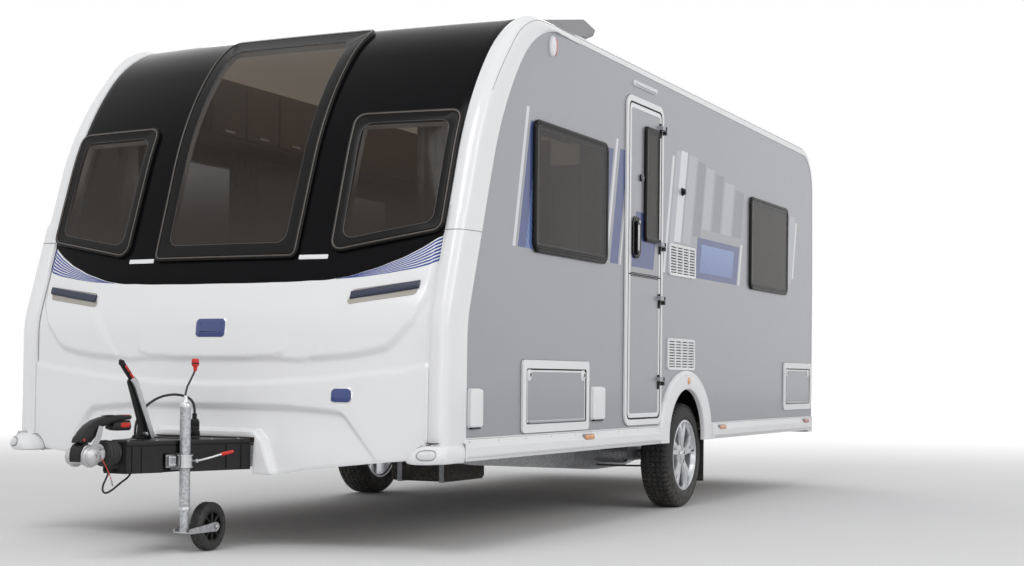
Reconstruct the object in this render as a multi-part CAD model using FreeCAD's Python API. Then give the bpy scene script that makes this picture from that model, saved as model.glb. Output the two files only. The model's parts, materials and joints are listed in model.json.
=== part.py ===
import FreeCAD
import Part
import math
import os

# Single-axle touring caravan, built as separate pieces. Sizes in millimetres.
# +Z is up, the drawbar points along -Y, the door side is +X.
# The origin is on the ground, under the middle of the whole vehicle.

V = FreeCAD.Vector
X_AXIS = V(1, 0, 0)
Y_AXIS = V(0, 1, 0)
Z_AXIS = V(0, 0, 1)
BOTH_SIDES = (1, -1)

# ---------------------------------------------------------------- driving dimensions
LENGTH = 7380.0            # coupling nose to rear panel
FRONT_Y = -LENGTH / 2
REAR_Y = LENGTH / 2
REAR_PROUD = 12.0          # rear lamps and rear window stand out from the rear panel
HALF_WIDTH = 1200.0        # outer face of the side walls
WALL = 32.0                # bonded wall and roof panels
FLOOR_BOTTOM = 480.0
FLOOR_TOP = 522.0
SHELL_BOTTOM = 430.0
ROOF_TOP = 2616.0
ROOF_DROP = 26.0           # the roof falls by this much towards the rear
CORNER_INSET = 70.0        # front corner mouldings start this far inside the side wall
EDGE_INSET = 42.0          # width of the roof edge mouldings
SPLIT_Y = -1100.0          # the curved front skin meets the flat roof here

AXLE_Y = 700.0
TYRE_R = 325.0
TYRE_WIDTH = 195.0
TYRE_MID_X = 1090.0
RIM_R = 217.0
BEAD_R = 210.0

# The opening in the side wall for the wheel, and the half ellipses that bound its trim.
ARCH_MID_Y = 670.0
ARCH_HALF = 380.0
ARCH_TOP = 738.0
TRIM_OUTER = (640.0, 485.0, 450.0, 854.0)      # middle, half width, spring line, top
TRIM_INNER = (622.0, 332.0, 437.0, 737.0)

DOOR_FRAME = (-426.0, 180.0, 533.0, 2414.0)    # y low, y high, z low, z high
DOOR_LEAF = (-384.0, 138.0, 575.0, 2372.0)
DOOR_SPLIT_Z = 1397.0
DOOR_GAP = 6.0
DOOR_WINDOW = (-150.0, 80.0, 1597.0, 2267.0)
HINGE_X = 1229.0
HINGE_Y = 162.0

DRAWBAR_FRONT_Y = -3335.0
DRAWBAR_FRONT_X = 45.0
DRAWBAR_REAR_Y = -1180.0
MEMBER_X = 690.0
DRAWBAR_Z = (372.0, 472.0)
COVER_TOP = 506.0
LEAD_AT = (-130.0, -3120.0)                # x, y where the upper lead leaves the cover


COVER_FRONT_Y = -3425.0
SHAFT_Z = 456.0
BALL_Y = -3642.0
BALL_Z = 447.0
BALL_R = 25.5
JOCKEY_X = 172.0
JOCKEY_Y = -3150.0
JOCKEY_WHEEL_R = 110.0
JOCKEY_TRAIL = 181.0

OUT = "parts"


# ---------------------------------------------------------------- small helpers
def box(x0, x1, y0, y1, z0, z1):
    """A block between two corners."""
    return Part.makeBox(x1 - x0, y1 - y0, z1 - z0, V(x0, y0, z0))


def rod(start, end, radius):
    """A round bar from one point to another."""
    a = V(*start)
    b = V(*end)
    return Part.makeCylinder(radius, (b - a).Length, a, b - a)


def tube(start, end, outer, inner):
    """A round tube from one point to another."""
    return rod(start, end, outer).cut(rod(start, end, inner))


def chain(corners):
    """Edges through corners (u, v, fillet radius); the first and last stay sharp."""
    points = [V(0, u, v) for u, v, r in corners]
    edges = []
    at = points[0]
    for i in range(1, len(points) - 1):
        radius = corners[i][2]
        back = (points[i - 1] - points[i]).normalize()
        on = (points[i + 1] - points[i]).normalize()
        if radius <= 0:
            edges.append(Part.makeLine(at, points[i]))
            at = points[i]
            continue
        half = back.getAngle(on) / 2
        reach = radius / math.tan(half)
        bisector = (back + on).normalize()
        middle = points[i] + bisector * (radius / math.sin(half) - radius)
        start = points[i] + back * reach
        end = points[i] + on * reach
        edges.append(Part.makeLine(at, start))
        edges.append(Part.Arc(start, middle, end).toShape())
        at = end
    edges.append(Part.makeLine(at, points[-1]))
    return edges


def fillet_reach(before, corner, after):
    """How far a corner's fillet runs back along its two edges."""
    if corner[2] <= 0:
        return 0.0
    at = V(0, corner[0], corner[1])
    back = V(0, before[0], before[1]) - at
    on = V(0, after[0], after[1]) - at
    return corner[2] / math.tan(back.getAngle(on) / 2)


def outline(corners):
    """A closed wire in the YZ plane through corners (y, z, fillet radius)."""
    first, last = corners[0], corners[-1]
    a = V(0, last[0], last[1])
    b = V(0, first[0], first[1])
    along = (b - a).normalize()
    a = a + along * fillet_reach(corners[-2], last, first)
    b = b - along * fillet_reach(last, first, corners[1])
    seam = (a + b) / 2
    ends = [(seam.y, seam.z, 0)]
    return Part.Wire(chain(ends + list(corners) + ends))


def prism(corners, x0, x1):
    """A YZ outline pushed out between two X planes."""
    wire = outline(corners)
    wire.translate(V(x0, 0, 0))
    return Part.Face(wire).extrude(V(x1 - x0, 0, 0))


def panel(y0, y1, z0, z1, radius, x0, x1):
    """A plate with rounded corners, flat in YZ."""
    corners = [(y0, z0, radius), (y1, z0, radius), (y1, z1, radius), (y0, z1, radius)]
    return prism(corners, x0, x1)


def ring(limits, border, radius, x0, x1):
    """A rounded frame whose inside edge is `border` in from its outside edge."""
    y0, y1, z0, z1 = limits
    outer = panel(y0, y1, z0, z1, radius, x0, x1)
    inner_r = max(radius - border, 12.0)
    hole = panel(y0 + border, y1 - border, z0 + border, z1 - border, inner_r, x0 - 1, x1 + 1)
    return outer.cut(hole)


def mirrored(shape):
    """The same piece on the other side of the caravan."""
    return shape.mirror(V(0, 0, 0), X_AXIS)


def both(shape):
    """A piece and its mirror image as two separate solids."""
    return Part.makeCompound([shape, mirrored(shape)])


def joined(shapes):
    """Touching or overlapping solids as one."""
    whole = shapes[0]
    for shape in shapes[1:]:
        whole = whole.fuse(shape)
    return whole.removeSplitter()


def save(name, shape):
    """Write one node."""
    solids = shape.Solids
    for solid in solids:
        if not solid.isValid():
            print("NOT VALID", name)
    shape.exportStep(OUT + "/" + name + ".step")
    print(name, len(solids), "solids", round(sum(s.Volume for s in solids) / 1e6, 2), "litres")


# ---------------------------------------------------------------- body profiles
# The side wall's edge: bottom front, up the front, over the roof, down the rear.
def side_profile():
    return [
        (-2434, SHELL_BOTTOM, 0), (-2428, 1060, 560), (-2069, 2110, 1600), (-1668, 2572, 640),
        (3602, 2526, 270), (3632, 1700, 0), (3655, SHELL_BOTTOM, 0),
    ]


def front_section(bulge, drop, bottom, inset, back=SPLIT_Y):
    """The closed profile of the front at one X: how far it bulges ahead of the side wall."""
    top = ROOF_TOP - drop - inset
    b = bulge - inset
    lean = 28.0 * max(0.0, (bulge - 210.0) / 80.0)
    crown = top - 2572.0
    soft = 760.0 - 2.7 * (drop + inset)
    return outline([
        (back, bottom, 0), (-2436 - b - lean, bottom, 0), (-2428 - b, 1060, 560),
        (-2069 - b, 2110, 1600), (-1668 - b + 0.869 * crown, top, soft), (back, top, 0),
    ])


# Front skin stations: X, bulge ahead of the side wall's edge, drop below the roof, roof end.
SKIN_STATIONS = [
    (0, 290, 0, SPLIT_Y), (260, 288, 0, SPLIT_Y), (500, 279, 0, SPLIT_Y), (740, 264, 0, SPLIT_Y),
    (960, 240, 0, SPLIT_Y), (1130, 212, 1, SPLIT_Y),
]
# The corner mouldings stand proud of the front skin and the side walls; the last value
# is where each station ends on the roof.
CORNER_STATIONS = [
    (1130, 212, 1, SPLIT_Y), (1158, 227, 3, SPLIT_Y), (1188, 224, 14, SPLIT_Y),
    (1203, 214, 34, SPLIT_Y), (1217, 196, 52, SPLIT_Y - 200), (1225, 165, 76, SPLIT_Y - 400),
]


def front_block(stations, inset, bottom):
    """A solid through the front profiles at each station."""
    wires = []
    for x, bulge, drop, back in stations:
        wire = front_section(bulge, drop, bottom, inset, back)
        wire.translate(V(x, 0, 0))
        wires.append(wire)
    return Part.makeLoft(wires, True, True)


def roof_profile(inset):
    """The closed profile of the flat roof and the rear panel."""
    rear = REAR_Y - REAR_PROUD
    return [
        (SPLIT_Y, SHELL_BOTTOM - 10, 0), (SPLIT_Y, ROOF_TOP - inset, 0),
        (3645 - inset, ROOF_TOP - ROOF_DROP - inset, 330 - inset),
        (rear - inset, 1500, 0), (rear - inset, SHELL_BOTTOM - 10, 0),
    ]


# ---------------------------------------------------------------- the body shell
SKIN_FOOT = 330.0          # the front skin is cut back to its own lower edge from here


def front_skin():
    """The curved front: the lower white moulding and the upper window panel."""
    right = front_block(SKIN_STATIONS, 0, SKIN_FOOT)
    left = mirrored(right)
    inner = front_block(SKIN_STATIONS, WALL, SKIN_FOOT - 16)
    whole = right.fuse(left)
    hollow = inner.fuse(mirrored(inner))
    skin = whole.cut(hollow)
    skin = skin.cut(box(-1300, 1300, SPLIT_Y - 0.01, SPLIT_Y + 50, 300, ROOF_TOP - WALL - 1))
    return skin.removeSplitter()


# The line where the white moulding ends and the black panel starts: |x|, z.
BAND_LINE = [(0, 1236), (300, 1237), (500, 1242), (645, 1252), (775, 1282), (900, 1324),
             (1004, 1371), (1075, 1414), (1140, 1463)]


def band_cutter(low):
    """Everything below (or above) the line where the white moulding ends."""
    line = [V(-x, 0, z) for x, z in BAND_LINE[:0:-1]] + [V(x, 0, z) for x, z in BAND_LINE]
    curve = Part.BSplineCurve()
    curve.interpolate(line)
    level = 300 if low else 2800
    down = Part.makePolygon([line[-1], V(1140, 0, level), V(-1140, 0, level), line[0]])
    wire = Part.Wire([curve.toShape()] + down.Edges)
    wire.translate(V(0, -3200, 0))
    return Part.Face(wire).extrude(V(0, 2400, 0))


# Front windows: half width at the foot and head, height at the foot's inner and outer end.
CENTRE_WINDOW = {"foot": 412.0, "head": 432.0, "z0": 1345.0, "z1": 2545.0}
SIDE_WINDOW = {"in_foot": 578.0, "out_foot": 1128.0, "in_head": 568.0, "out_head": 1124.0,
               "z_in": 1360.0, "z_out": 1458.0, "z_head": 2052.0}


def xz_cutter(points, radius):
    """A prism along Y through (x, z) corners with rounded corners."""
    face = Part.Face(outline([(x, z, radius) for x, z in points]))
    turn = FreeCAD.Matrix(0, 1, 0, 0, 1, 0, 0, -3200, 0, 0, 1, 0, 0, 0, 0, 1)
    return face.transformGeometry(turn).extrude(V(0, 2400, 0))


def centre_window_area(shrink):
    c = CENTRE_WINDOW
    return xz_cutter([
        (-c["foot"] + shrink, c["z0"] + shrink), (c["foot"] - shrink, c["z0"] + shrink),
        (c["head"] - shrink, c["z1"] - shrink / 2), (-c["head"] + shrink, c["z1"] - shrink / 2),
    ], 40)


def side_window_area(shrink):
    s = SIDE_WINDOW
    return xz_cutter([
        (s["in_foot"] + shrink, s["z_in"] + shrink), (s["out_foot"] - shrink, s["z_out"] + shrink),
        (s["out_head"] - shrink, s["z_head"] - shrink), (s["in_head"] + shrink, s["z_head"] - shrink),
    ], 60)


# The white moulding's lower edge: |x|, z.
FOOT_LINE = [(0, 340), (390, 340), (520, 366), (860, 404), (1100, 428), (1300, 428)]


def below_foot():
    """Everything under the white moulding's lower edge."""
    corners = [(x, z) for x, z in FOOT_LINE] + [(1300, 250), (0, 250)]
    wire = Part.makePolygon([V(x, -2900, z) for x, z in corners + corners[:1]])
    side = Part.Face(wire).extrude(V(0, 700, 0))
    return side.fuse(mirrored(side))


def front_panels():
    skin = front_skin()
    lower = skin.common(band_cutter(True)).cut(below_foot())
    upper = skin.common(band_cutter(False))
    upper = upper.cut(centre_window_area(45))
    for side in BOTH_SIDES:
        hole = side_window_area(45)
        upper = upper.cut(hole if side > 0 else mirrored(hole))
    # The lower moulding steps up over the drawbar.
    lower = lower.cut(box(-284, 284, -2900, -2300, 300, 520))
    save("front_panel_lower", lower)
    save("front_panel_upper", upper)


def front_window_panes():
    """Curved acrylic windows, standing proud of the front panel."""
    proud = 20.0
    outer = front_block(SKIN_STATIONS, -proud, 396)
    outer = outer.fuse(mirrored(outer))
    inner = front_block(SKIN_STATIONS, 0, 380)
    inner = inner.fuse(mirrored(inner))
    shell = outer.cut(inner)
    centre = shell.common(centre_window_area(0))
    side = shell.common(side_window_area(0))
    save("front_windows", Part.makeCompound([centre, both(side)]))


def corner_moulding():
    """The wide rounded moulding at one front corner, from the foot up over the roof."""
    block = front_block(CORNER_STATIONS, 0, 396)
    inner = prism([(SPLIT_Y + 1, 380, 0), (-2436 - 175, 380, 0), (-2428 - 175, 1060, 560),
                   (-2069 - 175, 2110, 1600), (-1668 - 152, 2572, 660), (SPLIT_Y + 1, 2572, 0)],
                  HALF_WIDTH - CORNER_INSET - 1, HALF_WIDTH - WALL)
    wall_space = prism(side_profile(), HALF_WIDTH - WALL, HALF_WIDTH + 30)
    piece = block.cut(inner).cut(wall_space)
    rail = box(1199.9, 1300, -2472, SPLIT_Y + 1, 300, 524)
    return piece.cut(rail)


def roof_and_rear():
    whole = prism(roof_profile(0), -HALF_WIDTH - 3, HALF_WIDTH + 3)
    edges = []
    for edge in whole.Edges:
        middle = edge.CenterOfMass
        if abs(abs(middle.x) - HALF_WIDTH - 3) < 0.1 and middle.y > SPLIT_Y + 5 and middle.z > 425:
            edges.append(edge)
    rounded = whole.makeFillet(34, edges)
    inner = prism(roof_profile(WALL), -HALF_WIDTH - 50, HALF_WIDTH + 50)
    skin = rounded.cut(inner)
    edge_x = HALF_WIDTH - EDGE_INSET
    middle = skin.common(box(-edge_x, edge_x, SPLIT_Y, 4000, 300, 3000))
    top = middle.common(box(-2000, 2000, SPLIT_Y, 3325, 2000, 3000))
    rear = middle.cut(box(-2000, 2000, SPLIT_Y, 3325, 2000, 3000))
    wall_space = prism(side_profile(), HALF_WIDTH - WALL, HALF_WIDTH + 30)
    full = rounded.common(box(edge_x, 2000, SPLIT_Y, 4000, 300, 3000))
    core = prism(roof_profile(WALL), edge_x - 5, HALF_WIDTH - WALL)
    edging = full.cut(core).cut(wall_space).cut(box(1000, 1300, -2000, 3655, 300, 431))
    for y0, y1, x_half, cut_low in ROOF_HOLES:
        top = top.cut(box(-x_half, x_half, y0, y1, cut_low, 3000))
    hole = panel(0, 1, 0, 1, 0.2, 0, 1)
    hole = box(-REAR_WINDOW[0] + 40, REAR_WINDOW[0] - 40, 3400, 3800,
               REAR_WINDOW[1] + 40, REAR_WINDOW[2] - 40)
    rear = rear.cut(hole)
    save("roof_panel", top)
    save("rear_panel", rear)
    return edging


# Roof openings: y low, y high, half width, lowest z cut.
ROOF_HOLES = [(-700, -240, 330, 2500), (900, 1260, 180, 2500), (2500, 2860, 180, 2500)]
REAR_WINDOW = (620.0, 1440.0, 2060.0)      # half width, z low, z high

# Side windows: side, y low, y high, z low, z high.
SIDE_WINDOWS = [
    (1, -1692, -707, 1425, 2090), (1, 1956, 2902, 1428, 2073),
    (-1, -1692, -707, 1425, 2090), (-1, 300, 1150, 1560, 2073), (-1, 2320, 2780, 1700, 2073),
]
# Hatches on the door side: name, y low, y high, z low, z high.
HATCHES = [("front", -1807, -953, 527, 889), ("rear", 2842, 3600, 577, 929)]
# Fridge vents: y low, y high, z low, z high.
VENTS = [(313, 799, 1429, 1623), (298, 797, 855, 1047)]
VENT_ROWS = 4
MARKER_AT = (-1470.0, 2486.0)              # y, z of the high marker lamps
REAR_LAMPS = [(560, 760), (800, 960)]      # z low, z high
# Small service covers: side, y low, y high, z low, z high.
COVERS = [(1, -2396, -2262, 566, 748), (1, -908, -736, 574, 755),
          (-1, -900, -700, 620, 820), (-1, 1500, 1700, 700, 900)]


def side_walls():
    for side, name in ((1, "nearside"), (-1, "offside")):
        wall = prism(side_profile(), HALF_WIDTH - WALL, HALF_WIDTH)
        reach = (HALF_WIDTH - WALL - 1, HALF_WIDTH + 1)
        low, high = ARCH_MID_Y - ARCH_HALF, ARCH_MID_Y + ARCH_HALF
        arch = prism([(low, 300, 0), (high, 300, 0), (high, ARCH_TOP, 230), (low, ARCH_TOP, 230)],
                     *reach)
        wall = wall.cut(arch)
        for window_side, y0, y1, z0, z1 in SIDE_WINDOWS:
            if window_side == side:
                wall = wall.cut(panel(y0 + 45, y1 - 45, z0 + 45, z1 - 45, 40, *reach))
        if side > 0:
            y0, y1, z0, z1 = DOOR_LEAF
            wall = wall.cut(panel(y0 - 8, y1 + 8, z0 - 8, z1 + 8, 40, *reach))
            for hatch, y0, y1, z0, z1 in HATCHES:
                wall = wall.cut(panel(y0 + 34, y1 - 34, z0 + 34, z1 - 34, 20, *reach))
        save("side_wall_" + name, wall if side > 0 else mirrored(wall))


def floor_and_wheel_boxes():
    floor = box(-HALF_WIDTH + WALL, HALF_WIDTH - WALL, -2425, 3645, FLOOR_BOTTOM, FLOOR_TOP)
    floor = floor.cut(both(box(1157, 1200, 3600, 3700, 400, 600)))
    nose = box(-1110, 1110, -2590, -2425, FLOOR_BOTTOM, FLOOR_TOP)
    floor = floor.fuse(nose).removeSplitter()
    y0 = ARCH_MID_Y - ARCH_HALF - 12
    y1 = ARCH_MID_Y + ARCH_HALF + 12
    boxes = []
    for side in BOTH_SIDES:
        slot = box(930, 1200, y0, y1, 400, 600)
        floor = floor.cut(slot if side > 0 else mirrored(slot))
    shell = box(924, HALF_WIDTH - WALL, y0 - 6, y1 + 6, FLOOR_TOP, 746)
    shell = shell.cut(box(930, 1300, y0, y1, 400, 740))
    boxes = both(shell)
    save("floor_panel", floor)
    save("wheel_boxes", boxes)


# ---------------------------------------------------------------- windows, door, hatches
def side_and_rear_windows():
    panes = []
    for side, y0, y1, z0, z1 in SIDE_WINDOWS:
        pane = panel(y0, y1, z0, z1, 55, HALF_WIDTH, HALF_WIDTH + 18)
        panes.append(pane if side > 0 else mirrored(pane))
    half, z0, z1 = REAR_WINDOW
    pane = box(-half, half, 3600, REAR_Y, z0, z1)
    panes.append(pane.cut(prism(roof_profile(0), -2000, 2000)))
    save("side_and_rear_windows", Part.makeCompound(panes))


def door():
    frame = ring(DOOR_FRAME, 36, 70, HALF_WIDTH, HALF_WIDTH + 12)
    y0, y1, z0, z1 = DOOR_LEAF
    inside = (HALF_WIDTH - WALL + 2, HALF_WIDTH + 10)
    leaf = panel(y0, y1, z0, z1, 38, *inside)
    cut_low = box(1000, 1400, -900, 900, 0, DOOR_SPLIT_Z + DOOR_GAP / 2)
    cut_high = box(1000, 1400, -900, 900, DOOR_SPLIT_Z - DOOR_GAP / 2, 3000)
    lower = leaf.cut(cut_high)
    upper = leaf.cut(cut_low)
    w0, w1, v0, v1 = DOOR_WINDOW
    upper = upper.cut(panel(w0 + 22, w1 - 22, v0 + 22, v1 - 22, 30, 1000, 1400))
    glass = panel(w0, w1, v0, v1, 34, inside[1], inside[1] + 8)
    # Hinges: a barrel beside the frame, with a strap to the leaf and one to the frame.
    frame_parts = [frame]
    lower_parts = [lower]
    upper_parts = [upper]
    for z, leaf_parts in ((760, lower_parts), (1240, lower_parts), (1560, upper_parts),
                          (2250, upper_parts)):
        base = (HINGE_X, HINGE_Y)
        frame_parts.append(box(HALF_WIDTH + 12, HINGE_X, 154, 170, z, z + 24))
        frame_parts.append(rod((*base, z), (*base, z + 24), 8))
        leaf_parts.append(box(inside[1], HINGE_X - 1, 96, 126, z + 26, z + 50))
        leaf_parts.append(box(HINGE_X - 12, HINGE_X + 4, 96, HINGE_Y - 2, z + 26, z + 50))
        leaf_parts.append(rod((*base, z + 26), (*base, z + 50), 8))
    # Handle and hold-back catch on the upper leaf.
    handle = panel(-336, -210, 1490, 1729, 50, inside[1], inside[1] + 10)
    grip = panel(-310, -270, 1510, 1700, 18, inside[1] + 10, inside[1] + 24)
    catch = rod((inside[1], -198, 1958), (inside[1] + 14, -198, 1958), 20)
    upper_parts.extend([handle, grip, catch])
    save("door_frame", joined(frame_parts))
    save("door_lower", joined(lower_parts))
    save("door_upper", joined(upper_parts))
    save("door_window", glass)


HATCH_HINGE_X = 1213.0


def hatches():
    frames = []
    for name, y0, y1, z0, z1 in HATCHES:
        frames.append(ring((y0, y1, z0, z1), 44, 24, HALF_WIDTH, HALF_WIDTH + 12))
        lid = panel(y0 + 50, y1 - 50, z0 + 50, z1 - 50, 12, HALF_WIDTH - 22, HALF_WIDTH + 8)
        locks = [rod((HALF_WIDTH + 8, y, z1 - 74), (HALF_WIDTH + 16, y, z1 - 74), 16)
                 for y in (y0 + 80, y1 - 80)]
        barrel = rod((HATCH_HINGE_X, y0 + 70, z0 + 52), (HATCH_HINGE_X, y1 - 70, z0 + 52), 5.5)
        save("hatch_" + name + "_lid", joined([lid, barrel] + locks))
    save("hatch_frames", Part.makeCompound(frames))


def wall_fittings():
    """Fridge vents, small service covers and the door's hold-back catch."""
    fittings = [rod((HALF_WIDTH, 553, 1956), (HALF_WIDTH + 14, 553, 1956), 24)]
    for y0, y1, z0, z1 in VENTS:
        vent = panel(y0, y1, z0, z1, 14, HALF_WIDTH, HALF_WIDTH + 12)
        for row in range(VENT_ROWS):
            z = z0 + 24 + row * (z1 - z0 - 40) / VENT_ROWS
            slot = box(HALF_WIDTH + 5, HALF_WIDTH + 20, y0 + 24, y1 - 24, z, z + 18)
            vent = vent.cut(slot)
        fittings.append(vent)
    for side, y0, y1, z0, z1 in COVERS:
        cover = panel(y0, y1, z0, z1, 16, HALF_WIDTH, HALF_WIDTH + 22)
        fittings.append(cover if side > 0 else mirrored(cover))
    save("wall_fittings", Part.makeCompound(fittings))


def exterior_lamps():
    """Awning lamp, high front markers and the rear lamp clusters."""
    awning = panel(-310, 60, 2478, 2506, 13, HALF_WIDTH, HALF_WIDTH + 20)
    marker = panel(-40, 40, -52, 52, 38, HALF_WIDTH, HALF_WIDTH + 26)
    marker.translate(V(0, MARKER_AT[0], MARKER_AT[1]))
    lamps = [awning, both(marker)]
    for z0, z1 in REAR_LAMPS:
        lamp = box(1000, 1110, 3600, REAR_Y, z0, z1).cut(prism(roof_profile(0), -2000, 2000))
        lamps.append(both(lamp))
    save("exterior_lamps", Part.makeCompound(lamps))


# ---------------------------------------------------------------- trims along the bottom
RAIL_OUT = 1231.0


def arch(limits, foot, x0, x1):
    """A prism with upright sides from the foot to the spring line and half an ellipse above."""
    middle, half, spring, top = limits
    crown = Part.ArcOfEllipse(Part.Ellipse(V(0, 0, 0), half, top - spring), 0, math.pi)
    legs = Part.makePolygon([V(-half, 0, 0), V(-half, foot - spring, 0), V(half, foot - spring, 0),
                             V(half, 0, 0)])
    face = Part.Face(Part.Wire([crown.toShape()] + legs.Edges))
    face.rotate(V(0, 0, 0), V(1, 1, 1), 120)
    face.translate(V(x0, middle, spring))
    return face.extrude(V(x1 - x0, 0, 0))


def side_trims():
    """Skirt rails, wheel arch trims, mudflaps and side lamps on both sides."""
    middle, half = TRIM_OUTER[:2]
    rails = []
    for y0, y1 in ((-2470, middle - half - 5), (middle + half + 5, 3560)):
        section = Part.makePolygon([
            V(HALF_WIDTH, y0, 520), V(HALF_WIDTH + 12, y0, 520), V(HALF_WIDTH + 16, y0, 492),
            V(RAIL_OUT, y0, 476), V(RAIL_OUT, y0, 440), V(HALF_WIDTH + 14, y0, 414),
            V(HALF_WIDTH, y0, 414), V(HALF_WIDTH, y0, 520)])
        rails.append(Part.Face(section).extrude(V(0, y1 - y0, 0)))
    save("skirt_rails", Part.makeCompound([both(rail) for rail in rails]))

    outer = arch(TRIM_OUTER, 414, HALF_WIDTH, HALF_WIDTH + 30)
    inner = arch(TRIM_INNER, 300, HALF_WIDTH - 10, HALF_WIDTH + 60)
    save("wheel_arch_trims", both(outer.cut(inner)))
    flap = box(1010, 1190, AXLE_Y + 341, AXLE_Y + 349, 145, 478)
    save("mudflaps", both(flap))


def front_pod():
    """A bumper corner that carries a front marker lamp."""
    body = prism([(-2790, 410, 30), (-2470, 410, 0), (-2470, 505, 0), (-2720, 505, 50)], 1045, 1235)
    plan = Part.Wire([
        Part.makeLine(V(1045, -2720, 380), V(1090, -2768, 380)),
        Part.Arc(V(1090, -2768, 380), V(1190, -2728, 380), V(1235, -2600, 380)).toShape(),
        Part.makeLine(V(1235, -2600, 380), V(1235, -2471, 380)),
        Part.makeLine(V(1235, -2471, 380), V(1045, -2471, 380)),
        Part.makeLine(V(1045, -2471, 380), V(1045, -2720, 380))])
    body = body.common(Part.Face(plan).extrude(V(0, 0, 200)))
    skin = front_block(SKIN_STATIONS, -0.2, 396)
    corner = front_block(CORNER_STATIONS, -0.2, 396)
    body = body.cut(skin).cut(corner)
    return max(body.Solids, key=lambda solid: solid.Volume)


def rear_bumper():
    """The low valance across the rear, under the rear panel."""
    return prism([(3560, 396, 0), (REAR_Y - 20, 396, 0), (REAR_Y - REAR_PROUD, 404, 0),
                  (REAR_Y - REAR_PROUD, 419, 0),
                  (3560, 419, 0)], -1203, 1203)


AERIAL_TURN = 63.0         # the aerial's blade points this far round from the rear, in degrees


def roof_fittings():
    lids = []
    for y0, y1, half, low in ROOF_HOLES:
        level = ROOF_TOP - ROOF_DROP * (y0 - SPLIT_Y) / (3655 - SPLIT_Y) + 1
        frame = box(-half - 45, half + 45, y0 - 45, y1 + 45, level, level + 18)
        lid = box(-half - 10, half + 10, y0 - 10, y1 + 10, level + 18, level + 62)
        lid = lid.makeFillet(16, [e for e in lid.Edges if e.CenterOfMass.z > level + 20])
        lids.append(joined([frame, lid]))
    save("roof_lights", Part.makeCompound(lids))
    foot = rod((880, -640, ROOF_TOP), (880, -640, ROOF_TOP + 24), 95)
    mast = rod((880, -640, ROOF_TOP), (880, -640, 2740), 26)
    paddle = prism([(-110, 2712, 20), (143, 2712, 10), (205, 2738, 10), (132, 2804, 14),
                    (-110, 2800, 20)], -55, 55)
    paddle.rotate(V(0, 0, 0), Z_AXIS, -AERIAL_TURN)
    paddle.translate(V(880, -640, 0))
    save("roof_aerial", joined([foot, mast, paddle]))


# ---------------------------------------------------------------- chassis
def member_plate():
    """One deep side member with its lightening holes."""
    web = prism([(-1990, 400, 0), (-1300, 332, 0), (400, 232, 0), (900, 232, 0), (1700, 330, 0),
                 (3400, 392, 0), (3400, 478, 0), (-1990, 478, 0)], MEMBER_X - 4, MEMBER_X)
    for y0 in MEMBER_HOLES:
        web = web.cut(panel(y0, y0 + 320, 352, 444, 40, MEMBER_X - 10, MEMBER_X + 10))
    web = web.cut(rod((MEMBER_X - 10, *BEAM_AT), (MEMBER_X + 10, *BEAM_AT), BEAM_R + 0.5))
    top = box(MEMBER_X - 48, MEMBER_X - 4, -1990, 3400, 474, 478)
    return joined([web, top])


# The front edge of each lightening hole.
MEMBER_HOLES = [-1130, -715, 1250, 1800]
BEAM_AT = (AXLE_Y - 165, 330.0)            # y, z of the axle beam
BEAM_R = 58.0


def chassis():
    save("chassis_members", both(member_plate()))
    cross = []
    for y in (-1150, 1600, 3000):
        bar = box(-MEMBER_X + 49, MEMBER_X - 49, y, y + 40, 432, 473)
        cross.append(bar.cut(box(-1000, 1000, y + 3, y + 37, 435, 470)))
    brackets = []
    for name, side, y, way in STEADIES:
        x = STEADY_X * side
        plates = [box(x + offset, x + offset + 4, y - 30, y + 30, 396, FLOOR_BOTTOM)
                  for offset in (-34, 30)]
        pin = rod((x - 34, y, STEADY_Z), (x + 34, y, STEADY_Z), 6.2)
        deck = box(x - 34, x + 34, y - 30, y + 30, 474, FLOOR_BOTTOM)
        brackets.append(joined(plates + [pin, deck]))
    save("underframe_fittings", Part.makeCompound(cross + brackets))
    save("drawbar_frame", drawbar())


def drawbar():
    """Two converging box members with a head plate."""
    arms = []
    low, high = DRAWBAR_Z
    for side in BOTH_SIDES:
        x0 = DRAWBAR_FRONT_X * side
        x1 = (MEMBER_X - 70) * side
        wire = Part.makePolygon([
            V(x0 - 20, DRAWBAR_FRONT_Y, low), V(x0 + 20, DRAWBAR_FRONT_Y, low),
            V(x1 + 20, DRAWBAR_REAR_Y - 60, low), V(x1 - 20, DRAWBAR_REAR_Y - 60, low),
            V(x0 - 20, DRAWBAR_FRONT_Y, low)])
        arms.append(Part.Face(wire).extrude(V(0, 0, high - low)))
    head = box(-65, 65, DRAWBAR_FRONT_Y, DRAWBAR_FRONT_Y + 90, low, high)
    tail = box(-MEMBER_X + 49, MEMBER_X - 49, -1300, -1240, low, high)
    # Each arm's tail is bolted to its side member by a gusset.
    gussets = [box(side * (MEMBER_X - 34) - 30, side * (MEMBER_X - 34) + 30, -1330, -1210,
                   low, high) for side in BOTH_SIDES]
    return joined(arms + [head, tail] + gussets)


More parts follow.
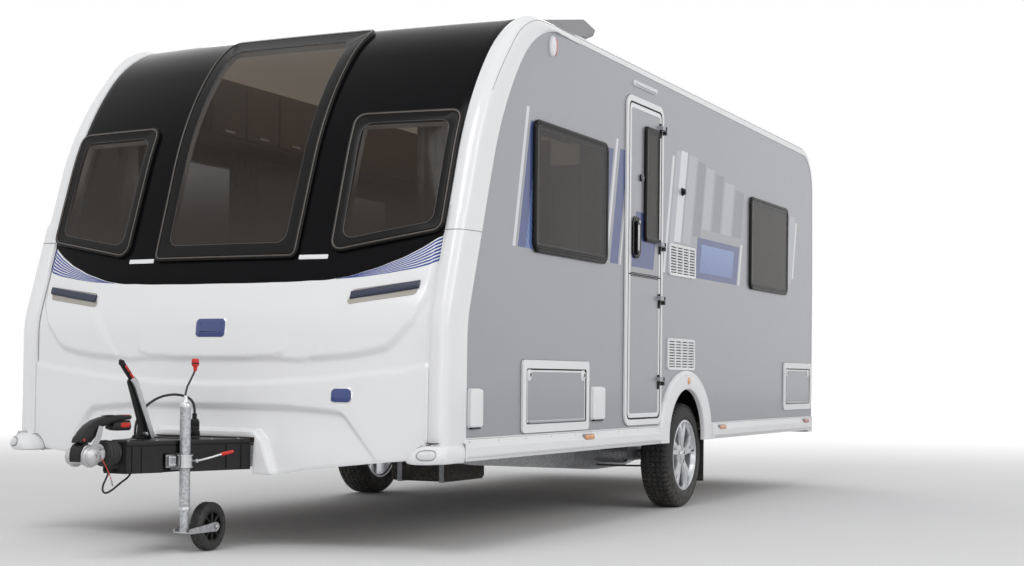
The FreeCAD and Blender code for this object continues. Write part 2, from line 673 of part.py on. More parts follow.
def drawbar_cover():
    """The black moulded cover over the front of the drawbar."""
    low, high = DRAWBAR_Z
    under = low - 8
    front = COVER_FRONT_Y
    plan = [(-62, front), (62, front), (272, -2780), (-272, -2780)]
    wire = Part.makePolygon([V(x, y, under) for x, y in plan] + [V(*plan[0], under)])
    cover = Part.Face(wire).extrude(V(0, 0, COVER_TOP - under))
    inside = [(-59, front + 4), (59, front + 4), (269, -2779), (-269, -2779)]
    wire = Part.makePolygon([V(x, y, under - 1) for x, y in inside] + [V(*inside[0], under - 1)])
    hollow = Part.Face(wire).extrude(V(0, 0, high + 2 - under))
    cover = cover.cut(hollow).cut(rod((0, front - 9, SHAFT_Z), (0, DRAWBAR_FRONT_Y + 1, SHAFT_Z), 25.3))
    cover = cover.cut(rod((JOCKEY_X, JOCKEY_Y, under - 1), (JOCKEY_X, JOCKEY_Y, COVER_TOP + 1), 26))
    slot = box(110, 300, JOCKEY_Y - 95, JOCKEY_Y + 45, under - 1, 450)
    # The gland that the upper lead leaves by, and the hook that the lower lead leaves by.
    gland = rod((*LEAD_AT, COVER_TOP), (*LEAD_AT, COVER_TOP + 14), 13)
    hook = box(-8, 8, front - 50, front, 372, 384)
    return joined([cover.cut(slot), gland, hook])


def underfloor_tank():
    tank = box(-60, 306, -850, -350, 202, FLOOR_BOTTOM)
    return tank.makeFillet(24, [e for e in tank.Edges if e.CenterOfMass.z < 470])


# ---------------------------------------------------------------- coupling and hitch
def coupling():
    """Stabiliser head with its ball socket, handle, gaiter and the overrun shaft."""
    shaft = rod((0, -3560, SHAFT_Z), (0, DRAWBAR_FRONT_Y, SHAFT_Z), 25)
    save("coupling_shaft", shaft)
    hood = rod((0, BALL_Y, 400), (0, BALL_Y, 478), 44)
    nose = prism([(FRONT_Y, 418, 12), (-3600, 408, 0), (-3535, 430, 8), (-3535, 482, 8),
                  (-3590, 500, 30), (-3650, 500, 30), (FRONT_Y, 470, 12)], -32, 32)
    pads = joined([rod((-62, BALL_Y, BALL_Z), (62, BALL_Y, BALL_Z), 45),
                   rod((-74, BALL_Y, BALL_Z), (74, BALL_Y, BALL_Z), 30)])
    eye = rod((30, -3572, 446), (52, -3572, 446), 6)
    head = joined([hood, nose, pads, eye])
    socket = rod((0, BALL_Y, 380), (0, BALL_Y, BALL_Z), BALL_R)
    head = head.cut(socket).cut(Part.makeSphere(BALL_R, V(0, BALL_Y, BALL_Z))).cut(shaft)
    save("coupling_head", head)
    handle = prism([(-3686, 506, 0), (-3640, 548, 50), (-3530, 592, 80), (-3325, 622, 8),
                    (-3325, 600, 6), (-3408, 590, 8), (-3400, 556, 8), (-3480, 530, 20),
                    (-3600, 506, 0)], -28, 28)
    save("coupling_handle", handle)
    gaiter = [rod((0, -3530, SHAFT_Z), (0, COVER_FRONT_Y - 0.5, SHAFT_Z), 46)]
    for i in range(GAITER_RIBS):
        y = -3524 + i * 25
        gaiter.append(rod((0, y, SHAFT_Z), (0, y + 14, SHAFT_Z), 60))
    bore = rod((0, -3540, SHAFT_Z), (0, -3400, SHAFT_Z), 25.2)
    save("coupling_gaiter", joined(gaiter).cut(bore))


GAITER_RIBS = 4


# ---------------------------------------------------------------- leads at the hitch
UPPER_LEAD_R = 6.0
LOWER_LEAD_R = 4.5
BREAKAWAY_R = 2.0
# The upper lead arches from its gland to the parked plug: distance along, height.
UPPER_LEAD_ARCH = [(0, 520), (0, 578), (36, 645), (100, 694), (170, 710), (222, 702),
                   (254, 684), (268, 655), (268, 622)]
UPPER_LEAD_WAY = (0.794, 0.608)            # its direction in plan
# The lower lead hangs in a loop under the gaiter: x, y, z.
LOWER_LEAD = [(0, -3466, 372), (-1, -3486, 342), (0, -3508, 313), (1, -3508, 290),
              (2, -3486, 281), (3, -3440, 296), (3, -3384, 325), (1, -3330, 344),
              (0, -3304, 372)]
# The breakaway cable, from the eye on the head down to its clip on the lower lead.
BREAKAWAY = [(44, -3572, 439), (37, -3520, 392), (14, -3468, 343)]
BREAKAWAY_CLIP_END = (-4, -3436, 312)


def cable(name, points, radius):
    """A round cable along straight runs joined by tangent arcs."""
    corners = [V(*p) for p in points]
    path = []
    at = corners[0]
    radii = []
    for before, here, after in zip(corners, corners[1:], corners[2:]):
        back = before - here
        on = after - here
        reach = 0.45 * min(back.Length, on.Length)
        back.normalize()
        on.normalize()
        half_turn = (math.pi - back.getAngle(on)) / 2
        bend = reach / math.tan(half_turn)
        radii.append(round(bend, 1))
        middle = here + (back + on).normalize() * (bend / math.cos(half_turn) - bend)
        path.append(Part.makeLine(at, here + back * reach))
        path.append(Part.Arc(here + back * reach, middle, here + on * reach).toShape())
        at = here + on * reach
    path.append(Part.makeLine(at, corners[-1]))
    spine = Part.Wire(path)
    ring_edge = Part.makeCircle(radius, corners[0], corners[1] - corners[0])
    solid = spine.makePipeShell([Part.Wire(ring_edge)], True, False)
    share = solid.Volume / (math.pi * radius ** 2 * spine.Length)
    print(name, "length", round(spine.Length, 1), "bend radii", radii, "volume share", round(share, 4))
    save(name, solid)


def leads():
    way_x, way_y = UPPER_LEAD_WAY
    upper = [(LEAD_AT[0] + way_x * s, LEAD_AT[1] + way_y * s, z) for s, z in UPPER_LEAD_ARCH]
    cable("lead_upper", upper, UPPER_LEAD_R)
    x, y, z = upper[-1]
    plug = [rod((x, y, z - 26), (x, y, z), 11), rod((x, y, 540), (x, y, z - 26), 20),
            rod((x, y, COVER_TOP), (x, y, 540), 25)]
    save("lead_plug", joined(plug))
    cable("lead_lower", LOWER_LEAD, LOWER_LEAD_R)
    cable("breakaway_cable", BREAKAWAY, BREAKAWAY_R)
    save("breakaway_clip", rod(BREAKAWAY[-1], BREAKAWAY_CLIP_END, 3.5))


def handbrake():
    """The parking brake lever, a cranked bar with a grip."""
    return prism([(-3245, COVER_TOP, 4), (-3118, COVER_TOP, 4), (-3270, 762, 30), (-3372, 868, 6),
                  (-3396, 854, 6), (-3302, 762, 10)], -36, -6)


def jockey():
    top = 667.0
    centre = (JOCKEY_X, JOCKEY_Y)
    outer = tube((*centre, 192), (*centre, top - 12), 24, 20.5)
    cap = rod((*centre, top - 12), (*centre, top), 24)
    save("jockey_outer_tube", joined([outer, cap]))
    inner = tube((*centre, 112), (*centre, 560), 19.5, 15)
    save("jockey_inner_tube", inner)
    shaft = rod((*centre, top), (*centre, 728), 7)
    arm = rod((JOCKEY_X, JOCKEY_Y, 724), (JOCKEY_X + 8, JOCKEY_Y + 60, 800), 6)
    post = rod((JOCKEY_X + 8, JOCKEY_Y + 60, 796), (JOCKEY_X + 8, JOCKEY_Y + 60, 838), 6)
    knob = rod((JOCKEY_X + 8, JOCKEY_Y + 60, 826), (JOCKEY_X + 8, JOCKEY_Y + 60, 872), 17)
    save("jockey_crank", joined([shaft, arm, post, knob]))
    # Clamp: a split collar on a plate bolted to the drawbar, with its clamping lever.
    collar = tube((*centre, 380), (*centre, 448), 34, 24.2)
    plate = box(127, JOCKEY_X - 25, JOCKEY_Y - 85, JOCKEY_Y + 38, 384, 444)
    bolt = rod((JOCKEY_X + 28, JOCKEY_Y, 414), (JOCKEY_X + 60, JOCKEY_Y, 414), 9)
    handle = rod((JOCKEY_X + 52, JOCKEY_Y, 414), (JOCKEY_X + 113, JOCKEY_Y + 215, 452), 7)
    save("jockey_clamp", joined([collar, plate, bolt, handle]))
    # Fork: a turning collar under the inner tube and one trailing arm each side of the wheel.
    z = JOCKEY_WHEEL_R
    wheel_y = JOCKEY_Y + JOCKEY_TRAIL
    yoke = rod((*centre, 92), (*centre, 111.5), 22)
    arms = []
    for x in (JOCKEY_X - 46, JOCKEY_X + 40):
        arms.append(prism([(JOCKEY_Y - 18, 90, 8), (wheel_y + 22, 88, 20), (wheel_y + 22, 132, 20),
                           (JOCKEY_Y - 18, 111.5, 8)], x, x + 6))
    bridge = box(JOCKEY_X - 46, JOCKEY_X + 46, JOCKEY_Y - 18, JOCKEY_Y + 18, 92, 98)
    pin = rod((JOCKEY_X - 52, wheel_y, z), (JOCKEY_X + 52, wheel_y, z), 8)
    save("jockey_fork", joined([yoke, bridge, pin] + arms))
    tread = rod((JOCKEY_X - 31, wheel_y, z), (JOCKEY_X + 31, wheel_y, z), JOCKEY_WHEEL_R)
    tread = tread.makeFillet(16, [e for e in tread.Edges if e.Length > 500 and
                                  abs(e.CenterOfMass.x - JOCKEY_X) > 30])
    for side in BOTH_SIDES:
        dish = rod((JOCKEY_X + side * 20, wheel_y, z), (JOCKEY_X + side * 40, wheel_y, z), 66)
        tread = tread.cut(dish)
    hub = rod((JOCKEY_X - 36, wheel_y, z), (JOCKEY_X + 36, wheel_y, z), 20)
    bore = rod((JOCKEY_X - 60, wheel_y, z), (JOCKEY_X + 60, wheel_y, z), 8.05)
    save("jockey_wheel", joined([tread, hub]).cut(bore))


# ---------------------------------------------------------------- axle and wheels
def axle():
    tube_y, beam_z = BEAM_AT
    beam = tube((-850, tube_y, beam_z), (850, tube_y, beam_z), BEAM_R, BEAM_R - 8)
    parts = [beam]
    for side in BOTH_SIDES:
        x = 850 * side
        swing = prism([(tube_y - 50, 290, 40), (AXLE_Y + 45, 285, 40), (AXLE_Y + 45, 365, 40),
                       (tube_y - 50, 380, 40)], x - 28, x + 28)
        stub = rod((x, AXLE_Y, TYRE_R), (1125 * side, AXLE_Y, TYRE_R), 24)
        drum = rod((945 * side, AXLE_Y, TYRE_R), (1012 * side, AXLE_Y, TYRE_R), 120)
        bracket = box(min(600 * side, 686 * side), max(600 * side, 686 * side),
                      tube_y - 60, tube_y + 60, 330, 420)
        parts.extend([swing, stub, drum, bracket])
    save("axle", joined(parts))


def road_wheel():
    """Tyre and five-spoke alloy for the door side."""
    half = TYRE_WIDTH / 2
    tyre = [(-half, BEAD_R + 22, 14), (-half + 12, BEAD_R, 0), (half - 12, BEAD_R, 0),
            (half, BEAD_R + 22, 14), (half + 4, 262, 60), (half - 22, TYRE_R, 34),
            (-half + 22, TYRE_R, 34), (-half - 4, 262, 60)]
    wire = outline(tyre)
    face = Part.Face(wire)
    face.rotate(V(0, 0, 0), Z_AXIS, -90)
    face.translate(V(TYRE_MID_X, 0, 0))
    solid = face.revolve(V(TYRE_MID_X, 0, 0), X_AXIS, 360)
    solid.translate(V(0, AXLE_Y, TYRE_R))
    centre = V(0, AXLE_Y, TYRE_R)

    def ring_x(x0, x1, outer, inner):
        return tube((TYRE_MID_X + x0, centre.y, centre.z), (TYRE_MID_X + x1, centre.y, centre.z),
                    outer, inner)

    barrel = ring_x(-half + 6, half - 6, BEAD_R, BEAD_R - 12)
    lip = ring_x(half - 12, half - 2, RIM_R + 3, BEAD_R - 14)
    hub = ring_x(40, 74, 74, 24.3)
    spokes = []
    for i in range(5):
        for offset in (-9, 9):
            bar = box(TYRE_MID_X + 44, TYRE_MID_X + 78, -13, 13, 50, BEAD_R - 6)
            bar.rotate(V(0, 0, 0), X_AXIS, 72 * i + offset)
            bar.translate(centre)
            spokes.append(bar)
    rim = joined([barrel, lip, hub] + spokes)
    cap = rod((TYRE_MID_X + 62, centre.y, centre.z), (TYRE_MID_X + 80, centre.y, centre.z), 30)
    return solid.cut(lip), rim.fuse(cap)


def wheels():
    tyre, rim = road_wheel()
    save("tyre_nearside", tyre)
    save("tyre_offside", mirrored(tyre))
    save("rim_nearside", rim)
    save("rim_offside", mirrored(rim))


# Corner steadies: name, side, y of the pivot, direction in which the leg lies.
STEADIES = [("front_nearside", 1, -1430, -1), ("front_offside", -1, -1430, -1),
            ("rear_nearside", 1, 2720, 1), ("rear_offside", -1, 2720, 1)]
STEADY_X = 935.0
STEADY_Z = 416.0
STEADY_LEG = 520.0


def steadies():
    """Corner legs, wound up flat under the floor."""
    for name, side, y, way in STEADIES:
        x = STEADY_X * side
        far = y + way * STEADY_LEG
        low_y, high_y = min(y, far), max(y, far)
        leg = box(x - 26, x + 26, low_y, high_y, 400, 428)
        leg = leg.cut(box(x - 22, x + 22, low_y - 1, high_y + 1, 404, 450))
        eye = rod((x - 26, y, STEADY_Z), (x + 26, y, STEADY_Z), 15)
        foot = box(x - 45, x + 45, far - 45, far + 45, 388, 400)
        bolt_hole = rod((x - 80, y, STEADY_Z), (x + 80, y, STEADY_Z), 6.3)
        save("steady_" + name, joined([leg, eye, foot]).cut(bolt_hole))


# ---------------------------------------------------------------- interior seen through glass
def cabinet(x0, x1, y0, y1, z0, z1, open_side):
    """A board box with one side left off: the bottom, or the side against the wall."""
    board = 18
    inside = {
        "bottom": (x0 + board, x1 - board, y0 + board, y1 - board, z0 - 1, z1 - board),
        "low_x": (x0 - 1, x1 - board, y0 + board, y1 - board, z0 + board, z1 - board),
        "high_x": (x0 + board, x1 + 1, y0 + board, y1 - board, z0 + board, z1 - board),
    }[open_side]
    return box(x0, x1, y0, y1, z0, z1).cut(box(*inside))


BENCH_CUSHION_X = 565.0    # inner edge of the seat cushions


def interior():
    wall_x = HALF_WIDTH - WALL - 2
    low = FLOOR_TOP
    bench = cabinet(560, wall_x, -2180, -520, low, 900, "bottom")
    chest = cabinet(-330, 330, -2300, -1960, low, 1180, "bottom")
    kitchen = cabinet(-wall_x, -640, -440, 1500, low, 1400, "bottom")
    kitchen = kitchen.cut(box(-1300, -900, 270, 1080, 400, 770))
    fridge = cabinet(640, wall_x, 270, 840, low + 230, 2100, "high_x")
    lockers = [cabinet(860, wall_x, -1560, -460, 2140, 2480, "high_x"),
               cabinet(-wall_x, -860, -1560, 1500, 2140, 2480, "low_x")]
    # The partition's two halves leave the way through to the washroom open.
    partition = [box(-wall_x, -250, 1800, 1830, low, 2520), box(350, wall_x, 1800, 1830, low, 2520)]
    units = [both(bench), chest, kitchen, fridge] + partition + lockers
    save("furniture", Part.makeCompound(units))
    # A seat and a back cushion on each bench.
    seat = box(BENCH_CUSHION_X, wall_x, -2170, -530, 900.5, 1020)
    back = box(wall_x - 100, wall_x, -2170, -530, 1020.5, 1370)
    save("seat_cushions", Part.makeCompound([both(seat), both(back)]))


# ---------------------------------------------------------------- build every node
def main():
    os.makedirs(OUT, exist_ok=True)
    front_panels()
    front_window_panes()
    edging = roof_and_rear()
    save("roof_edge_mouldings", both(edging))
    save("front_corner_mouldings", both(corner_moulding()))
    side_walls()
    floor_and_wheel_boxes()
    side_and_rear_windows()
    door()
    hatches()
    wall_fittings()
    exterior_lamps()
    side_trims()
    save("front_pods", both(front_pod()))
    save("rear_bumper", rear_bumper())
    roof_fittings()
    chassis()
    save("drawbar_cover", drawbar_cover())
    save("underfloor_tank", underfloor_tank())
    coupling()
    save("handbrake_lever", handbrake())
    leads()
    jockey()
    axle()
    wheels()
    steadies()
    interior()


main()
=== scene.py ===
"""A touring caravan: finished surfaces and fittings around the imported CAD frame.

Lengths are metres, +Z is up, the drawbar points along -Y and the door is on the +X side.
"""

import json
import math

import bmesh
import bpy
import numpy as np
from mathutils import Matrix, Vector
from mathutils.geometry import delaunay_2d_cdt

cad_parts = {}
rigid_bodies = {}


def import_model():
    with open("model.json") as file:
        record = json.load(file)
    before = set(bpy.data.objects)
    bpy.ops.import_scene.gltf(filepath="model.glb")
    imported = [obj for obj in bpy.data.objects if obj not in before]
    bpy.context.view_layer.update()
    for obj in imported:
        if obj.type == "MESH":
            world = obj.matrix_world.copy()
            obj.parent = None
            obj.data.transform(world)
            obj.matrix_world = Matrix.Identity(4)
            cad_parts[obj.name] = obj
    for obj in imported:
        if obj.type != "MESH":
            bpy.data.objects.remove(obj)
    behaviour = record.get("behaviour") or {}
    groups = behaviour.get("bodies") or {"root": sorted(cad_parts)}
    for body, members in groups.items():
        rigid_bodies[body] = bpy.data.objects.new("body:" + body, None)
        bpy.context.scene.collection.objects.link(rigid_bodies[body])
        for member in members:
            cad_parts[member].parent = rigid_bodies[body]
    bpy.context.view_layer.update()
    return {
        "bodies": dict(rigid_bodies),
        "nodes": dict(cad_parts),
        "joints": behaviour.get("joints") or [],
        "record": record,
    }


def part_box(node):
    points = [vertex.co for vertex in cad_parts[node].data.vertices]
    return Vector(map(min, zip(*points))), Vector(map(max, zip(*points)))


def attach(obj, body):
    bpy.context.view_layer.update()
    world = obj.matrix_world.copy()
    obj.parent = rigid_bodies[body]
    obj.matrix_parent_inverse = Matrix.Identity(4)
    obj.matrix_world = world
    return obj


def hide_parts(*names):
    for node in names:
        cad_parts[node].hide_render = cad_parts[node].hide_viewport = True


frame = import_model()
RECORD = frame["record"]
NODES = frame["nodes"]

bl_info = {
    "name": "Touring caravan",
    "version": (1, 0, 0),
    "blender": (4, 5, 0),
    "location": "View3D > Sidebar > Caravan",
    "description": "Builds the bodywork, glazing, running gear and hitch of a touring caravan",
    "category": "Object",
}

X_AXIS = (1, 0, 0)
Y_AXIS = (0, 1, 0)
Z_AXIS = (0, 0, 1)
BOTH_SIDES = (1, -1)
SIDES = ((1, "nearside"), (-1, "offside"))
WALL_X = 1.2                   # outer face of the side walls
SKIN = 0.006                   # depth of the walls' paint, before the lining
AXLE_X, *AXLE = RECORD["behaviour"]["joints"][0]["pos_m"]      # middle of a road wheel
REAR_SKIN_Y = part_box("rear_panel")[1].y


# ------------------------------------------------------------------ shapes
class Shape:
    """Vertices and faces gathered for one piece, each face with its place in the material list."""

    def __init__(self):
        self.verts = []
        self.faces = []
        self.marks = []

    def add(self, verts, faces, mark=0):
        """Adds vertices and the faces between them."""
        start = len(self.verts)
        self.verts.extend(tuple(v) for v in verts)
        self.faces.extend(tuple(start + i for i in face) for face in faces)
        self.marks.extend([mark] * len(faces))
        return self

    def rings(self, rings, mark=0, closed=False):
        """Joins rings of equal length with quads. closed also joins the last ring to the first."""
        count = len(rings[0])
        verts = [v for ring in rings for v in ring]
        faces = []
        last = len(rings) if closed else len(rings) - 1
        for a in range(last):
            b = (a + 1) % len(rings)
            for i in range(count):
                j = (i + 1) % count
                faces.append((a * count + i, a * count + j, b * count + j, b * count + i))
        if not closed:
            faces.append(tuple(reversed(range(count))))
            faces.append(tuple((len(rings) - 1) * count + i for i in range(count)))
        return self.add(verts, faces, mark)

    def slab(self, outline, axis, low, high, mark=0, bevel=0.0, base=0.0):
        """A flat plate: an outline in the two other axes, between low and high along axis."""
        top = [(0.0, high - bevel), (bevel, high)] if bevel else [(0.0, high)]
        return self.stacked(outline, axis, [(0.0, low)] + top, mark, base)

    def lathe(self, profile, centre, axis, segments=32, mark=0, closed=False):
        """Turns (radius, distance along axis) pairs about an axis through centre."""
        side, up = across(axis)
        centre, axis = Vector(centre), Vector(axis).normalized()
        rings = []
        for i in range(segments):
            turn = 2 * math.pi * i / segments
            out = side * math.cos(turn) + up * math.sin(turn)
            rings.append([centre + axis * along + out * radius for radius, along in profile])
        count = len(profile)
        faces = []
        reach = count if closed else count - 1
        for a in range(segments):
            b = (a + 1) % segments
            for i in range(reach):
                j = (i + 1) % count
                faces.append((a * count + i, b * count + i, b * count + j, a * count + j))
        return self.add([v for ring in rings for v in ring], faces, mark)

    def rod(self, start, end, radius, segments=20, mark=0, bevel=0.0, end_radius=None):
        """A round bar with slightly rounded ends."""
        start, end = Vector(start), Vector(end)
        length = (end - start).length
        far = radius if end_radius is None else end_radius
        b = bevel or min(0.0015, radius * 0.3, length * 0.2)
        profile = [(0.0, 0.0), (radius - b, 0.0), (radius, b), (far, length - b), (far - b, length),
            (0.0, length)]
        return self.lathe(profile, start, end - start, segments, mark)

    def sweep(self, path, section, mark=0, closed=False, up=Z_AXIS):
        """Sweeps a closed (side, up) section along a path, keeping its up near the given one."""
        path = [Vector(p) for p in path]
        count = len(path)
        rings = []
        for i, point in enumerate(path):
            before = path[(i - 1) % count] if closed or i else point
            after = path[(i + 1) % count] if closed or i < count - 1 else point
            way = (after - before).normalized()
            level = up[i] if hasattr(up[0], "__len__") else up
            side = way.cross(Vector(level)).normalized()
            over = side.cross(way).normalized()
            widen = 1.0
            if (closed or 0 < i < count - 1) and (point - before).length and (after - point).length:
                turn = (point - before).normalized().dot((after - point).normalized())
                widen = 1 / max(0.5, math.sqrt(max(0.0, (1 + turn) / 2)))
            rings.append([point + side * a * widen + over * b for a, b in section])
        return self.rings(rings, mark, closed=closed)

    def here(self):
        """How much the shape holds so far, for mirrored()."""
        return len(self.verts), len(self.faces)

    def mirrored(self, since=(0, 0), keep=True):
        """Mirrors what was added since here() across the middle, keeping the original or not."""
        first_vert, first_face = since
        verts = [(-x, y, z) for x, y, z in self.verts[first_vert:]]
        faces = [tuple(i - first_vert for i in reversed(face)) for face in self.faces[first_face:]]
        marks = self.marks[first_face:]
        if not keep:
            del self.verts[first_vert:], self.faces[first_face:], self.marks[first_face:]
        self.add(verts, faces)
        self.marks[-len(marks):] = marks
        return self

    def take(self, mesh, mark=0):
        """Adds a finished mesh's faces."""
        return self.add([tuple(v.co) for v in mesh.vertices], [tuple(p.vertices) for p in mesh.polygons],
            mark)

    def strip(self, outer, inner, axis, low, high, mark=0):
        """A flat band between two open lines of as many points."""
        rings = [[on_axis(axis, low, a), on_axis(axis, high, a), on_axis(axis, high, b),
            on_axis(axis, low, b)] for a, b in zip(outer, inner)]
        return self.rings(rings, mark)

    def stacked(self, outline, axis, steps, mark=0, base=0.0, closed=False):
        """A closed body through copies of an outline, given as (inset, level over base)."""
        return self.rings([[on_axis(axis, base + level, p) for p in shrink(outline, inset)]
            for inset, level in steps], mark, closed)

    def ringed(self, outline, axis, steps, mark=0, base=0.0):
        """A closed ring whose section goes round (inset, level over base) pairs."""
        return self.stacked(outline, axis, steps, mark, base, closed=True)

    def mesh(self, name, smooth_under=38.0, tidy=True):
        """A Blender mesh of this shape."""
        mesh = bpy.data.meshes.new(name)
        mesh.from_pydata([tuple(v) for v in self.verts], [], self.faces)
        mesh.polygons.foreach_set("material_index", self.marks)
        shade(mesh, smooth_under, tidy)
        return mesh

    def piece(self, name, body, slot, materials, smooth_under=38.0, replaces=None):
        """Makes the object that carries this shape. materials are names, in the marks' order."""
        mesh = self.mesh(name, smooth_under)
        for material in materials:
            mesh.materials.append(MATERIALS[material])
        return settled(bpy.data.objects.new(name, mesh), body, replaces)


def settled(made, body, replaces=None):
    """Links a finished object, which rides on a CAD body and may stand for a CAD node."""
    bpy.context.scene.collection.objects.link(made)
    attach(made, body)
    if replaces:
        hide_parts(replaces)
    return made


def shade(mesh, smooth_under, tidy=True):
    """Merges doubled points, turns the faces outwards and keeps edges sharp past an angle."""
    work = bmesh.new()
    work.from_mesh(mesh)
    if tidy:
        bmesh.ops.remove_doubles(work, verts=work.verts, dist=0.00002)
        bmesh.ops.dissolve_degenerate(work, edges=work.edges, dist=0.00001)
        bmesh.ops.recalc_face_normals(work, faces=work.faces)
    limit = math.radians(smooth_under)
    for face in work.faces:
        face.smooth = True
    for edge in work.edges:
        edge.smooth = edge.is_manifold and edge.calc_face_angle(0.0) < limit
    work.to_mesh(mesh)
    work.free()
    mesh.update()


def on_axis(axis, level, point):
    """A point from its level along an axis and its two coordinates across it."""
    a, b = point
    return {"x": (level, a, b), "y": (a, level, b), "z": (a, b, level)}[axis]


def across(axis):
    """Two unit directions square to an axis and to each other."""
    axis = Vector(axis).normalized()
    level = Vector(Z_AXIS) if abs(axis.z) < 0.9 else Vector(Y_AXIS)
    side = axis.cross(level).normalized()
    return side, side.cross(axis).normalized()


def rounded(corners, steps=6):
    """The outline through (a, b, radius) corners, with an arc at each corner."""
    points = []
    count = len(corners)
    for i, (a, b, radius) in enumerate(corners):
        here = Vector((a, b))
        if not radius:
            points.append((a, b))
            continue
        before = (Vector(corners[i - 1][:2]) - here).normalized()
        after = (Vector(corners[(i + 1) % count][:2]) - here).normalized()
        half = math.acos(max(-1.0, min(1.0, before.dot(after)))) / 2
        reach = radius / math.tan(half)
        centre = here + (before + after).normalized() * (radius / math.sin(half))
        start = here + before * reach - centre
        end = here + after * reach - centre
        first = math.atan2(start.y, start.x)
        sweep = (math.atan2(end.y, end.x) - first + math.pi) % (2 * math.pi) - math.pi
        for k in range(steps + 1):
            turn = first + sweep * k / steps
            points.append((centre.x + radius * math.cos(turn), centre.y + radius * math.sin(turn)))
    return points


def rectangle(a0, a1, b0, b1, radius=0.0, steps=6):
    """A rectangle between two pairs of limits, with rounded corners if a radius is given."""
    return rounded([(a0, b0, radius), (a1, b0, radius), (a1, b1, radius), (a0, b1, radius)], steps)


def oval(a, b, half_a, half_b, segments=32, power=2.0):
    """A superellipse; power 2 is an ellipse and more is squarer."""
    points = []
    for i in range(segments):
        turn = 2 * math.pi * i / segments
        c, s = math.cos(turn), math.sin(turn)
        points.append((a + half_a * math.copysign(abs(c) ** (2 / power), c),
            b + half_b * math.copysign(abs(s) ** (2 / power), s)))
    return points


def shrink(outline, inset):
    """The outline moved inwards by inset, or outwards by a negative one."""
    if not inset:
        return list(outline)
    area = sum(a[0] * b[1] - b[0] * a[1] for a, b in zip(outline, outline[1:] + outline[:1]))
    side = inset if area > 0 else -inset
    count = len(outline)
    moved = []
    for i, point in enumerate(outline):
        here = Vector(point)
        before = here - Vector(outline[i - 1])
        after = Vector(outline[(i + 1) % count]) - here
        before = (before if before.length > 1e-7 else after).normalized()
        after = (after if after.length > 1e-7 else before).normalized()
        normal = Vector((-before.y - after.y, before.x + after.x))
        normal = normal.normalized() if normal.length > 1e-6 else Vector((-before.y, before.x))
        spread = max(0.4, normal.dot(Vector((-before.y, before.x))))
        moved.append(tuple(here + normal * side / spread))
    return moved


def circle(radius, segments=10):
    """A circle about the origin."""
    return [(radius * math.cos(2 * math.pi * i / segments), radius * math.sin(2 * math.pi * i / segments))
        for i in range(segments)]


# ------------------------------------------------------------------ the curved front
ROOF_Z = 2.616                 # the flat roof behind the crown
# The front's profile at the middle, from its foot over the crown to the flat roof: y, z, radius.
FRONT_PROFILE = [(-2.754, 0.33, 0), (-2.718, 1.06, 0.56), (-2.359, 2.11, 1.6),
                 (-1.92, ROOF_Z, 0.76), (-1.1, ROOF_Z, 0)]
SHARP_CROWN = 0.48             # radius of the crown at the corner mouldings
CORNER_X = 1.13                # the corner moulding starts here
BOW = 0.058                    # the front's setback in plan is BOW * |x| ** BOW_POWER
BOW_POWER = 2.4


def dense_profile(crown=FRONT_PROFILE[3][2]):
    """The front profile as a fine line, and the reach along it at each point."""
    corners = FRONT_PROFILE[:3] + [(*FRONT_PROFILE[3][:2], crown)] + FRONT_PROFILE[4:]
    line = np.array(rounded_open(corners, 40))
    steps = np.hypot(*np.diff(line, axis=0).T)
    return line, np.concatenate([[0.0], np.cumsum(steps)])


def rounded_open(corners, steps):
    """rounded() for a line that isn't closed."""
    far = [(corners[0][0], corners[0][1], 0)] + corners[1:-1] + [(corners[-1][0], corners[-1][1], 0)]
    return rounded(far, steps)


PROFILE_LINE, PROFILE_REACH = dense_profile()
SHARP_LINE, SHARP_REACH = dense_profile(SHARP_CROWN)
ROOF_REACH = float(PROFILE_REACH[-1])


def reach_of(z):
    """Distance up the front's profile to a height."""
    climbing = PROFILE_LINE[:, 1] < ROOF_Z - 0.0001
    return np.interp(z, PROFILE_LINE[climbing, 1], PROFILE_REACH[climbing])


def profile_at(reach):
    """The y and the height at a distance up the front's profile."""
    return [np.interp(reach, PROFILE_REACH, PROFILE_LINE[:, k]) for k in (0, 1)]


def height_of(reach):
    """Height at a distance up the front's profile."""
    return profile_at(reach)[1]


def front_points(x, reach, out=0.0, setback=None, drop=0.0, sharp=0.0):
    """Points on the front's skin, or out from it along its normal. Takes numbers or arrays.

    setback, drop and sharp place the corner mouldings, which don't follow the skin's own bow
    and have a tighter crown.
    """
    x, reach = np.broadcast_arrays(np.asarray(x, float), np.asarray(reach, float))
    far = np.abs(x)
    y, z = profile_at(reach)
    y = y + sharp * (np.interp(reach, SHARP_REACH, SHARP_LINE[:, 0]) - y)
    z = z + sharp * (np.interp(reach, SHARP_REACH, SHARP_LINE[:, 1]) - z)
    step = 0.01
    along_y, along_z = (b - a for a, b in zip(profile_at(reach - step), profile_at(reach + step)))
    if setback is None:
        setback = BOW * far ** BOW_POWER
    slope = BOW * BOW_POWER * far ** (BOW_POWER - 1)
    rise = np.clip((z - 1.9) / 0.716, 0.0, 1.0)
    foot = np.clip((1.06 - z) / 0.73, 0.0, 1.0)
    roof = np.clip((-1.1 - y) / 0.8, 0.0, 1.0)
    normal = np.stack([np.sign(x) * slope * along_z, -along_z, along_y], -1)
    normal /= np.linalg.norm(normal, axis=-1, keepdims=True)
    lean = 0.028 * foot * np.clip(setback / 0.08, 0.0, 1.0)
    points = np.stack([x, y + (setback + lean) * roof, z - drop * rise], -1)
    return points + normal * np.asarray(out, float)[..., None]


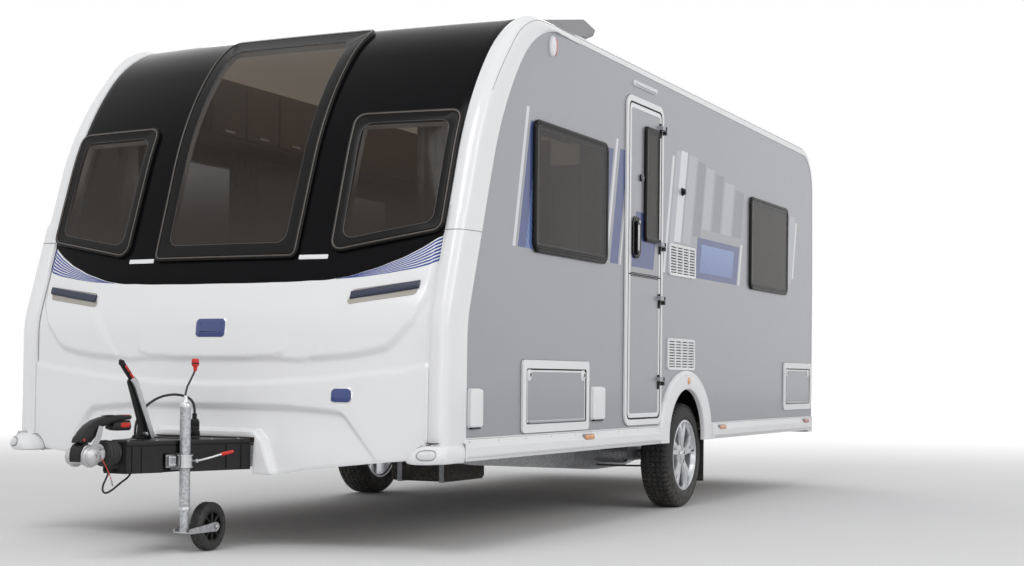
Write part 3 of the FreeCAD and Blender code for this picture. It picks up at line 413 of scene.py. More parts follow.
def inside(points, outline):
    """Which (a, b) points lie inside a closed outline."""
    a, b = points[:, 0], points[:, 1]
    found = np.zeros(len(points), bool)
    for (a0, b0), (a1, b1) in zip(outline, outline[1:] + outline[:1]):
        crosses = (b0 > b) != (b1 > b)
        with np.errstate(divide="ignore", invalid="ignore"):
            cut = a0 + (b - b0) * (a1 - a0) / (b1 - b0)
        found ^= crosses & (a < cut)
    return found


def edge_distance(points, outline):
    """Distance from (a, b) points to a closed outline."""
    best = np.full(len(points), 1e9)
    for start, end in zip(outline, outline[1:] + outline[:1]):
        start, end = np.array(start, float), np.array(end, float)
        run = end - start
        share = np.clip(((points - start) @ run) / max(run @ run, 1e-12), 0, 1)
        best = np.minimum(best, np.linalg.norm(points - start - share[:, None] * run, axis=1))
    return best


def filled_sheet(outline, holes, spacing):
    """Triangles over an outline with holes: its points and faces."""
    low, high = np.min(outline, axis=0), np.max(outline, axis=0)
    a = np.arange(low[0] + spacing * 0.5, high[0], spacing)
    b = np.arange(low[1] + spacing * 0.5, high[1], spacing)
    grid = np.stack(np.meshgrid(a, b), -1).reshape(-1, 2)
    keep = inside(grid, outline)
    for line in [outline] + holes:
        keep &= edge_distance(grid, line) > spacing * 0.45
    for hole in holes:
        keep &= ~inside(grid, hole)
    verts, edges = [], []
    for line in [outline] + holes:
        start = len(verts)
        verts.extend(line)
        edges.extend((start + i, start + (i + 1) % len(line)) for i in range(len(line)))
    verts.extend(map(tuple, grid[keep]))
    verts = [Vector(v) for v in verts]
    result = delaunay_2d_cdt(verts, edges, [], 1, 1e-7)
    points = np.array([tuple(v) for v in result[0]])
    faces = np.array(result[2])
    middle = points[faces].mean(axis=1)
    solid = inside(middle, outline)
    for hole in holes:
        solid &= ~inside(middle, hole)
    return points, faces[solid]


def thick_sheet(shape, points, faces, outer, inner, mark=0):
    """A closed plate from a flat triangulation: outer and inner give each point's two places."""
    count = len(points)
    borders = {}
    for face in faces:
        for a, b in zip(face, np.roll(face, -1)):
            borders[(int(a), int(b))] = True
    rim = [(a, b) for a, b in borders if (b, a) not in borders]
    verts = np.concatenate([outer, inner])
    quads = [(b, a, a + count, b + count) for a, b in rim]
    back = [tuple(int(i) + count for i in reversed(face)) for face in faces]
    front = [tuple(int(i) for i in face) for face in faces]
    return shape.add(verts, front + back + quads, mark)


def subdivided(outline, spacing):
    """The outline with extra points, so that no edge is longer than spacing."""
    points = []
    for (a0, b0), (a1, b1) in zip(outline, outline[1:] + outline[:1]):
        count = max(1, math.ceil(math.hypot(a1 - a0, b1 - b0) / spacing))
        points.extend((a0 + (a1 - a0) * k / count, b0 + (b1 - b0) * k / count) for k in range(count))
    return points


def smooth_step(value, low, high):
    """0 below low and 1 above high, smooth between them."""
    share = np.clip((value - low) / (high - low), 0.0, 1.0)
    return share * share * (3 - 2 * share)


# ------------------------------------------------------------------ material tools
MATERIALS = {}
LINING = (0.5, 0.47, 0.43)


def link(tree, output, socket):
    """Links an output to a socket, and hands the output on."""
    tree.links.new(output, socket)
    return output


def feed(tree, socket, value):
    """Sets a socket to a value, or links it to another node's output."""
    if isinstance(value, bpy.types.NodeSocket):
        tree.links.new(value, socket)
    elif value is not None:
        if hasattr(socket.default_value, "__len__") and len(socket.default_value) == 4:
            value = tuple(value[:3]) + (1.0,)
        socket.default_value = value


def node(tree, kind, *values, **settings):
    """Adds a shader node. values go to its sockets in order, and None leaves one as it is."""
    made = tree.nodes.new("ShaderNode" + kind)
    for name, value in settings.items():
        setattr(made, name, value)
    for socket, value in zip(made.inputs, values):
        feed(tree, socket, value)
    return made


def maths(tree, operation, *values, clamp=False):
    """Adds a maths node and gives its output."""
    return node(tree, "Math", *values, operation=operation, use_clamp=clamp).outputs[0]


def between(tree, value, low, high):
    """0 below low and 1 above high, smooth between them; low may be the larger."""
    made = node(tree, "MapRange", value, low, high, 0.0, 1.0, interpolation_type="SMOOTHSTEP")
    return made.outputs[0]


def mixed(tree, share, first, second):
    """Mixes two colours."""
    made = tree.nodes.new("ShaderNodeMix")
    made.data_type = "RGBA"
    for socket, given in ((made.inputs[0], share), (made.inputs[6], first), (made.inputs[7], second)):
        feed(tree, socket, given)
    return made.outputs[2]


def noise(tree, place, scale, detail=3.0, roughness=0.5):
    """Adds a noise texture and gives its factor."""
    made = node(tree, "TexNoise")
    for name, value in (("Vector", place), ("Scale", scale), ("Detail", detail),
            ("Roughness", roughness)):
        feed(tree, made.inputs[name], value)
    return made.outputs[0]


def object_place(tree):
    """The place of a shaded point, in metres."""
    return node(tree, "TexCoord").outputs["Object"]


def object_xyz(tree):
    """The three coordinates of a shaded point."""
    return node(tree, "SeparateXYZ", object_place(tree)).outputs


def scaled(tree, vector, factor):
    """A vector or a colour times a number."""
    made = node(tree, "VectorMath", vector, operation="SCALE")
    feed(tree, made.inputs["Scale"], factor)
    return made.outputs[0]


def bumped(tree, height, strength, distance=0.001, normal=None):
    """The normal with a relief on it."""
    made = node(tree, "Bump")
    for name, value in (("Strength", strength), ("Distance", distance), ("Height", height),
            ("Normal", normal)):
        feed(tree, made.inputs[name], value)
    return made.outputs[0]


def from_axle(tree):
    """Distance from the line of the road wheels' axle."""
    place = object_xyz(tree)
    dy = maths(tree, "SUBTRACT", place["Y"], AXLE[0])
    dz = maths(tree, "SUBTRACT", place["Z"], AXLE[1])
    return maths(tree, "SQRT", maths(tree, "ADD", maths(tree, "MULTIPLY", dy, dy),
        maths(tree, "MULTIPLY", dz, dz)))


def new_group(name, inputs, outputs):
    """A shader node group. inputs are (name, kind, default), outputs are (name, kind)."""
    tree = bpy.data.node_groups.new(name, "ShaderNodeTree")
    kinds = {"value": "NodeSocketFloat", "colour": "NodeSocketColor", "vector": "NodeSocketVector"}
    for label, kind, default in inputs:
        socket = tree.interface.new_socket(label, in_out="INPUT", socket_type=kinds[kind])
        if default is not None:
            socket.default_value = tuple(default) + (1.0,) if kind == "colour" else default
    for label, kind in outputs:
        tree.interface.new_socket(label, in_out="OUTPUT", socket_type=kinds[kind])
    return tree, tree.nodes.new("NodeGroupInput").outputs, tree.nodes.new("NodeGroupOutput").inputs


def use_group(tree, group, **values):
    """Places a node group. An input's spaces are underscores here."""
    made = tree.nodes.new("ShaderNodeGroup")
    made.node_tree = bpy.data.node_groups[group]
    for name, value in values.items():
        feed(tree, made.inputs[name.replace("_", " ")], value)
    return made.outputs


def make_surface_group():
    """Tone that drifts over a surface, fine grain in its relief, and dust towards the ground."""
    tree, given, result = new_group("surface", [("Colour", "colour", (0.8, 0.8, 0.8)),
        ("Drift", "value", 0.04), ("Drift Scale", "value", 2.0), ("Roughness", "value", 0.4),
        ("Uneven", "value", 0.06), ("Grain Scale", "value", 400.0), ("Grain Height", "value", 0.1),
        ("Dust", "value", 0.1), ("Dust Top", "value", 0.6),],
        [("Colour", "colour"), ("Roughness", "value"), ("Normal", "vector")])
    place = object_place(tree)
    drift = noise(tree, place, given["Drift Scale"], 4.0)
    tone = maths(tree, "MULTIPLY_ADD", maths(tree, "SUBTRACT", drift, 0.5),
        maths(tree, "MULTIPLY", given["Drift"], 2.0), 1.0)
    shaded = scaled(tree, given["Colour"], tone)
    height = node(tree, "SeparateXYZ", place).outputs["Z"]
    low = between(tree, height, given["Dust Top"], 0.0)
    specks = between(tree, noise(tree, place, 38.0, 6.0, 0.7), 0.35, 0.75)
    dust = maths(tree, "MULTIPLY", maths(tree, "MULTIPLY", low, specks), given["Dust"], clamp=True)
    link(tree, mixed(tree, dust, shaded, (0.36, 0.33, 0.29)), result["Colour"])
    uneven = maths(tree, "MULTIPLY_ADD", maths(tree, "SUBTRACT", noise(tree, place, 9.0, 5.0), 0.5),
        maths(tree, "MULTIPLY", given["Uneven"], 2.0), given["Roughness"])
    link(tree, maths(tree, "MULTIPLY_ADD", dust, 0.4, uneven, clamp=True), result["Roughness"])
    grain = noise(tree, place, given["Grain Scale"], 2.0)
    link(tree, bumped(tree, grain, given["Grain Height"]), result["Normal"])


def make_bar_group():
    """A slanted bar on a wall: 1 inside it, 0 outside, with straight and level ends."""
    tree, given, result = new_group("slanted_bar", [("Along", "value", 0.0), ("Height", "value", 0.0),
        ("Middle", "value", 0.0), ("Half Width", "value", 0.1), ("Slant", "value", 0.3),
        ("Low", "value", 1.4), ("High", "value", 2.0)], [("Mask", "value")])
    lift = maths(tree, "SUBTRACT", given["Height"], given["Low"])
    shifted = maths(tree, "SUBTRACT", given["Along"], maths(tree, "MULTIPLY", lift, given["Slant"]))
    off = maths(tree, "SUBTRACT", shifted, given["Middle"])
    within = maths(tree, "LESS_THAN", maths(tree, "ABSOLUTE", off), given["Half Width"])
    above = maths(tree, "GREATER_THAN", given["Height"], given["Low"])
    below = maths(tree, "LESS_THAN", given["Height"], given["High"])
    both = maths(tree, "MULTIPLY", above, below)
    link(tree, maths(tree, "MULTIPLY", within, both), result["Mask"])


def new_material(name, colour, roughness, metallic=0.0, drift=0.04, drift_scale=2.0, uneven=0.06,
        grain=400.0, grain_height=0.1, dust=0.1, dust_top=0.6, **constants):
    """A Principled material whose colour, roughness and normal come from the surface group."""
    material = bpy.data.materials.new(name)
    material.use_nodes = True
    tree = material.node_tree
    shader = tree.nodes["Principled BSDF"]
    surface = use_group(tree, "surface", Colour=colour, Drift=drift, Drift_Scale=drift_scale,
        Roughness=roughness, Uneven=uneven, Grain_Scale=grain, Grain_Height=grain_height, Dust=dust,
        Dust_Top=dust_top)
    link(tree, surface["Colour"], shader.inputs["Base Color"])
    link(tree, surface["Roughness"], shader.inputs["Roughness"])
    link(tree, surface["Normal"], shader.inputs["Normal"])
    shader.inputs["Metallic"].default_value = metallic
    for socket, value in constants.items():
        feed(tree, shader.inputs[socket.replace("_", " ")], value)
    MATERIALS[name] = material
    return tree, shader, surface


def make_plain_materials(colours):
    """Finishes that need no more than the surface group with their own values."""
    white, black = colours.moulding_white, (0.005, 0.005, 0.006)
    new_material("gelcoat_white", white, 0.2, drift=0.012, grain=90.0, grain_height=0.03, dust=0.12,
        Coat_Weight=0.35, Coat_Roughness=0.06)
    new_material("gelcoat_black", black, 0.14, drift=0.2, grain=60.0, grain_height=0.02, dust=0.0,
        Specular_IOR_Level=0.06)
    new_material("plastic_white", white, 0.34, drift=0.02, grain=700.0, grain_height=0.12, dust=0.15)
    new_material("plastic_grey", (0.3, 0.3, 0.31), 0.5, grain=600.0, grain_height=0.2, dust=0.2)
    new_material("plastic_black", (0.009, 0.009, 0.01), 0.44, drift=0.15, grain=900.0, grain_height=0.3,
        dust=0.1, Specular_IOR_Level=0.32)
    new_material("frame_black", (0.006, 0.0055, 0.0055), 0.22, drift=0.15, grain=500.0, grain_height=0.04,
        dust=0.02, Specular_IOR_Level=0.16)
    new_material("rim_bronze", (0.075, 0.064, 0.056), 0.28, drift=0.12, grain=500.0, grain_height=0.04,
        dust=0.0)
    new_material("rubber_black", (0.018, 0.018, 0.019), 0.62, drift=0.2, grain=350.0, grain_height=0.3,
        dust=0.15)
    new_material("handle_blue", (0.02, 0.028, 0.06), 0.32, drift=0.08, grain=800.0, grain_height=0.12,
        dust=0.0)
    # Painted shade: the handle pockets' beige-grey stands in for the shade inside them.
    new_material("recess_beige", (0.42, 0.4, 0.36), 0.6, drift=0.06, grain=300.0, grain_height=0.5,
        dust=0.0)
    new_material("grip_red", (0.62, 0.022, 0.01), 0.36, drift=0.06, grain=600.0, grain_height=0.15,
        dust=0.0)
    new_material("badge_blue", colours.badge_blue, 0.16, drift=0.08, grain=60.0, grain_height=0.02,
        dust=0.0, Coat_Weight=0.8, Coat_Roughness=0.04)
    new_material("stripe_blue", colours.stripe_blue, 0.28, drift=0.05, grain=120.0, grain_height=0.03,
        dust=0.0)
    new_material("chrome", (0.72, 0.72, 0.74), 0.14, metallic=1.0, drift=0.05, grain=200.0,
        grain_height=0.03, dust=0.0)
    new_material("sealant_grey", (0.16, 0.16, 0.165), 0.6, grain=500.0, grain_height=0.2, dust=0.1)
    new_material("zinc_bright", (0.62, 0.63, 0.64), 0.34, metallic=1.0, drift=0.12, drift_scale=30.0,
        uneven=0.14, grain=500.0, grain_height=0.15, dust=0.1)
    new_material("cast_silver", (0.55, 0.55, 0.56), 0.42, metallic=0.85, drift=0.1, drift_scale=22.0,
        uneven=0.1, grain=650.0, grain_height=0.5, dust=0.1)
    new_material("steel_dark", (0.045, 0.045, 0.047), 0.5, metallic=0.5, drift=0.2, grain=400.0,
        grain_height=0.3, dust=0.4)
    new_material("cable_black", (0.014, 0.014, 0.015), 0.4, drift=0.1, grain=900.0, grain_height=0.2,
        dust=0.1)
    new_material("cable_red", (0.7, 0.035, 0.012), 0.34, drift=0.06, grain=900.0, grain_height=0.2,
        dust=0.0)
    new_material("wall_lining", LINING, 0.6, drift=0.05, grain=300.0, grain_height=0.2, dust=0.0)
    # Painted light: the ceiling lining glows faintly, standing in for light from concealed lamps inside.
    new_material("ceiling_lining", (0.62, 0.57, 0.52), 0.6, drift=0.05, grain=300.0, grain_height=0.2,
        dust=0.0, Emission_Color=(1.0, 0.86, 0.7), Emission_Strength=0.17)
    new_material("worktop", (0.34, 0.32, 0.31), 0.3, drift=0.2, drift_scale=60.0, dust=0.0)
    new_material("floor_vinyl", (0.17, 0.13, 0.1), 0.5, drift=0.2, drift_scale=14.0, dust=0.0)
    new_material("underfloor", (0.055, 0.052, 0.05), 0.7, drift=0.25, drift_scale=8.0, grain=200.0,
        grain_height=0.5, dust=0.5, dust_top=0.55)
    new_material("roof_acrylic", (0.16, 0.15, 0.15), 0.12, drift=0.1, grain=80.0, grain_height=0.03,
        dust=0.0, Coat_Weight=0.5, Coat_Roughness=0.05)


LENS_RIBS = 900.0              # radians of the ribs' wave in each metre


def make_lens(name, colour, painted_glow):
    """A moulded lamp lens with fine upright ribs, and a painted glow that brightens its colour along
    them.
    """
    tree, shader, surface = new_material(name, colour, 0.1, drift=0.05, grain=60.0, grain_height=0.05,
        dust=0.0, Coat_Weight=1.0, Coat_Roughness=0.02)
    place = object_xyz(tree)
    waves = maths(tree, "SINE", maths(tree, "MULTIPLY", maths(tree, "ADD", place["X"], place["Y"]),
        LENS_RIBS))
    link(tree, bumped(tree, waves, 0.5, normal=surface["Normal"]), shader.inputs["Normal"])
    # Painted highlight: the colour brightens towards the glow colour along the ribs' crests.
    deep = mixed(tree, maths(tree, "MULTIPLY_ADD", waves, 0.25, 0.3), surface["Colour"], painted_glow)
    link(tree, deep, shader.inputs["Base Color"])


# Painted shade: glazing that fades is nearly opaque at its foot, where the inside lies in shade.
PAINTED_SHADE_ALPHA = 0.92                 # alpha at the foot of glazing that fades


def make_glazing(name, alpha, colour, fade=None):
    """Tinted acrylic: a glossy skin that lets part of the light straight through.

    fade gives two heights: the tint is nearly opaque below the first, and clears up to the second. This
    is painted shade for the dark lower part of the inside.
    """
    tree, shader, _ = new_material(name, colour, 0.03, drift=0.1, uneven=0.01, grain_height=0.0, dust=0.0)
    shader.inputs["Alpha"].default_value = alpha
    # Painted shade: darker towards the foot, where the inside is in shade behind the glass.
    if fade:
        share = between(tree, object_xyz(tree)["Z"], *fade)
        link(tree, maths(tree, "MULTIPLY_ADD", share, alpha - PAINTED_SHADE_ALPHA, PAINTED_SHADE_ALPHA), shader.inputs["Alpha"])
    shader.inputs["IOR"].default_value = 1.49
    shader.inputs["Specular IOR Level"].default_value = 0.22
    MATERIALS[name].surface_render_method = "DITHERED"


def make_galvanised():
    """Zinc spangle over steel."""
    tree, shader, surface = new_material("galvanised", (0.5, 0.51, 0.53), 0.42, metallic=0.9, drift=0.08,
        drift_scale=6.0, uneven=0.1, grain=420.0, grain_height=0.25, dust=0.25, dust_top=0.5)
    cells = node(tree, "TexVoronoi")
    feed(tree, cells.inputs["Vector"], object_place(tree))
    feed(tree, cells.inputs["Scale"], 95.0)
    tint = node(tree, "SeparateXYZ", cells.outputs["Color"]).outputs["X"]
    spangle = maths(tree, "MULTIPLY_ADD", tint, 0.5, 0.72)
    link(tree, scaled(tree, surface["Colour"], spangle), shader.inputs["Base Color"])
    link(tree, maths(tree, "MULTIPLY_ADD", tint, 0.18, surface["Roughness"]), shader.inputs["Roughness"])


def make_alloy():
    """Painted silver alloy with brake dust towards the hub."""
    tree, shader, surface = new_material("alloy_silver", (0.66, 0.67, 0.69), 0.26, metallic=0.8,
        drift=0.03, uneven=0.05, grain=900.0, grain_height=0.06, dust=0.0, Coat_Weight=0.5,
        Coat_Roughness=0.08)
    dusty = maths(tree, "MULTIPLY", between(tree, from_axle(tree), 0.17, 0.05),
        noise(tree, object_place(tree), 45.0, 5.0))
    link(tree, mixed(tree, maths(tree, "MULTIPLY", dusty, 0.35), surface["Colour"], (0.2, 0.18, 0.16)),
        shader.inputs["Base Color"])


def make_tyre():
    """Tyre rubber with circular lines on its walls."""
    tree, shader, surface = new_material("tyre_rubber", (0.02, 0.02, 0.021), 0.66, drift=0.2,
        drift_scale=9.0, grain=380.0, grain_height=0.35, dust=0.35, dust_top=0.5)
    radius = from_axle(tree)
    lines = maths(tree, "SINE", maths(tree, "MULTIPLY", radius, 1400.0))
    relief = maths(tree, "MULTIPLY", lines, between(tree, radius, 0.3, 0.29))
    link(tree, bumped(tree, relief, 0.35, 0.0006, surface["Normal"]), shader.inputs["Normal"])


BAR_SLANT = 0.22               # how far a bar leans along the wall for each metre up
# Graphics on the side walls: middle, half width, low, high, colour name.
WALL_BARS = [
    (-1.3, 0.56, 1.44, 2.075, "deep"), (-1.3, 0.47, 1.44, 2.03, "mid"),
    (-1.905, 0.016, 1.44, 2.14, "white"), (-0.7, 0.016, 1.44, 2.14, "white"),
    (-0.585, 0.06, 1.44, 2.09, "deep"), (-0.49, 0.01, 1.44, 2.06, "white"),
    (-0.16, 0.18, 1.44, 1.76, "deep"), (0.235, 0.02, 1.44, 2.16, "white"),
    (0.33, 0.045, 1.44, 2.2, "pale"), (0.47, 0.06, 1.64, 2.21, "white"),
    (0.64, 0.075, 1.64, 2.2, "pale"), (0.83, 0.075, 1.7, 2.18, "steel"),
    (1.02, 0.08, 1.76, 2.16, "pale"), (1.22, 0.085, 1.76, 2.14, "steel"),
    (1.44, 0.1, 1.76, 2.11, "pale"), (1.67, 0.1, 1.76, 2.08, "steel"),
    (1.24, 0.44, 1.44, 1.7, "deep"), (1.24, 0.34, 1.48, 1.66, "mid"),
    (1.725, 0.02, 1.44, 1.72, "white"), (2.96, 0.07, 1.52, 2.03, "pale"),
    (3.075, 0.022, 1.56, 1.99, "white"),
]
BAR_COLOURS = {"deep": (0.052, 0.08, 0.235), "mid": (0.095, 0.165, 0.42), "white": (0.7, 0.71, 0.74),
               "pale": (0.42, 0.43, 0.48), "steel": (0.235, 0.245, 0.285)}


def make_side_paint(colours):
    """Metallic paint outside with slanted graphics and fine diagonal lines; lining inside."""
    tree, shader, surface = new_material("side_paint", colours.side_grey, 0.36, metallic=0.35, drift=0.02,
        drift_scale=1.2, uneven=0.03, grain=1500.0, grain_height=0.05, dust=0.2, dust_top=0.7,
        Coat_Weight=0.45, Coat_Roughness=0.1)
    place = object_xyz(tree)
    along, height = place["Y"], place["Z"]
    colour = surface["Colour"]
    fine = maths(tree, "FRACT",
        maths(tree, "MULTIPLY", maths(tree, "ADD", along, maths(tree, "MULTIPLY", height, 0.9)), 26.0))
    hairline = maths(tree, "LESS_THAN", fine, 0.16)
    for middle, half, low, high, paint in WALL_BARS:
        bar = use_group(tree, "slanted_bar", Along=along, Height=height, Middle=middle, Half_Width=half,
            Slant=BAR_SLANT, Low=low, High=high)
        tint = BAR_COLOURS[paint]
        if paint == "mid":
            fade = between(tree, height, low, high)
            lines = maths(tree, "MULTIPLY", hairline, 0.35)
            body = mixed(tree, fade, tint, (0.16, 0.25, 0.52))
            tint = mixed(tree, lines, body, (0.55, 0.62, 0.82))
        elif paint in ("pale", "steel"):
            lighter = tuple(min(1.0, c * 1.5) for c in tint)
            tint = mixed(tree, maths(tree, "MULTIPLY", hairline, 0.5), tint, lighter)
        colour = mixed(tree, bar["Mask"], colour, tint)
    inside_wall = maths(tree, "LESS_THAN", maths(tree, "ABSOLUTE", place["X"]), WALL_X - SKIN)
    link(tree, mixed(tree, inside_wall, colour, LINING), shader.inputs["Base Color"])


def make_wood():
    """Cabinet wood with an upright grain."""
    tree, shader, surface = new_material("cabinet_wood", (0.36, 0.27, 0.19), 0.42, drift=0.08,
        grain=300.0, grain_height=0.2, dust=0.0)
    stretched = node(tree, "Mapping", object_place(tree))
    feed(tree, stretched.inputs["Scale"], (22.0, 22.0, 1.6))
    streaks = noise(tree, stretched.outputs[0], 3.0, 6.0, 0.65)
    link(tree, mixed(tree, maths(tree, "MULTIPLY", streaks, 0.6), surface["Colour"], (0.16, 0.1, 0.06)),
        shader.inputs["Base Color"])


def make_cloth(name, colour, accent, scale):
    """Woven upholstery with a soft blotched pattern."""
    tree, shader, surface = new_material(name, colour, 0.85, drift=0.1, grain=900.0, grain_height=0.6,
        dust=0.0, Sheen_Weight=0.3)
    place = object_place(tree)
    blot = between(tree, noise(tree, place, scale, 3.0), 0.48, 0.6)
    spread = node(tree, "SeparateXYZ", place).outputs
    warp, weft = (maths(tree, "SINE", maths(tree, "MULTIPLY", spread[axis], 1500.0)) for axis in "XZ")
    weave = maths(tree, "MULTIPLY", warp, weft)
    link(tree, bumped(tree, weave, 0.3, 0.0006, surface["Normal"]), shader.inputs["Normal"])
    link(tree, mixed(tree, blot, surface["Colour"], accent), shader.inputs["Base Color"])


def make_materials(colours):
    """Every material and every node group that the pieces use."""
    make_surface_group()
    make_bar_group()
    make_repeat_trees()
    make_pleat_tree()
    make_plain_materials(colours)
    make_lens("lens_amber", (0.75, 0.22, 0.015), (0.95, 0.42, 0.04))
    make_lens("lens_red", (0.42, 0.008, 0.008), (0.75, 0.03, 0.02))
    make_lens("lens_clear", (0.62, 0.63, 0.65), (0.92, 0.93, 0.95))
    # The front windows' tint darkens below 1.4 m as painted shade.
    make_glazing("front_acrylic", 0.3, (0.03, 0.024, 0.02), (1.4, 1.88))
    make_glazing("side_acrylic", 0.62, (0.026, 0.021, 0.019))
    make_galvanised()
    make_alloy()
    make_tyre()
    make_side_paint(colours)
    make_wood()
    make_cloth("seat_cloth", (0.27, 0.25, 0.23), (0.34, 0.32, 0.3), 14.0)
    make_cloth("curtain_cloth", (0.38, 0.35, 0.32), (0.33, 0.3, 0.27), 22.0)


# ------------------------------------------------------------------ geometry nodes
def new_tree(name, inputs):
    """Starts a Geometry Nodes group, with a named input for each setting."""
    tree = bpy.data.node_groups.new(name, "GeometryNodeTree")
    kinds = {"geometry": "NodeSocketGeometry", "count": "NodeSocketInt", "value": "NodeSocketFloat",
        "vector": "NodeSocketVector", "material": "NodeSocketMaterial"}
    for label, kind in [("Geometry", "geometry")] + inputs:
        tree.interface.new_socket(label, in_out="INPUT", socket_type=kinds[kind])
    tree.interface.new_socket("Geometry", in_out="OUTPUT", socket_type="NodeSocketGeometry")
    return tree, tree.nodes.new("NodeGroupInput").outputs, tree.nodes.new("NodeGroupOutput").inputs


def geo(tree, kind, **values):
    """Adds a geometry node. values go to its sockets by name, with underscores for spaces."""
    made = tree.nodes.new(kind)
    for name, value in values.items():
        feed(tree, made.inputs[name.replace("_", " ")], value)
    return made


def finish_tree(tree, given, result, geometry):
    """Ends a Geometry Nodes group: real geometry, with its material set."""
    realized = geo(tree, "GeometryNodeRealizeInstances", Geometry=geometry)
    painted = geo(tree, "GeometryNodeSetMaterial", Geometry=realized.outputs[0],
        Material=given["Material"])
    link(tree, painted.outputs[0], result["Geometry"])


def make_repeat_trees():
    """Two trees: copies in a row, and copies around an axis."""
    tree, given, result = new_tree("repeat_along", [("Count", "count"), ("Step", "vector"),
        ("Material", "material")])
    row = geo(tree, "GeometryNodeMeshLine", Count=given["Count"], Offset=given["Step"])
    copies = geo(tree, "GeometryNodeInstanceOnPoints", Points=row.outputs[0], Instance=given["Geometry"])
    finish_tree(tree, given, result, copies.outputs[0])

    tree, given, result = new_tree("repeat_around", [("Count", "count"), ("Centre", "vector"),
        ("Axis", "vector"), ("Material", "material")])
    row = geo(tree, "GeometryNodeMeshLine", Count=given["Count"], Offset=(0.0, 0.0, 0.0))
    copies = geo(tree, "GeometryNodeInstanceOnPoints", Points=row.outputs[0], Instance=given["Geometry"])
    share = maths(tree, "DIVIDE", 2 * math.pi, given["Count"])
    turn = maths(tree, "MULTIPLY", tree.nodes.new("GeometryNodeInputIndex").outputs[0], share)
    rotation = geo(tree, "FunctionNodeAxisAngleToRotation", Axis=given["Axis"], Angle=turn)
    turned = geo(tree, "GeometryNodeRotateInstances", Instances=copies.outputs[0],
        Rotation=rotation.outputs[0], Pivot_Point=given["Centre"], Local_Space=False)
    finish_tree(tree, given, result, turned.outputs[0])


def run_tree(name, shape, material, **values):
    """Runs a tree on a shape and gives the finished mesh back."""
    mesh = shape.mesh(name + "_unit", tidy=False)
    holder = bpy.data.objects.new(name + "_holder", mesh)
    bpy.context.scene.collection.objects.link(holder)
    modifier = holder.modifiers.new("nodes", "NODES")
    tree = bpy.data.node_groups[name]
    modifier.node_group = tree
    values["Material"] = MATERIALS[material]
    for item in tree.interface.items_tree:
        if item.in_out == "INPUT" and item.name in values:
            modifier[item.identifier] = values[item.name]
    bpy.context.view_layer.update()
    done = bpy.data.meshes.new_from_object(holder.evaluated_get(bpy.context.evaluated_depsgraph_get()))
    holder.modifiers.remove(modifier)
    bpy.data.objects.remove(holder)
    return done


def in_a_row(shape, count, step, material="plastic_white"):
    """A mesh of a shape repeated in a straight row."""
    return run_tree("repeat_along", shape, material, Count=count, Step=step)


def around(shape, count, centre, axis, material="plastic_black"):
    """A mesh of a shape repeated in a circle."""
    return run_tree("repeat_around", shape, material, Count=count, Centre=centre, Axis=axis)


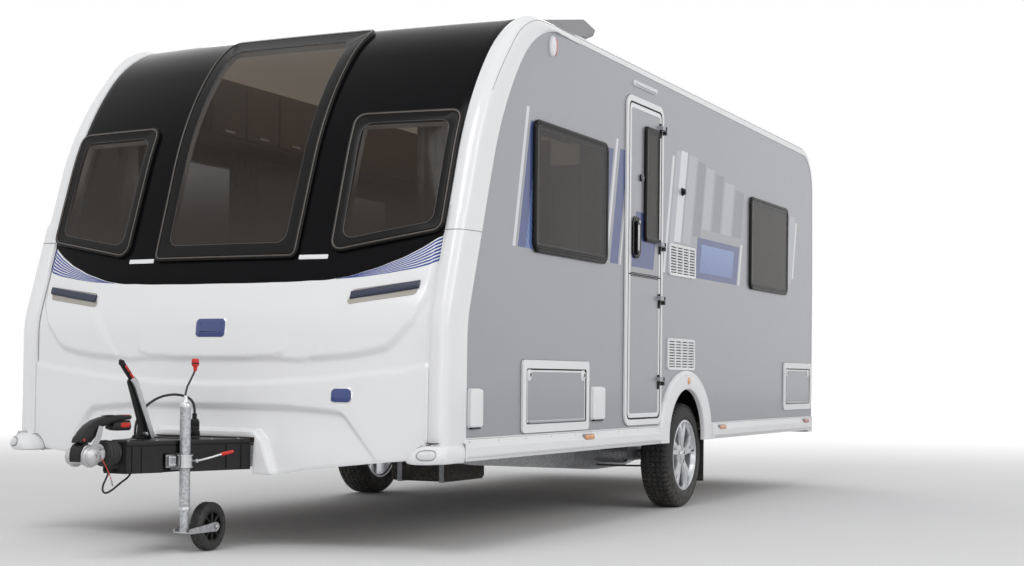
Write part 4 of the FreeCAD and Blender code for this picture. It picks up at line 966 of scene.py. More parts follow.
# ------------------------------------------------------------------ stage and camera
def make_stage(settings):
    """A pale floor, a white surround and soft lamps."""
    floor = bpy.data.materials.new("stage_floor")
    floor.use_nodes = True
    tree = floor.node_tree
    shader = tree.nodes["Principled BSDF"]
    shader.inputs["Roughness"].default_value = 0.9
    place = object_place(tree)
    cloudy = noise(tree, place, 0.6, 2.0)
    # Away from the vehicle the floor goes over to white for the camera.
    spread = node(tree, "VectorMath", place, operation="LENGTH").outputs["Value"]
    rays = node(tree, "LightPath").outputs
    white = maths(tree, "MULTIPLY", between(tree, spread, 4.0, 16.0), rays["Is Camera Ray"])
    dark = mixed(tree, white, mixed(tree, cloudy, (0.78, 0.78, 0.79), (0.82, 0.82, 0.82)),
        (0.0, 0.0, 0.0))
    link(tree, dark, shader.inputs["Base Color"])
    feed(tree, shader.inputs["Emission Color"], (1.0, 1.0, 1.0))
    link(tree, white, shader.inputs["Emission Strength"])
    shape = Shape()
    reach = 60.0
    shape.add([(-reach, -reach, -0.001), (reach, -reach, -0.001), (reach, reach, -0.001),
        (-reach, reach, -0.001)], [(0, 1, 2, 3)])
    ground = bpy.data.objects.new("studio_floor", shape.mesh("studio_floor", tidy=False))
    ground.data.materials.append(floor)
    bpy.context.scene.collection.objects.link(ground)
    made = [ground]

    world = bpy.data.worlds.new("studio")
    bpy.context.scene.world = world
    world.use_nodes = True
    tree = world.node_tree
    background = tree.nodes["Background"]
    path = node(tree, "LightPath").outputs
    seen = maths(tree, "MAXIMUM", path["Is Camera Ray"], path["Is Glossy Ray"])
    seen = maths(tree, "MAXIMUM", seen, path["Is Transmission Ray"])
    feed(tree, background.inputs["Color"], (1.0, 1.0, 1.0))
    link(tree, maths(tree, "MULTIPLY_ADD", seen, 1.0 - settings.surround, settings.surround),
        background.inputs["Strength"])

    for name, place, aim, size, power in (("key_lamp", (1.0, -10.5, 11.5), (0.0, -1.5, 1.0), 7.0, 470.0),
            ("side_lamp", (11.0, -2.0, 6.0), (0.0, 0.5, 1.2), 7.0, 230.0),
            ("rear_lamp", (-6.0, 11.0, 7.0), (0.0, 1.0, 1.2), 7.0, 260.0),
            ("low_lamp", (5.0, -10.0, 1.6), (0.3, -2.5, 0.5), 3.0, 30.0)):
        lamp = bpy.data.lights.new(name, "AREA")
        lamp.shape = "DISK"
        lamp.size = size
        lamp.energy = power * settings.lamp_level
        made.append(bpy.data.objects.new(name, lamp))
        bpy.context.scene.collection.objects.link(made[-1])
        made[-1].location = place
        made[-1].rotation_euler = (Vector(aim) - Vector(place)).to_track_quat("-Z", "Y").to_euler()

    view = bpy.data.cameras.new("main_camera")
    view.lens = settings.camera_lens
    view.sensor_width = 36.0
    view.shift_x = settings.camera_shift_x
    view.shift_y = settings.camera_shift_y
    view.clip_end = 200.0
    camera = bpy.data.objects.new("main_camera", view)
    bpy.context.scene.collection.objects.link(camera)
    turn, roll = settings.camera_turn, settings.camera_roll
    ahead = Vector((-math.sin(turn), math.cos(turn), 0.0))
    right, up = Vector((math.cos(turn), math.sin(turn), 0.0)), Vector(Z_AXIS)
    right, up = (right * math.cos(roll) + up * math.sin(roll),
        up * math.cos(roll) - right * math.sin(roll))
    matrix = Matrix((right, up, -ahead)).transposed().to_4x4()
    matrix.translation = Vector(settings.camera_place)
    camera.matrix_world = matrix
    bpy.context.scene.camera = camera
    made.append(camera)
    bpy.context.scene.view_settings.view_transform = "Standard"


# ------------------------------------------------------------------ leads and cable
UPPER_LEAD_ARCH = [(0.0, 0.52), (0.0, 0.578), (0.036, 0.645), (0.1, 0.694), (0.17, 0.71),
                   (0.222, 0.702), (0.254, 0.684), (0.268, 0.655), (0.268, 0.622)]
UPPER_LEAD_WAY = (0.794, 0.608)
LEAD_AT = (-0.13, -3.12)
LOWER_LEAD = [(0.0, -3.466, 0.372), (-0.001, -3.486, 0.342), (0.0, -3.508, 0.313),
              (0.001, -3.508, 0.29), (0.002, -3.486, 0.281), (0.003, -3.44, 0.296),
              (0.003, -3.384, 0.325), (0.001, -3.33, 0.344), (0.0, -3.304, 0.372)]
BREAKAWAY = [(0.044, -3.572, 0.439), (0.037, -3.52, 0.392), (0.014, -3.468, 0.343)]


def cord_curve(name, points, radius, material, replaces):
    """A smooth round cord whose slot has its material's name."""
    curve = bpy.data.curves.new(name, "CURVE")
    curve.dimensions = "3D"
    curve.bevel_depth = radius
    curve.bevel_resolution = 5
    curve.resolution_u = 16
    curve.use_fill_caps = True
    line = curve.splines.new("NURBS")
    line.points.add(len(points) - 1)
    for knot, place in zip(line.points, points):
        knot.co = (*place, 1.0)
    line.order_u = 3
    line.use_endpoint_u = True
    curve.materials.append(MATERIALS[material])
    return settled(bpy.data.objects.new(name, curve), "root", replaces)


def make_cords(settings):
    """The two drawbar leads and the breakaway cable, with the plug and the clip."""
    upper = [(LEAD_AT[0] + UPPER_LEAD_WAY[0] * s, LEAD_AT[1] + UPPER_LEAD_WAY[1] * s, z)
        for s, z in UPPER_LEAD_ARCH]
    x, y, _ = upper[-1]
    plug = Shape()
    plug.lathe([(0, 0.622), (0.0085, 0.622), (0.011, 0.62), (0.0112, 0.612), (0.0098, 0.61),
        (0.0112, 0.608), (0.0112, 0.602), (0.01, 0.6), (0.012, 0.598), (0.019, 0.594), (0.0205, 0.588),
        (0.0205, 0.568), (0.019, 0.566), (0.019, 0.563), (0.0205, 0.561), (0.0205, 0.543), (0.025, 0.54),
        (0.025, 0.522), (0.0238, 0.52), (0.0238, 0.517), (0.025, 0.515), (0.025, 0.507), (0.024, 0.5062),
        (0, 0.5062)], (x, y, 0), Z_AXIS, 40)
    for k in range(10):
        turn = 2 * math.pi * k / 10
        c, s = math.cos(turn), math.sin(turn)
        plug.rod((x + c * 0.0205, y + s * 0.0205, 0.545), (x + c * 0.0205, y + s * 0.0205, 0.586), 0.0022,
            8)
    plug = plug.piece("lead_plug_moulded", "root", "black_plastic", ["plastic_black"],
        replaces="lead_plug")
    lead = cord_curve("lead_upper_flex", upper, 0.006, "cable_black", "lead_upper")
    lower = cord_curve("lead_lower_flex", LOWER_LEAD, 0.0045, "cable_black", "lead_lower")
    clip = Shape()
    clip.rod(BREAKAWAY[-1], (-0.004, -3.436, 0.312), 0.0035, 16)
    clip.rod((0.0075, -3.4565, 0.3315), (0.004, -3.45, 0.3252), 0.0046, 16)
    clip = clip.piece("breakaway_clip_steel", "root", "galvanised", ["zinc_bright"],
        replaces="breakaway_clip")
    cable = cord_curve("breakaway_cable_red", BREAKAWAY, 0.002, "cable_red", "breakaway_cable")


# ------------------------------------------------------------------ nodes kept from the frame
KEPT_FINISHES = {
    "gelcoat_white": ["roof_panel", "rear_panel", "roof_edge_mouldings", "rear_bumper"],
    "side_paint": ["side_wall_nearside", "side_wall_offside", "door_lower", "door_upper",
                   "hatch_front_lid", "hatch_rear_lid"],
    "floor_vinyl": ["floor_panel"],
    "plastic_black": ["wheel_boxes"],
    "plastic_white": ["skirt_rails", "wheel_arch_trims", "door_frame", "hatch_frames",
                      "roof_lights"],
    "plastic_grey": ["roof_aerial"],
    "rubber_black": ["mudflaps"],
    "galvanised": ["chassis_members", "drawbar_frame", "underframe_fittings", "coupling_shaft",
                   "jockey_outer_tube", "jockey_inner_tube", "jockey_fork", "axle",
                   "steady_front_nearside", "steady_front_offside", "steady_rear_nearside",
                   "steady_rear_offside"],
    "underfloor": ["underfloor_tank"],
    "cabinet_wood": ["furniture"],
}


def finish_frame(settings):
    """Gives the CAD pieces that stay their finishes."""
    for material, names in KEPT_FINISHES.items():
        for name in names:
            slots = NODES[name].data.materials
            slots.clear()
            slots.append(MATERIALS[material])


# ------------------------------------------------------------------ front mouldings
SEAM = 0.0015                  # half the gap between two mouldings
MOULDING_DEPTH = 0.006
EDGE_STEP = 0.011              # spacing of the points along the lower moulding's edges
# The black panel's lower edge: |x|, z.
BAND_LINE = [(0.0, 1.236), (0.3, 1.237), (0.5, 1.242), (0.645, 1.252), (0.775, 1.282),
             (0.9, 1.324), (1.004, 1.371), (1.075, 1.414), (1.14, 1.463)]
NOTCH = (0.284, 0.5105)        # the opening over the drawbar: half width and top
HANDLE_POCKET = [(0.712, 1.122, 0.016), (1.048, 1.168, 0.022), (1.062, 1.236, 0.022),
                 (0.738, 1.196, 0.016)]
# Lower corner of the raised field beside the middle: |x|, z.
FIELD_EDGE = [(-0.2, 1.7), (-0.2, 0.872), (0.38, 0.874), (0.49, 0.867), (0.56, 0.877),
              (0.7, 0.887), (0.81, 0.9), (0.93, 0.928), (0.97, 0.96), (1.048, 1.045),
              (1.1, 1.155), (1.112, 1.25), (1.116, 1.7)]
SHELF = [(0.0, 0.749), (0.22, 0.753), (0.51, 0.769), (0.73, 0.786), (0.81, 0.801), (1.0, 0.818),
         (1.14, 0.845)]
RECESS = [(-0.2, 0.657), (0.35, 0.657), (0.457, 0.655), (0.6, 0.645), (0.7, 0.636),
          (0.728, 0.622), (0.872, 0.445), (0.935, 0.365), (0.935, 0.1), (-0.2, 0.1)]
LIP = [(-0.2, 0.883), (0.2, 0.883), (0.36, 0.893), (0.404, 0.903), (0.427, 0.926)]
HOOD = [(-0.2, 0.552), (0.285, 0.55), (0.336, 0.5), (0.392, 0.353), (0.4, 0.1), (-0.2, 0.1)]
FACET = [(0.552, 0.881), (0.69, 1.12)], [(0.552, 0.881), (0.76, 1.11)]


def band_height(x):
    """The black panel's lower edge, a smooth curve through BAND_LINE."""
    far, level = np.array(BAND_LINE).T
    slope = np.gradient(level, far)
    slope[0] = 0.0
    x = np.minimum(np.abs(np.asarray(x, float)), far[-1])
    i = np.clip(np.searchsorted(far, x, side="right") - 1, 0, len(far) - 2)
    span = far[i + 1] - far[i]
    t = (x - far[i]) / span
    start, end = level[i] + t * span * slope[i], level[i + 1] - (1 - t) * span * slope[i + 1]
    share = t * t * (3 - 2 * t)
    return start * (1 - share) + end * share


def depth_in(points, outline):
    """Signed distance to an outline, positive inside."""
    far = edge_distance(points, outline)
    return np.where(inside(points, outline), far, -far)


def lower_relief(x, z):
    """How far the white front moulding stands out from the plain skin."""
    flat = np.stack([np.abs(x), z], -1)
    far = flat[:, 0]
    field = smooth_step(depth_in(flat, FIELD_EDGE), -0.012, 0.016)
    shelf_z = np.interp(far, *zip(*SHELF))
    below = 1.0 - smooth_step(z, shelf_z - 0.004, shelf_z + 0.026)
    out = 0.013 * np.maximum(field, below) - 0.009
    # A narrow facet runs down from each handle, and the field outside it stands further out.
    inner = np.interp(z, [p[1] for p in FACET[0]], [p[0] for p in FACET[0]])
    outer = np.interp(z, [p[1] for p in FACET[1]], [p[0] for p in FACET[1]])
    share = np.clip((far - inner) / np.maximum(outer - inner, 0.004), 0.0, 1.0)
    out += 0.008 * share * field * (1.0 - smooth_step(z, 1.1, 1.23))
    lip = np.interp(far, *zip(*LIP[1:]), right=1.0)
    step = smooth_step(z - lip, -0.003, 0.003) * (1.0 - smooth_step(far, 0.405, 0.44))
    out += 0.006 * step * (1.0 - smooth_step(z, 0.905, 1.02))
    # The recess over the drawbar is deepest under its top edge.
    deep = 0.3 + 0.7 * smooth_step(z, 0.4, 0.64)
    out -= 0.024 * deep * smooth_step(depth_in(flat, RECESS), -0.007, 0.014)
    out += 0.04 * smooth_step(depth_in(flat, HOOD), -0.004, 0.016)
    return out


FOOT_LINE = [(0.0, 0.34), (0.39, 0.34), (0.52, 0.366), (0.86, 0.404), (1.1, 0.428), (1.13, 0.43)]


def foot_height(far):
    """The white moulding's lower edge."""
    return np.interp(far, *zip(*FOOT_LINE))


def make_front_lower(settings):
    """The white moulding below the windows, with its pressed relief and handle pockets."""
    edge = CORNER_X - SEAM
    across_it = np.linspace(-edge, edge, 207)
    top = [(x, float(reach_of(band_height(x) - SEAM))) for x in across_it]
    sides = [(edge, float(reach_of(z))) for z in np.arange(0.44, float(band_height(edge)), EDGE_STEP)]
    foot = [(x, float(reach_of(foot_height(abs(x))))) for x in across_it if abs(x) > NOTCH[0] + 0.004]
    right = [p for p in foot if p[0] > 0]
    left = [p for p in foot if p[0] < 0]
    low, high = float(reach_of(FOOT_LINE[0][1])), float(reach_of(NOTCH[1]))
    notch = subdivided([(-NOTCH[0], low), (-NOTCH[0], high), (NOTCH[0], high), (NOTCH[0], low)],
        EDGE_STEP)
    notch = notch[:-int(round(2 * NOTCH[0] / EDGE_STEP)) + 1] + [(NOTCH[0], low)]
    notch = [p for i, p in enumerate(notch) if p not in notch[:i]]
    outline = left + notch + right + sides[:-1] + list(reversed(top))[:-1]
    outline += [(-a, b) for a, b in reversed(sides[:-1])]
    pockets = []
    for side in BOTH_SIDES:
        line = [(side * x, float(reach_of(z)))
            for x, z in subdivided(rounded(HANDLE_POCKET, 6), EDGE_STEP)]
        pockets.append(line)
    points, faces = filled_sheet(outline, pockets, 0.0095)
    x, reach = points[:, 0], points[:, 1]
    relief = lower_relief(x, height_of(reach))
    rim = edge_distance(points, outline)
    relief -= 0.004 * (1.0 - smooth_step(rim, 0.0, 0.008))
    shape = Shape()
    thick_sheet(shape, points, faces, front_points(x, reach, relief),
        front_points(x, reach, relief - MOULDING_DEPTH))
    # Handle pockets: tapered trays behind the openings, coloured beige-grey as painted shade inside them,
    # with a blue-black grip across each.
    line = subdivided(rounded(HANDLE_POCKET, 6), EDGE_STEP)
    rings = []
    for inset, out in ((0.0, 0.001), (0.002, -0.004), (0.007, -0.028), (0.012, -0.031)):
        ring = np.array(shrink(line, inset))
        lift = lower_relief(*np.array(line).T) if out > -0.01 else lower_relief(*ring.T)
        rings.append(front_points(ring[:, 0], reach_of(ring[:, 1]), lift + out))
    back = [r - np.array([0, -MOULDING_DEPTH, 0]) for r in reversed(rings)]
    since = shape.here()
    shape.rings([list(map(tuple, r)) for r in rings + back], mark=1)
    shape.mirrored(since)
    since = shape.here()
    x = np.linspace(0.733, 1.058, 40)
    z = 1.167 + (x - 0.733) * 0.15
    sections = []
    for turn in np.linspace(0, 2 * math.pi, 20, endpoint=False):
        c, s = math.cos(turn), math.sin(turn)
        high = 0.0185 * math.copysign(abs(s) ** 0.5, s)
        out = 0.011 * math.copysign(abs(c) ** 0.6, c)
        sections.append(front_points(x, reach_of(z + high), out + 0.006))
    shape.rings([[tuple(section[i]) for section in sections] for i in range(len(x))], mark=2)
    shape.mirrored(since)
    shape.piece("front_moulding_lower", "root", "gel_white",
        ("gelcoat_white", "recess_beige", "handle_blue"), 50, replaces="front_panel_lower")


# Windows: (x, z, radius) corners.
CENTRE_PANE = [(-0.412, 1.345, 0.04), (0.412, 1.345, 0.04), (0.432, 2.545, 0.04),
               (-0.432, 2.545, 0.04)]
SIDE_PANE = [(0.578, 1.36, 0.06), (1.128, 1.458, 0.06), (1.124, 2.052, 0.06),
             (0.568, 2.052, 0.06)]
PANE_HOLE = 0.06


def skin_line(line, out):
    """Places (x, z) points on the front skin."""
    line = np.array(line)
    return [tuple(p) for p in front_points(line[:, 0], reach_of(line[:, 1]), out)]


def make_front_upper(settings):
    """The gloss black panel round the windows, up over the crown to the roof."""
    edge = CORNER_X - SEAM
    across_it = np.linspace(-edge, edge, 91)
    foot = [(x, float(reach_of(band_height(x) + SEAM))) for x in across_it]
    low = foot[-1][1]
    heights = np.linspace(low, ROOF_REACH, 60)[1:]
    outline = foot + [(edge, b) for b in heights]
    outline += [(x, ROOF_REACH) for x in across_it[::-1][1:]]
    outline += [(-edge, b) for b in heights[::-1][1:]]
    holes = []
    for pane in (CENTRE_PANE, SIDE_PANE, [(-x, z, r) for x, z, r in SIDE_PANE]):
        line = shrink(subdivided(rounded(pane, 6), 0.025), PANE_HOLE)
        holes.append([(a, float(reach_of(b))) for a, b in line])
    points, faces = filled_sheet(outline, holes, 0.025)
    x, reach = points[:, 0], points[:, 1]
    roll = -0.004 * (1.0 - smooth_step(edge_distance(points, outline), 0.0, 0.01))
    shape = Shape()
    thick_sheet(shape, points, faces, front_points(x, reach, roll), front_points(x, reach, -0.03), mark=0)
    for line in holes:
        sides = []
        for inset, out in ((0.0, -0.0305), (0.0, 0.0005), (0.0025, 0.0005), (0.0025, -0.0305)):
            ring = np.array(shrink(line, inset))
            sides.append([tuple(p) for p in front_points(ring[:, 0], ring[:, 1], out)])
        shape.rings(sides, mark=1, closed=True)
    shape.piece("front_moulding_upper", "root", "gel_black", ("gelcoat_black", "wall_lining"), 45,
        replaces="front_panel_upper")


PANE_EDGE = [(0.0, 0.0), (0.0, 0.0125), (0.0015, 0.017), (0.005, 0.0198), (0.0085, 0.0192),
             (0.0105, 0.0165), (0.019, 0.0162), (0.0205, 0.0185), (0.0225, 0.019),
             (0.0245, 0.017), (0.053, 0.0166), (0.056, 0.0158), (0.056, 0.0118), (0.045, 0.0)]
RIM_EDGE = [(0.0095, 0.016), (0.0095, 0.0204), (0.011, 0.0214), (0.015, 0.0214),
            (0.0165, 0.0204), (0.0165, 0.016)]
GLASS_FROM = 0.055
GLASS_CORNER = 0.05


def inset_corners(pane, inset):
    """The pane's corners moved inwards."""
    corners = []
    count = len(pane)
    for i in range(count):
        before, here, after = (Vector(pane[k % count][:2]) for k in (i - 1, i, i + 1))
        back, ahead = (before - here).normalized(), (after - here).normalized()
        half = back.angle(ahead) / 2
        corners.append(here + (back + ahead).normalized() * inset / math.sin(half))
    return corners


def pane_line(pane, inset, softest=0.0):
    """A pane's outline moved inwards, with the same number of points whatever the inset."""
    corners = [(*c, max(p[2] - inset, softest, 0.004)) for c, p in zip(inset_corners(pane, inset), pane)]
    line = rounded(corners, 8)
    whole = rounded(pane, 8)
    each = len(line) // len(pane)
    points = []
    for i in range(len(line)):
        points.append(line[i])
        if (i + 1) % each == 0:
            j = (i + 1) % len(line)
            run = math.hypot(whole[j][0] - whole[i][0], whole[j][1] - whole[i][1])
            count = math.ceil(run / 0.024)
            points.extend((line[i][0] + (line[j][0] - line[i][0]) * k / count,
                line[i][1] + (line[j][1] - line[i][1]) * k / count) for k in range(1, count))
    return points


def make_front_windows(settings):
    """Curved acrylic windows in black borders with a raised bead round the edge."""
    shape = Shape()
    for pane, wider in ((CENTRE_PANE, 0.02), (SIDE_PANE, 0.0)):
        since = shape.here()
        edge = [(inset + wider * (inset > 0.04), out) for inset, out in PANE_EDGE]
        shape.rings([skin_line(pane_line(pane, inset, GLASS_CORNER if inset > 0.05 else 0.0), out)
            for inset, out in edge], closed=True)
        inner = [(a, float(reach_of(b))) for a, b in pane_line(pane, GLASS_FROM + wider, GLASS_CORNER)]
        points, faces = filled_sheet(inner, [], 0.04)
        thick_sheet(shape, points, faces, front_points(points[:, 0], points[:, 1], 0.0155),
            front_points(points[:, 0], points[:, 1], 0.0125), mark=1)
        # A fine line where the acrylic meets its border.
        shape.rings([skin_line(pane_line(pane, inset + wider, GLASS_CORNER), out)
            for inset, out in ((0.0565, 0.015), (0.0565, 0.016), (0.0575, 0.016), (0.0575, 0.015))],
            mark=2, closed=True)
        shape.rings([skin_line(pane_line(pane, inset), out) for inset, out in RIM_EDGE], mark=3,
            closed=True)
        if pane is SIDE_PANE:
            shape.mirrored(since)
    shape.piece("front_windows_acrylic", "root", "acrylic",
        ("frame_black", "front_acrylic", "sealant_grey", "rim_bronze"), 40, replaces="front_windows")


WALL_EDGE = [(-2.434, 0.33, 0), (-2.428, 1.06, 0.56), (-2.069, 2.11, 1.6), (-1.668, 2.572, 0.64),
             (-1.1, 2.567, 0)]
# The corner moulding's section in plan: |x|, how far back from the front panel's edge, and how
# far down it lies where it passes over the roof.
CORNER_SECTION = [(1.1315, 0.001, 0.001), (1.1345, -0.003, 0.001), (1.15, -0.0035, 0.003),
                  (1.17, -0.004, 0.006), (1.186, -0.002, 0.012), (1.199, 0.003, 0.02),
                  (1.2095, 0.01, 0.029), (1.217, 0.02, 0.038), (1.221, 0.032, 0.047),
                  (1.2225, 0.046, 0.054)]
ROOF_EDGE_X = 1.203            # the moulding narrows to the roof's edge behind the crown
STEP_Z = (1.555, 1.585)        # below here the moulding is a little stouter
STOUT = (0.003, 0.013)         # how much wider and further forward


def make_front_corners(settings):
    """The white corner mouldings, from the foot up over the crown, lapping onto the side walls."""
    steps = 24
    profile = np.array(rounded_open(FRONT_PROFILE, steps))
    wall = np.array(rounded_open(WALL_EDGE, steps))
    profile = insert_middles(profile, 0.05)
    for z in STEP_Z:
        at = int(np.argmax(profile[:, 1] > z))
        share = (z - profile[at - 1, 1]) / (profile[at, 1] - profile[at - 1, 1])
        middle = profile[at - 1] + share * (profile[at] - profile[at - 1])
        profile = np.insert(profile, at, middle, axis=0)
    spans = np.hypot(*np.diff(profile, axis=0).T)
    wall = match_points(wall, np.array(rounded_open(FRONT_PROFILE, steps)), profile)
    reach = np.concatenate([[0.0], np.cumsum(spans)])
    low = float(reach_of(0.43))
    keep = reach > low
    reach = np.concatenate([[low], reach[keep]])
    first = np.argmax(keep)
    wall = np.concatenate([[[-2.433, 0.43]], wall[first:]])
    level = height_of(reach)
    back = profile_at(reach)[0]
    narrow = 1.0 - smooth_step(back, -1.75,
        -1.2) * (1.0 - (ROOF_EDGE_X - CORNER_X) / (CORNER_SECTION[-1][0] - CORNER_X))
    stout = 1.0 - smooth_step(level, *STEP_Z)
    base = BOW * CORNER_X ** BOW_POWER
    lap_x = WALL_X + 0.004
    columns = []
    for far, behind, drop in CORNER_SECTION:
        share = min(1.0, (far - CORNER_X) / 0.045)
        wide = CORNER_X + (far - CORNER_X) * narrow + STOUT[0] * stout * share
        setback = base + behind - STOUT[1] * stout * share
        level_drop = drop * (1.0 - 0.4 * smooth_step(back, -1.85, -1.35))
        columns.append(front_points(wide, reach, 0.0, setback, level_drop, share))
    edge = columns[-1]
    way = np.gradient(wall, axis=0)
    inward = np.stack([way[:, 1], -way[:, 0]], -1)
    inward /= np.linalg.norm(inward, axis=1)[:, None]
    width = ((wall - edge[:, 1:]) * inward).sum(axis=1)
    lap = wall + inward * np.maximum(0.004, 0.012 - width)[:, None]
    for share, settle in ((0.3, 0.0), (0.65, 0.1), (0.9, 0.35)):
        flat = edge[:, 1:] * (1 - share) + lap * share
        out = edge[:, 0] + (lap_x - edge[:, 0]) * settle
        columns.append(np.column_stack([out, flat]))
    for settle, inset in ((0.6, 0.0), (1.0, 0.002)):
        out = edge[:, 0] + (lap_x - edge[:, 0]) * settle
        columns.append(np.column_stack([out, lap - inward * inset]))
    columns.append(np.column_stack([np.full(len(lap), WALL_X - 0.0005), lap - inward * 0.002]))
    inner = edge[:, 1:] + inward * 0.012
    columns.append(np.column_stack([np.full(len(lap), WALL_X - 0.01), inner]))
    columns.append(front_points(CORNER_X + SEAM, reach, -0.014))
    shape = Shape()
    shape.rings([[tuple(column[i]) for column in columns] for i in range(len(reach))])
    # A groove along the crown, the joint between the two halves and the sealant inside.
    groove = columns[7][reach > reach_of(2.15)]
    shape.sweep([tuple(p) for p in groove], circle(0.0015, 6), mark=2)
    seam_at = float(reach_of(1.47))
    shape.rings(strip_rings(columns[1:14], reach, seam_at, 0.0016), mark=1)
    sealant = []
    for i in range(len(reach)):
        sealant.append([tuple(front_points(x, reach[i], out)) for x, out in ((CORNER_X - 0.0025, -0.0075),
            (CORNER_X - 0.0025, -0.0045), (CORNER_X + 0.0025, -0.0045), (CORNER_X + 0.0025, -0.0075))])
    shape.rings(sealant)
    shape.mirrored()
    shape.piece("front_corner_trims", "root", "gel_white",
        ("gelcoat_white", "sealant_grey", "plastic_grey"), 45, replaces="front_corner_mouldings")


def insert_middles(line, spacing):
    """The open line with extra points, so that no step is longer than spacing."""
    points = [line[0]]
    for start, end in zip(line, line[1:]):
        count = max(1, math.ceil(float(np.linalg.norm(end - start)) / spacing))
        points.extend(start + (end - start) * k / count for k in range(1, count + 1))
    return np.array(points)


def match_points(line, first, second):
    """Moves along line as far as second has moved along first, corner by corner."""
    def shares(points):
        return np.concatenate([[0.0], np.cumsum(np.hypot(*np.diff(points, axis=0).T))])
    coarse = shares(first)
    fine = shares(second)
    index = np.interp(fine, coarse, np.arange(len(first)))
    return np.stack([np.interp(index, np.arange(len(line)), line[:, k]) for k in (0, 1)], -1)


def strip_rings(columns, reach, at, half):
    """A thin raised line across columns of points, at one distance along them."""
    rings = []
    for column in columns:
        point = np.array([np.interp([at - half, at + half], reach, column[:, k]) for k in range(3)]).T
        after = np.array([np.interp([at - half - 0.01, at + half + 0.01], reach, column[:, k])
            for k in range(3)]).T
        along = after[1] - after[0]
        if not rings:
            sideways = columns[1][0] - columns[0][0]
        out = np.cross(sideways, along)
        out = out / np.linalg.norm(out) * 0.0008
        if out[1] > 0:
            out = -out
        rings.append([tuple(point[0] - out), tuple(point[0] + out), tuple(point[1] + out),
            tuple(point[1] - out)])
    return rings


# The stripes fill the sickle between the black panel's edge and this line: |x|, z.
STRIPE_FOOT = [(0.64, 1.2455), (0.777, 1.254), (0.905, 1.271), (1.02, 1.29), (1.09, 1.308),
               (1.127, 1.332)]
STRIPES = 7
WHITE_STRIP = (0.42, 0.574, 1.343, 1.364)                     # below each side window
PLAQUES = [(0.0, 1.021, 0.083, 0.043), (0.715, 0.711, 0.05, 0.031)]   # middle and half sizes


def make_front_details(settings):
    """Fine stripes under the black panel, blank plaques and small white strips."""
    shape = Shape()
    x = np.linspace(0.64, 1.126, 60)
    high = band_height(x) - 0.0045
    low = np.interp(x, *zip(*STRIPE_FOOT))
    for k in range(STRIPES):
        pitch = (high - low) / STRIPES
        z0 = low + pitch * k
        z1 = z0 + pitch * 0.55 + 0.0003
        rings = []
        for i in range(len(x)):
            lift = lower_relief(np.array([x[i], x[i]]), np.array([z0[i], z1[i]]))
            rings.append([tuple(front_points(x[i], reach_of(z), out + up))
                for z, out, up in ((z0[i], lift[0], -0.001), (z0[i], lift[0], 0.0006),
                (z1[i], lift[1], 0.0006), (z1[i], lift[1], -0.001))])
        shape.rings(rings)
    line = subdivided(rectangle(*WHITE_STRIP, 0.0035, 3), 0.02)
    shape.rings([skin_line(shrink(line, inset), out) for inset, out in ((0.0, -0.001), (0.0, 0.003),
        (0.001, 0.004))], mark=1)
    shape.mirrored()
    for x0, z0, half_x, half_z in PLAQUES:
        lift = float(lower_relief(np.array([x0]), np.array([z0]))[0])
        for grow, low_out, high_out, mark in ((0.005, -0.003, 0.002, 3), (0.0, 0.001, 0.004, 2)):
            rings = []
            for inset, out in ((0.0, low_out), (0.0, high_out - 0.0012), (0.0018, high_out),
                    (half_z * 0.6, high_out + 0.001)):
                line = rectangle(x0 - half_x - grow, x0 + half_x + grow, z0 - half_z - grow,
                    z0 + half_z + grow, 0.022 + grow * 0.5, 8)
                rings.append(skin_line(shrink(line, inset), lift + out))
            shape.rings(rings, mark=mark)
    shape.piece("front_stripes_and_plaques", "root", "gel_white",
        ("stripe_blue", "gelcoat_white", "badge_blue", "chrome"), 40)


# ------------------------------------------------------------------ side walls and rear
# Side windows: side, y low, y high, z low, z high.
SIDE_WINDOWS = [
    (1, -1.692, -0.707, 1.425, 2.09), (1, 1.956, 2.902, 1.428, 2.073),
    (-1, -1.692, -0.707, 1.425, 2.09), (-1, 0.3, 1.15, 1.56, 2.073),
    (-1, 2.32, 2.78, 1.7, 2.073),
]
REAR_WINDOW = (0.62, 1.44, 2.06)
WINDOW_FRAME = [(0.0, 0.0), (0.0, 0.0125), (0.002, 0.0155), (0.006, 0.0172), (0.015, 0.0178),
                (0.0165, 0.015), (0.02, 0.015), (0.0215, 0.0178), (0.03, 0.017),
                (0.0315, 0.0152), (0.041, 0.015), (0.0425, 0.0135), (0.0425, 0.01), (0.03, 0.0)]


def window_parts(shape, outline, axis, wall, narrow=1.0):
    """A framed window whose frame starts at level wall; narrow scales the frame's width."""
    def steps(*pairs):
        return [(inset * narrow, wall + out) for inset, out in pairs]

    shape.ringed(outline, axis, steps(*WINDOW_FRAME))
    shape.stacked(outline, axis, steps((0.0415, 0.0105), (0.0415, 0.0132)), mark=1)
    shape.ringed(outline, axis, steps((0.043, 0.0128), (0.043, 0.0142), (0.045, 0.0142), (0.045, 0.0128)),
        mark=2)


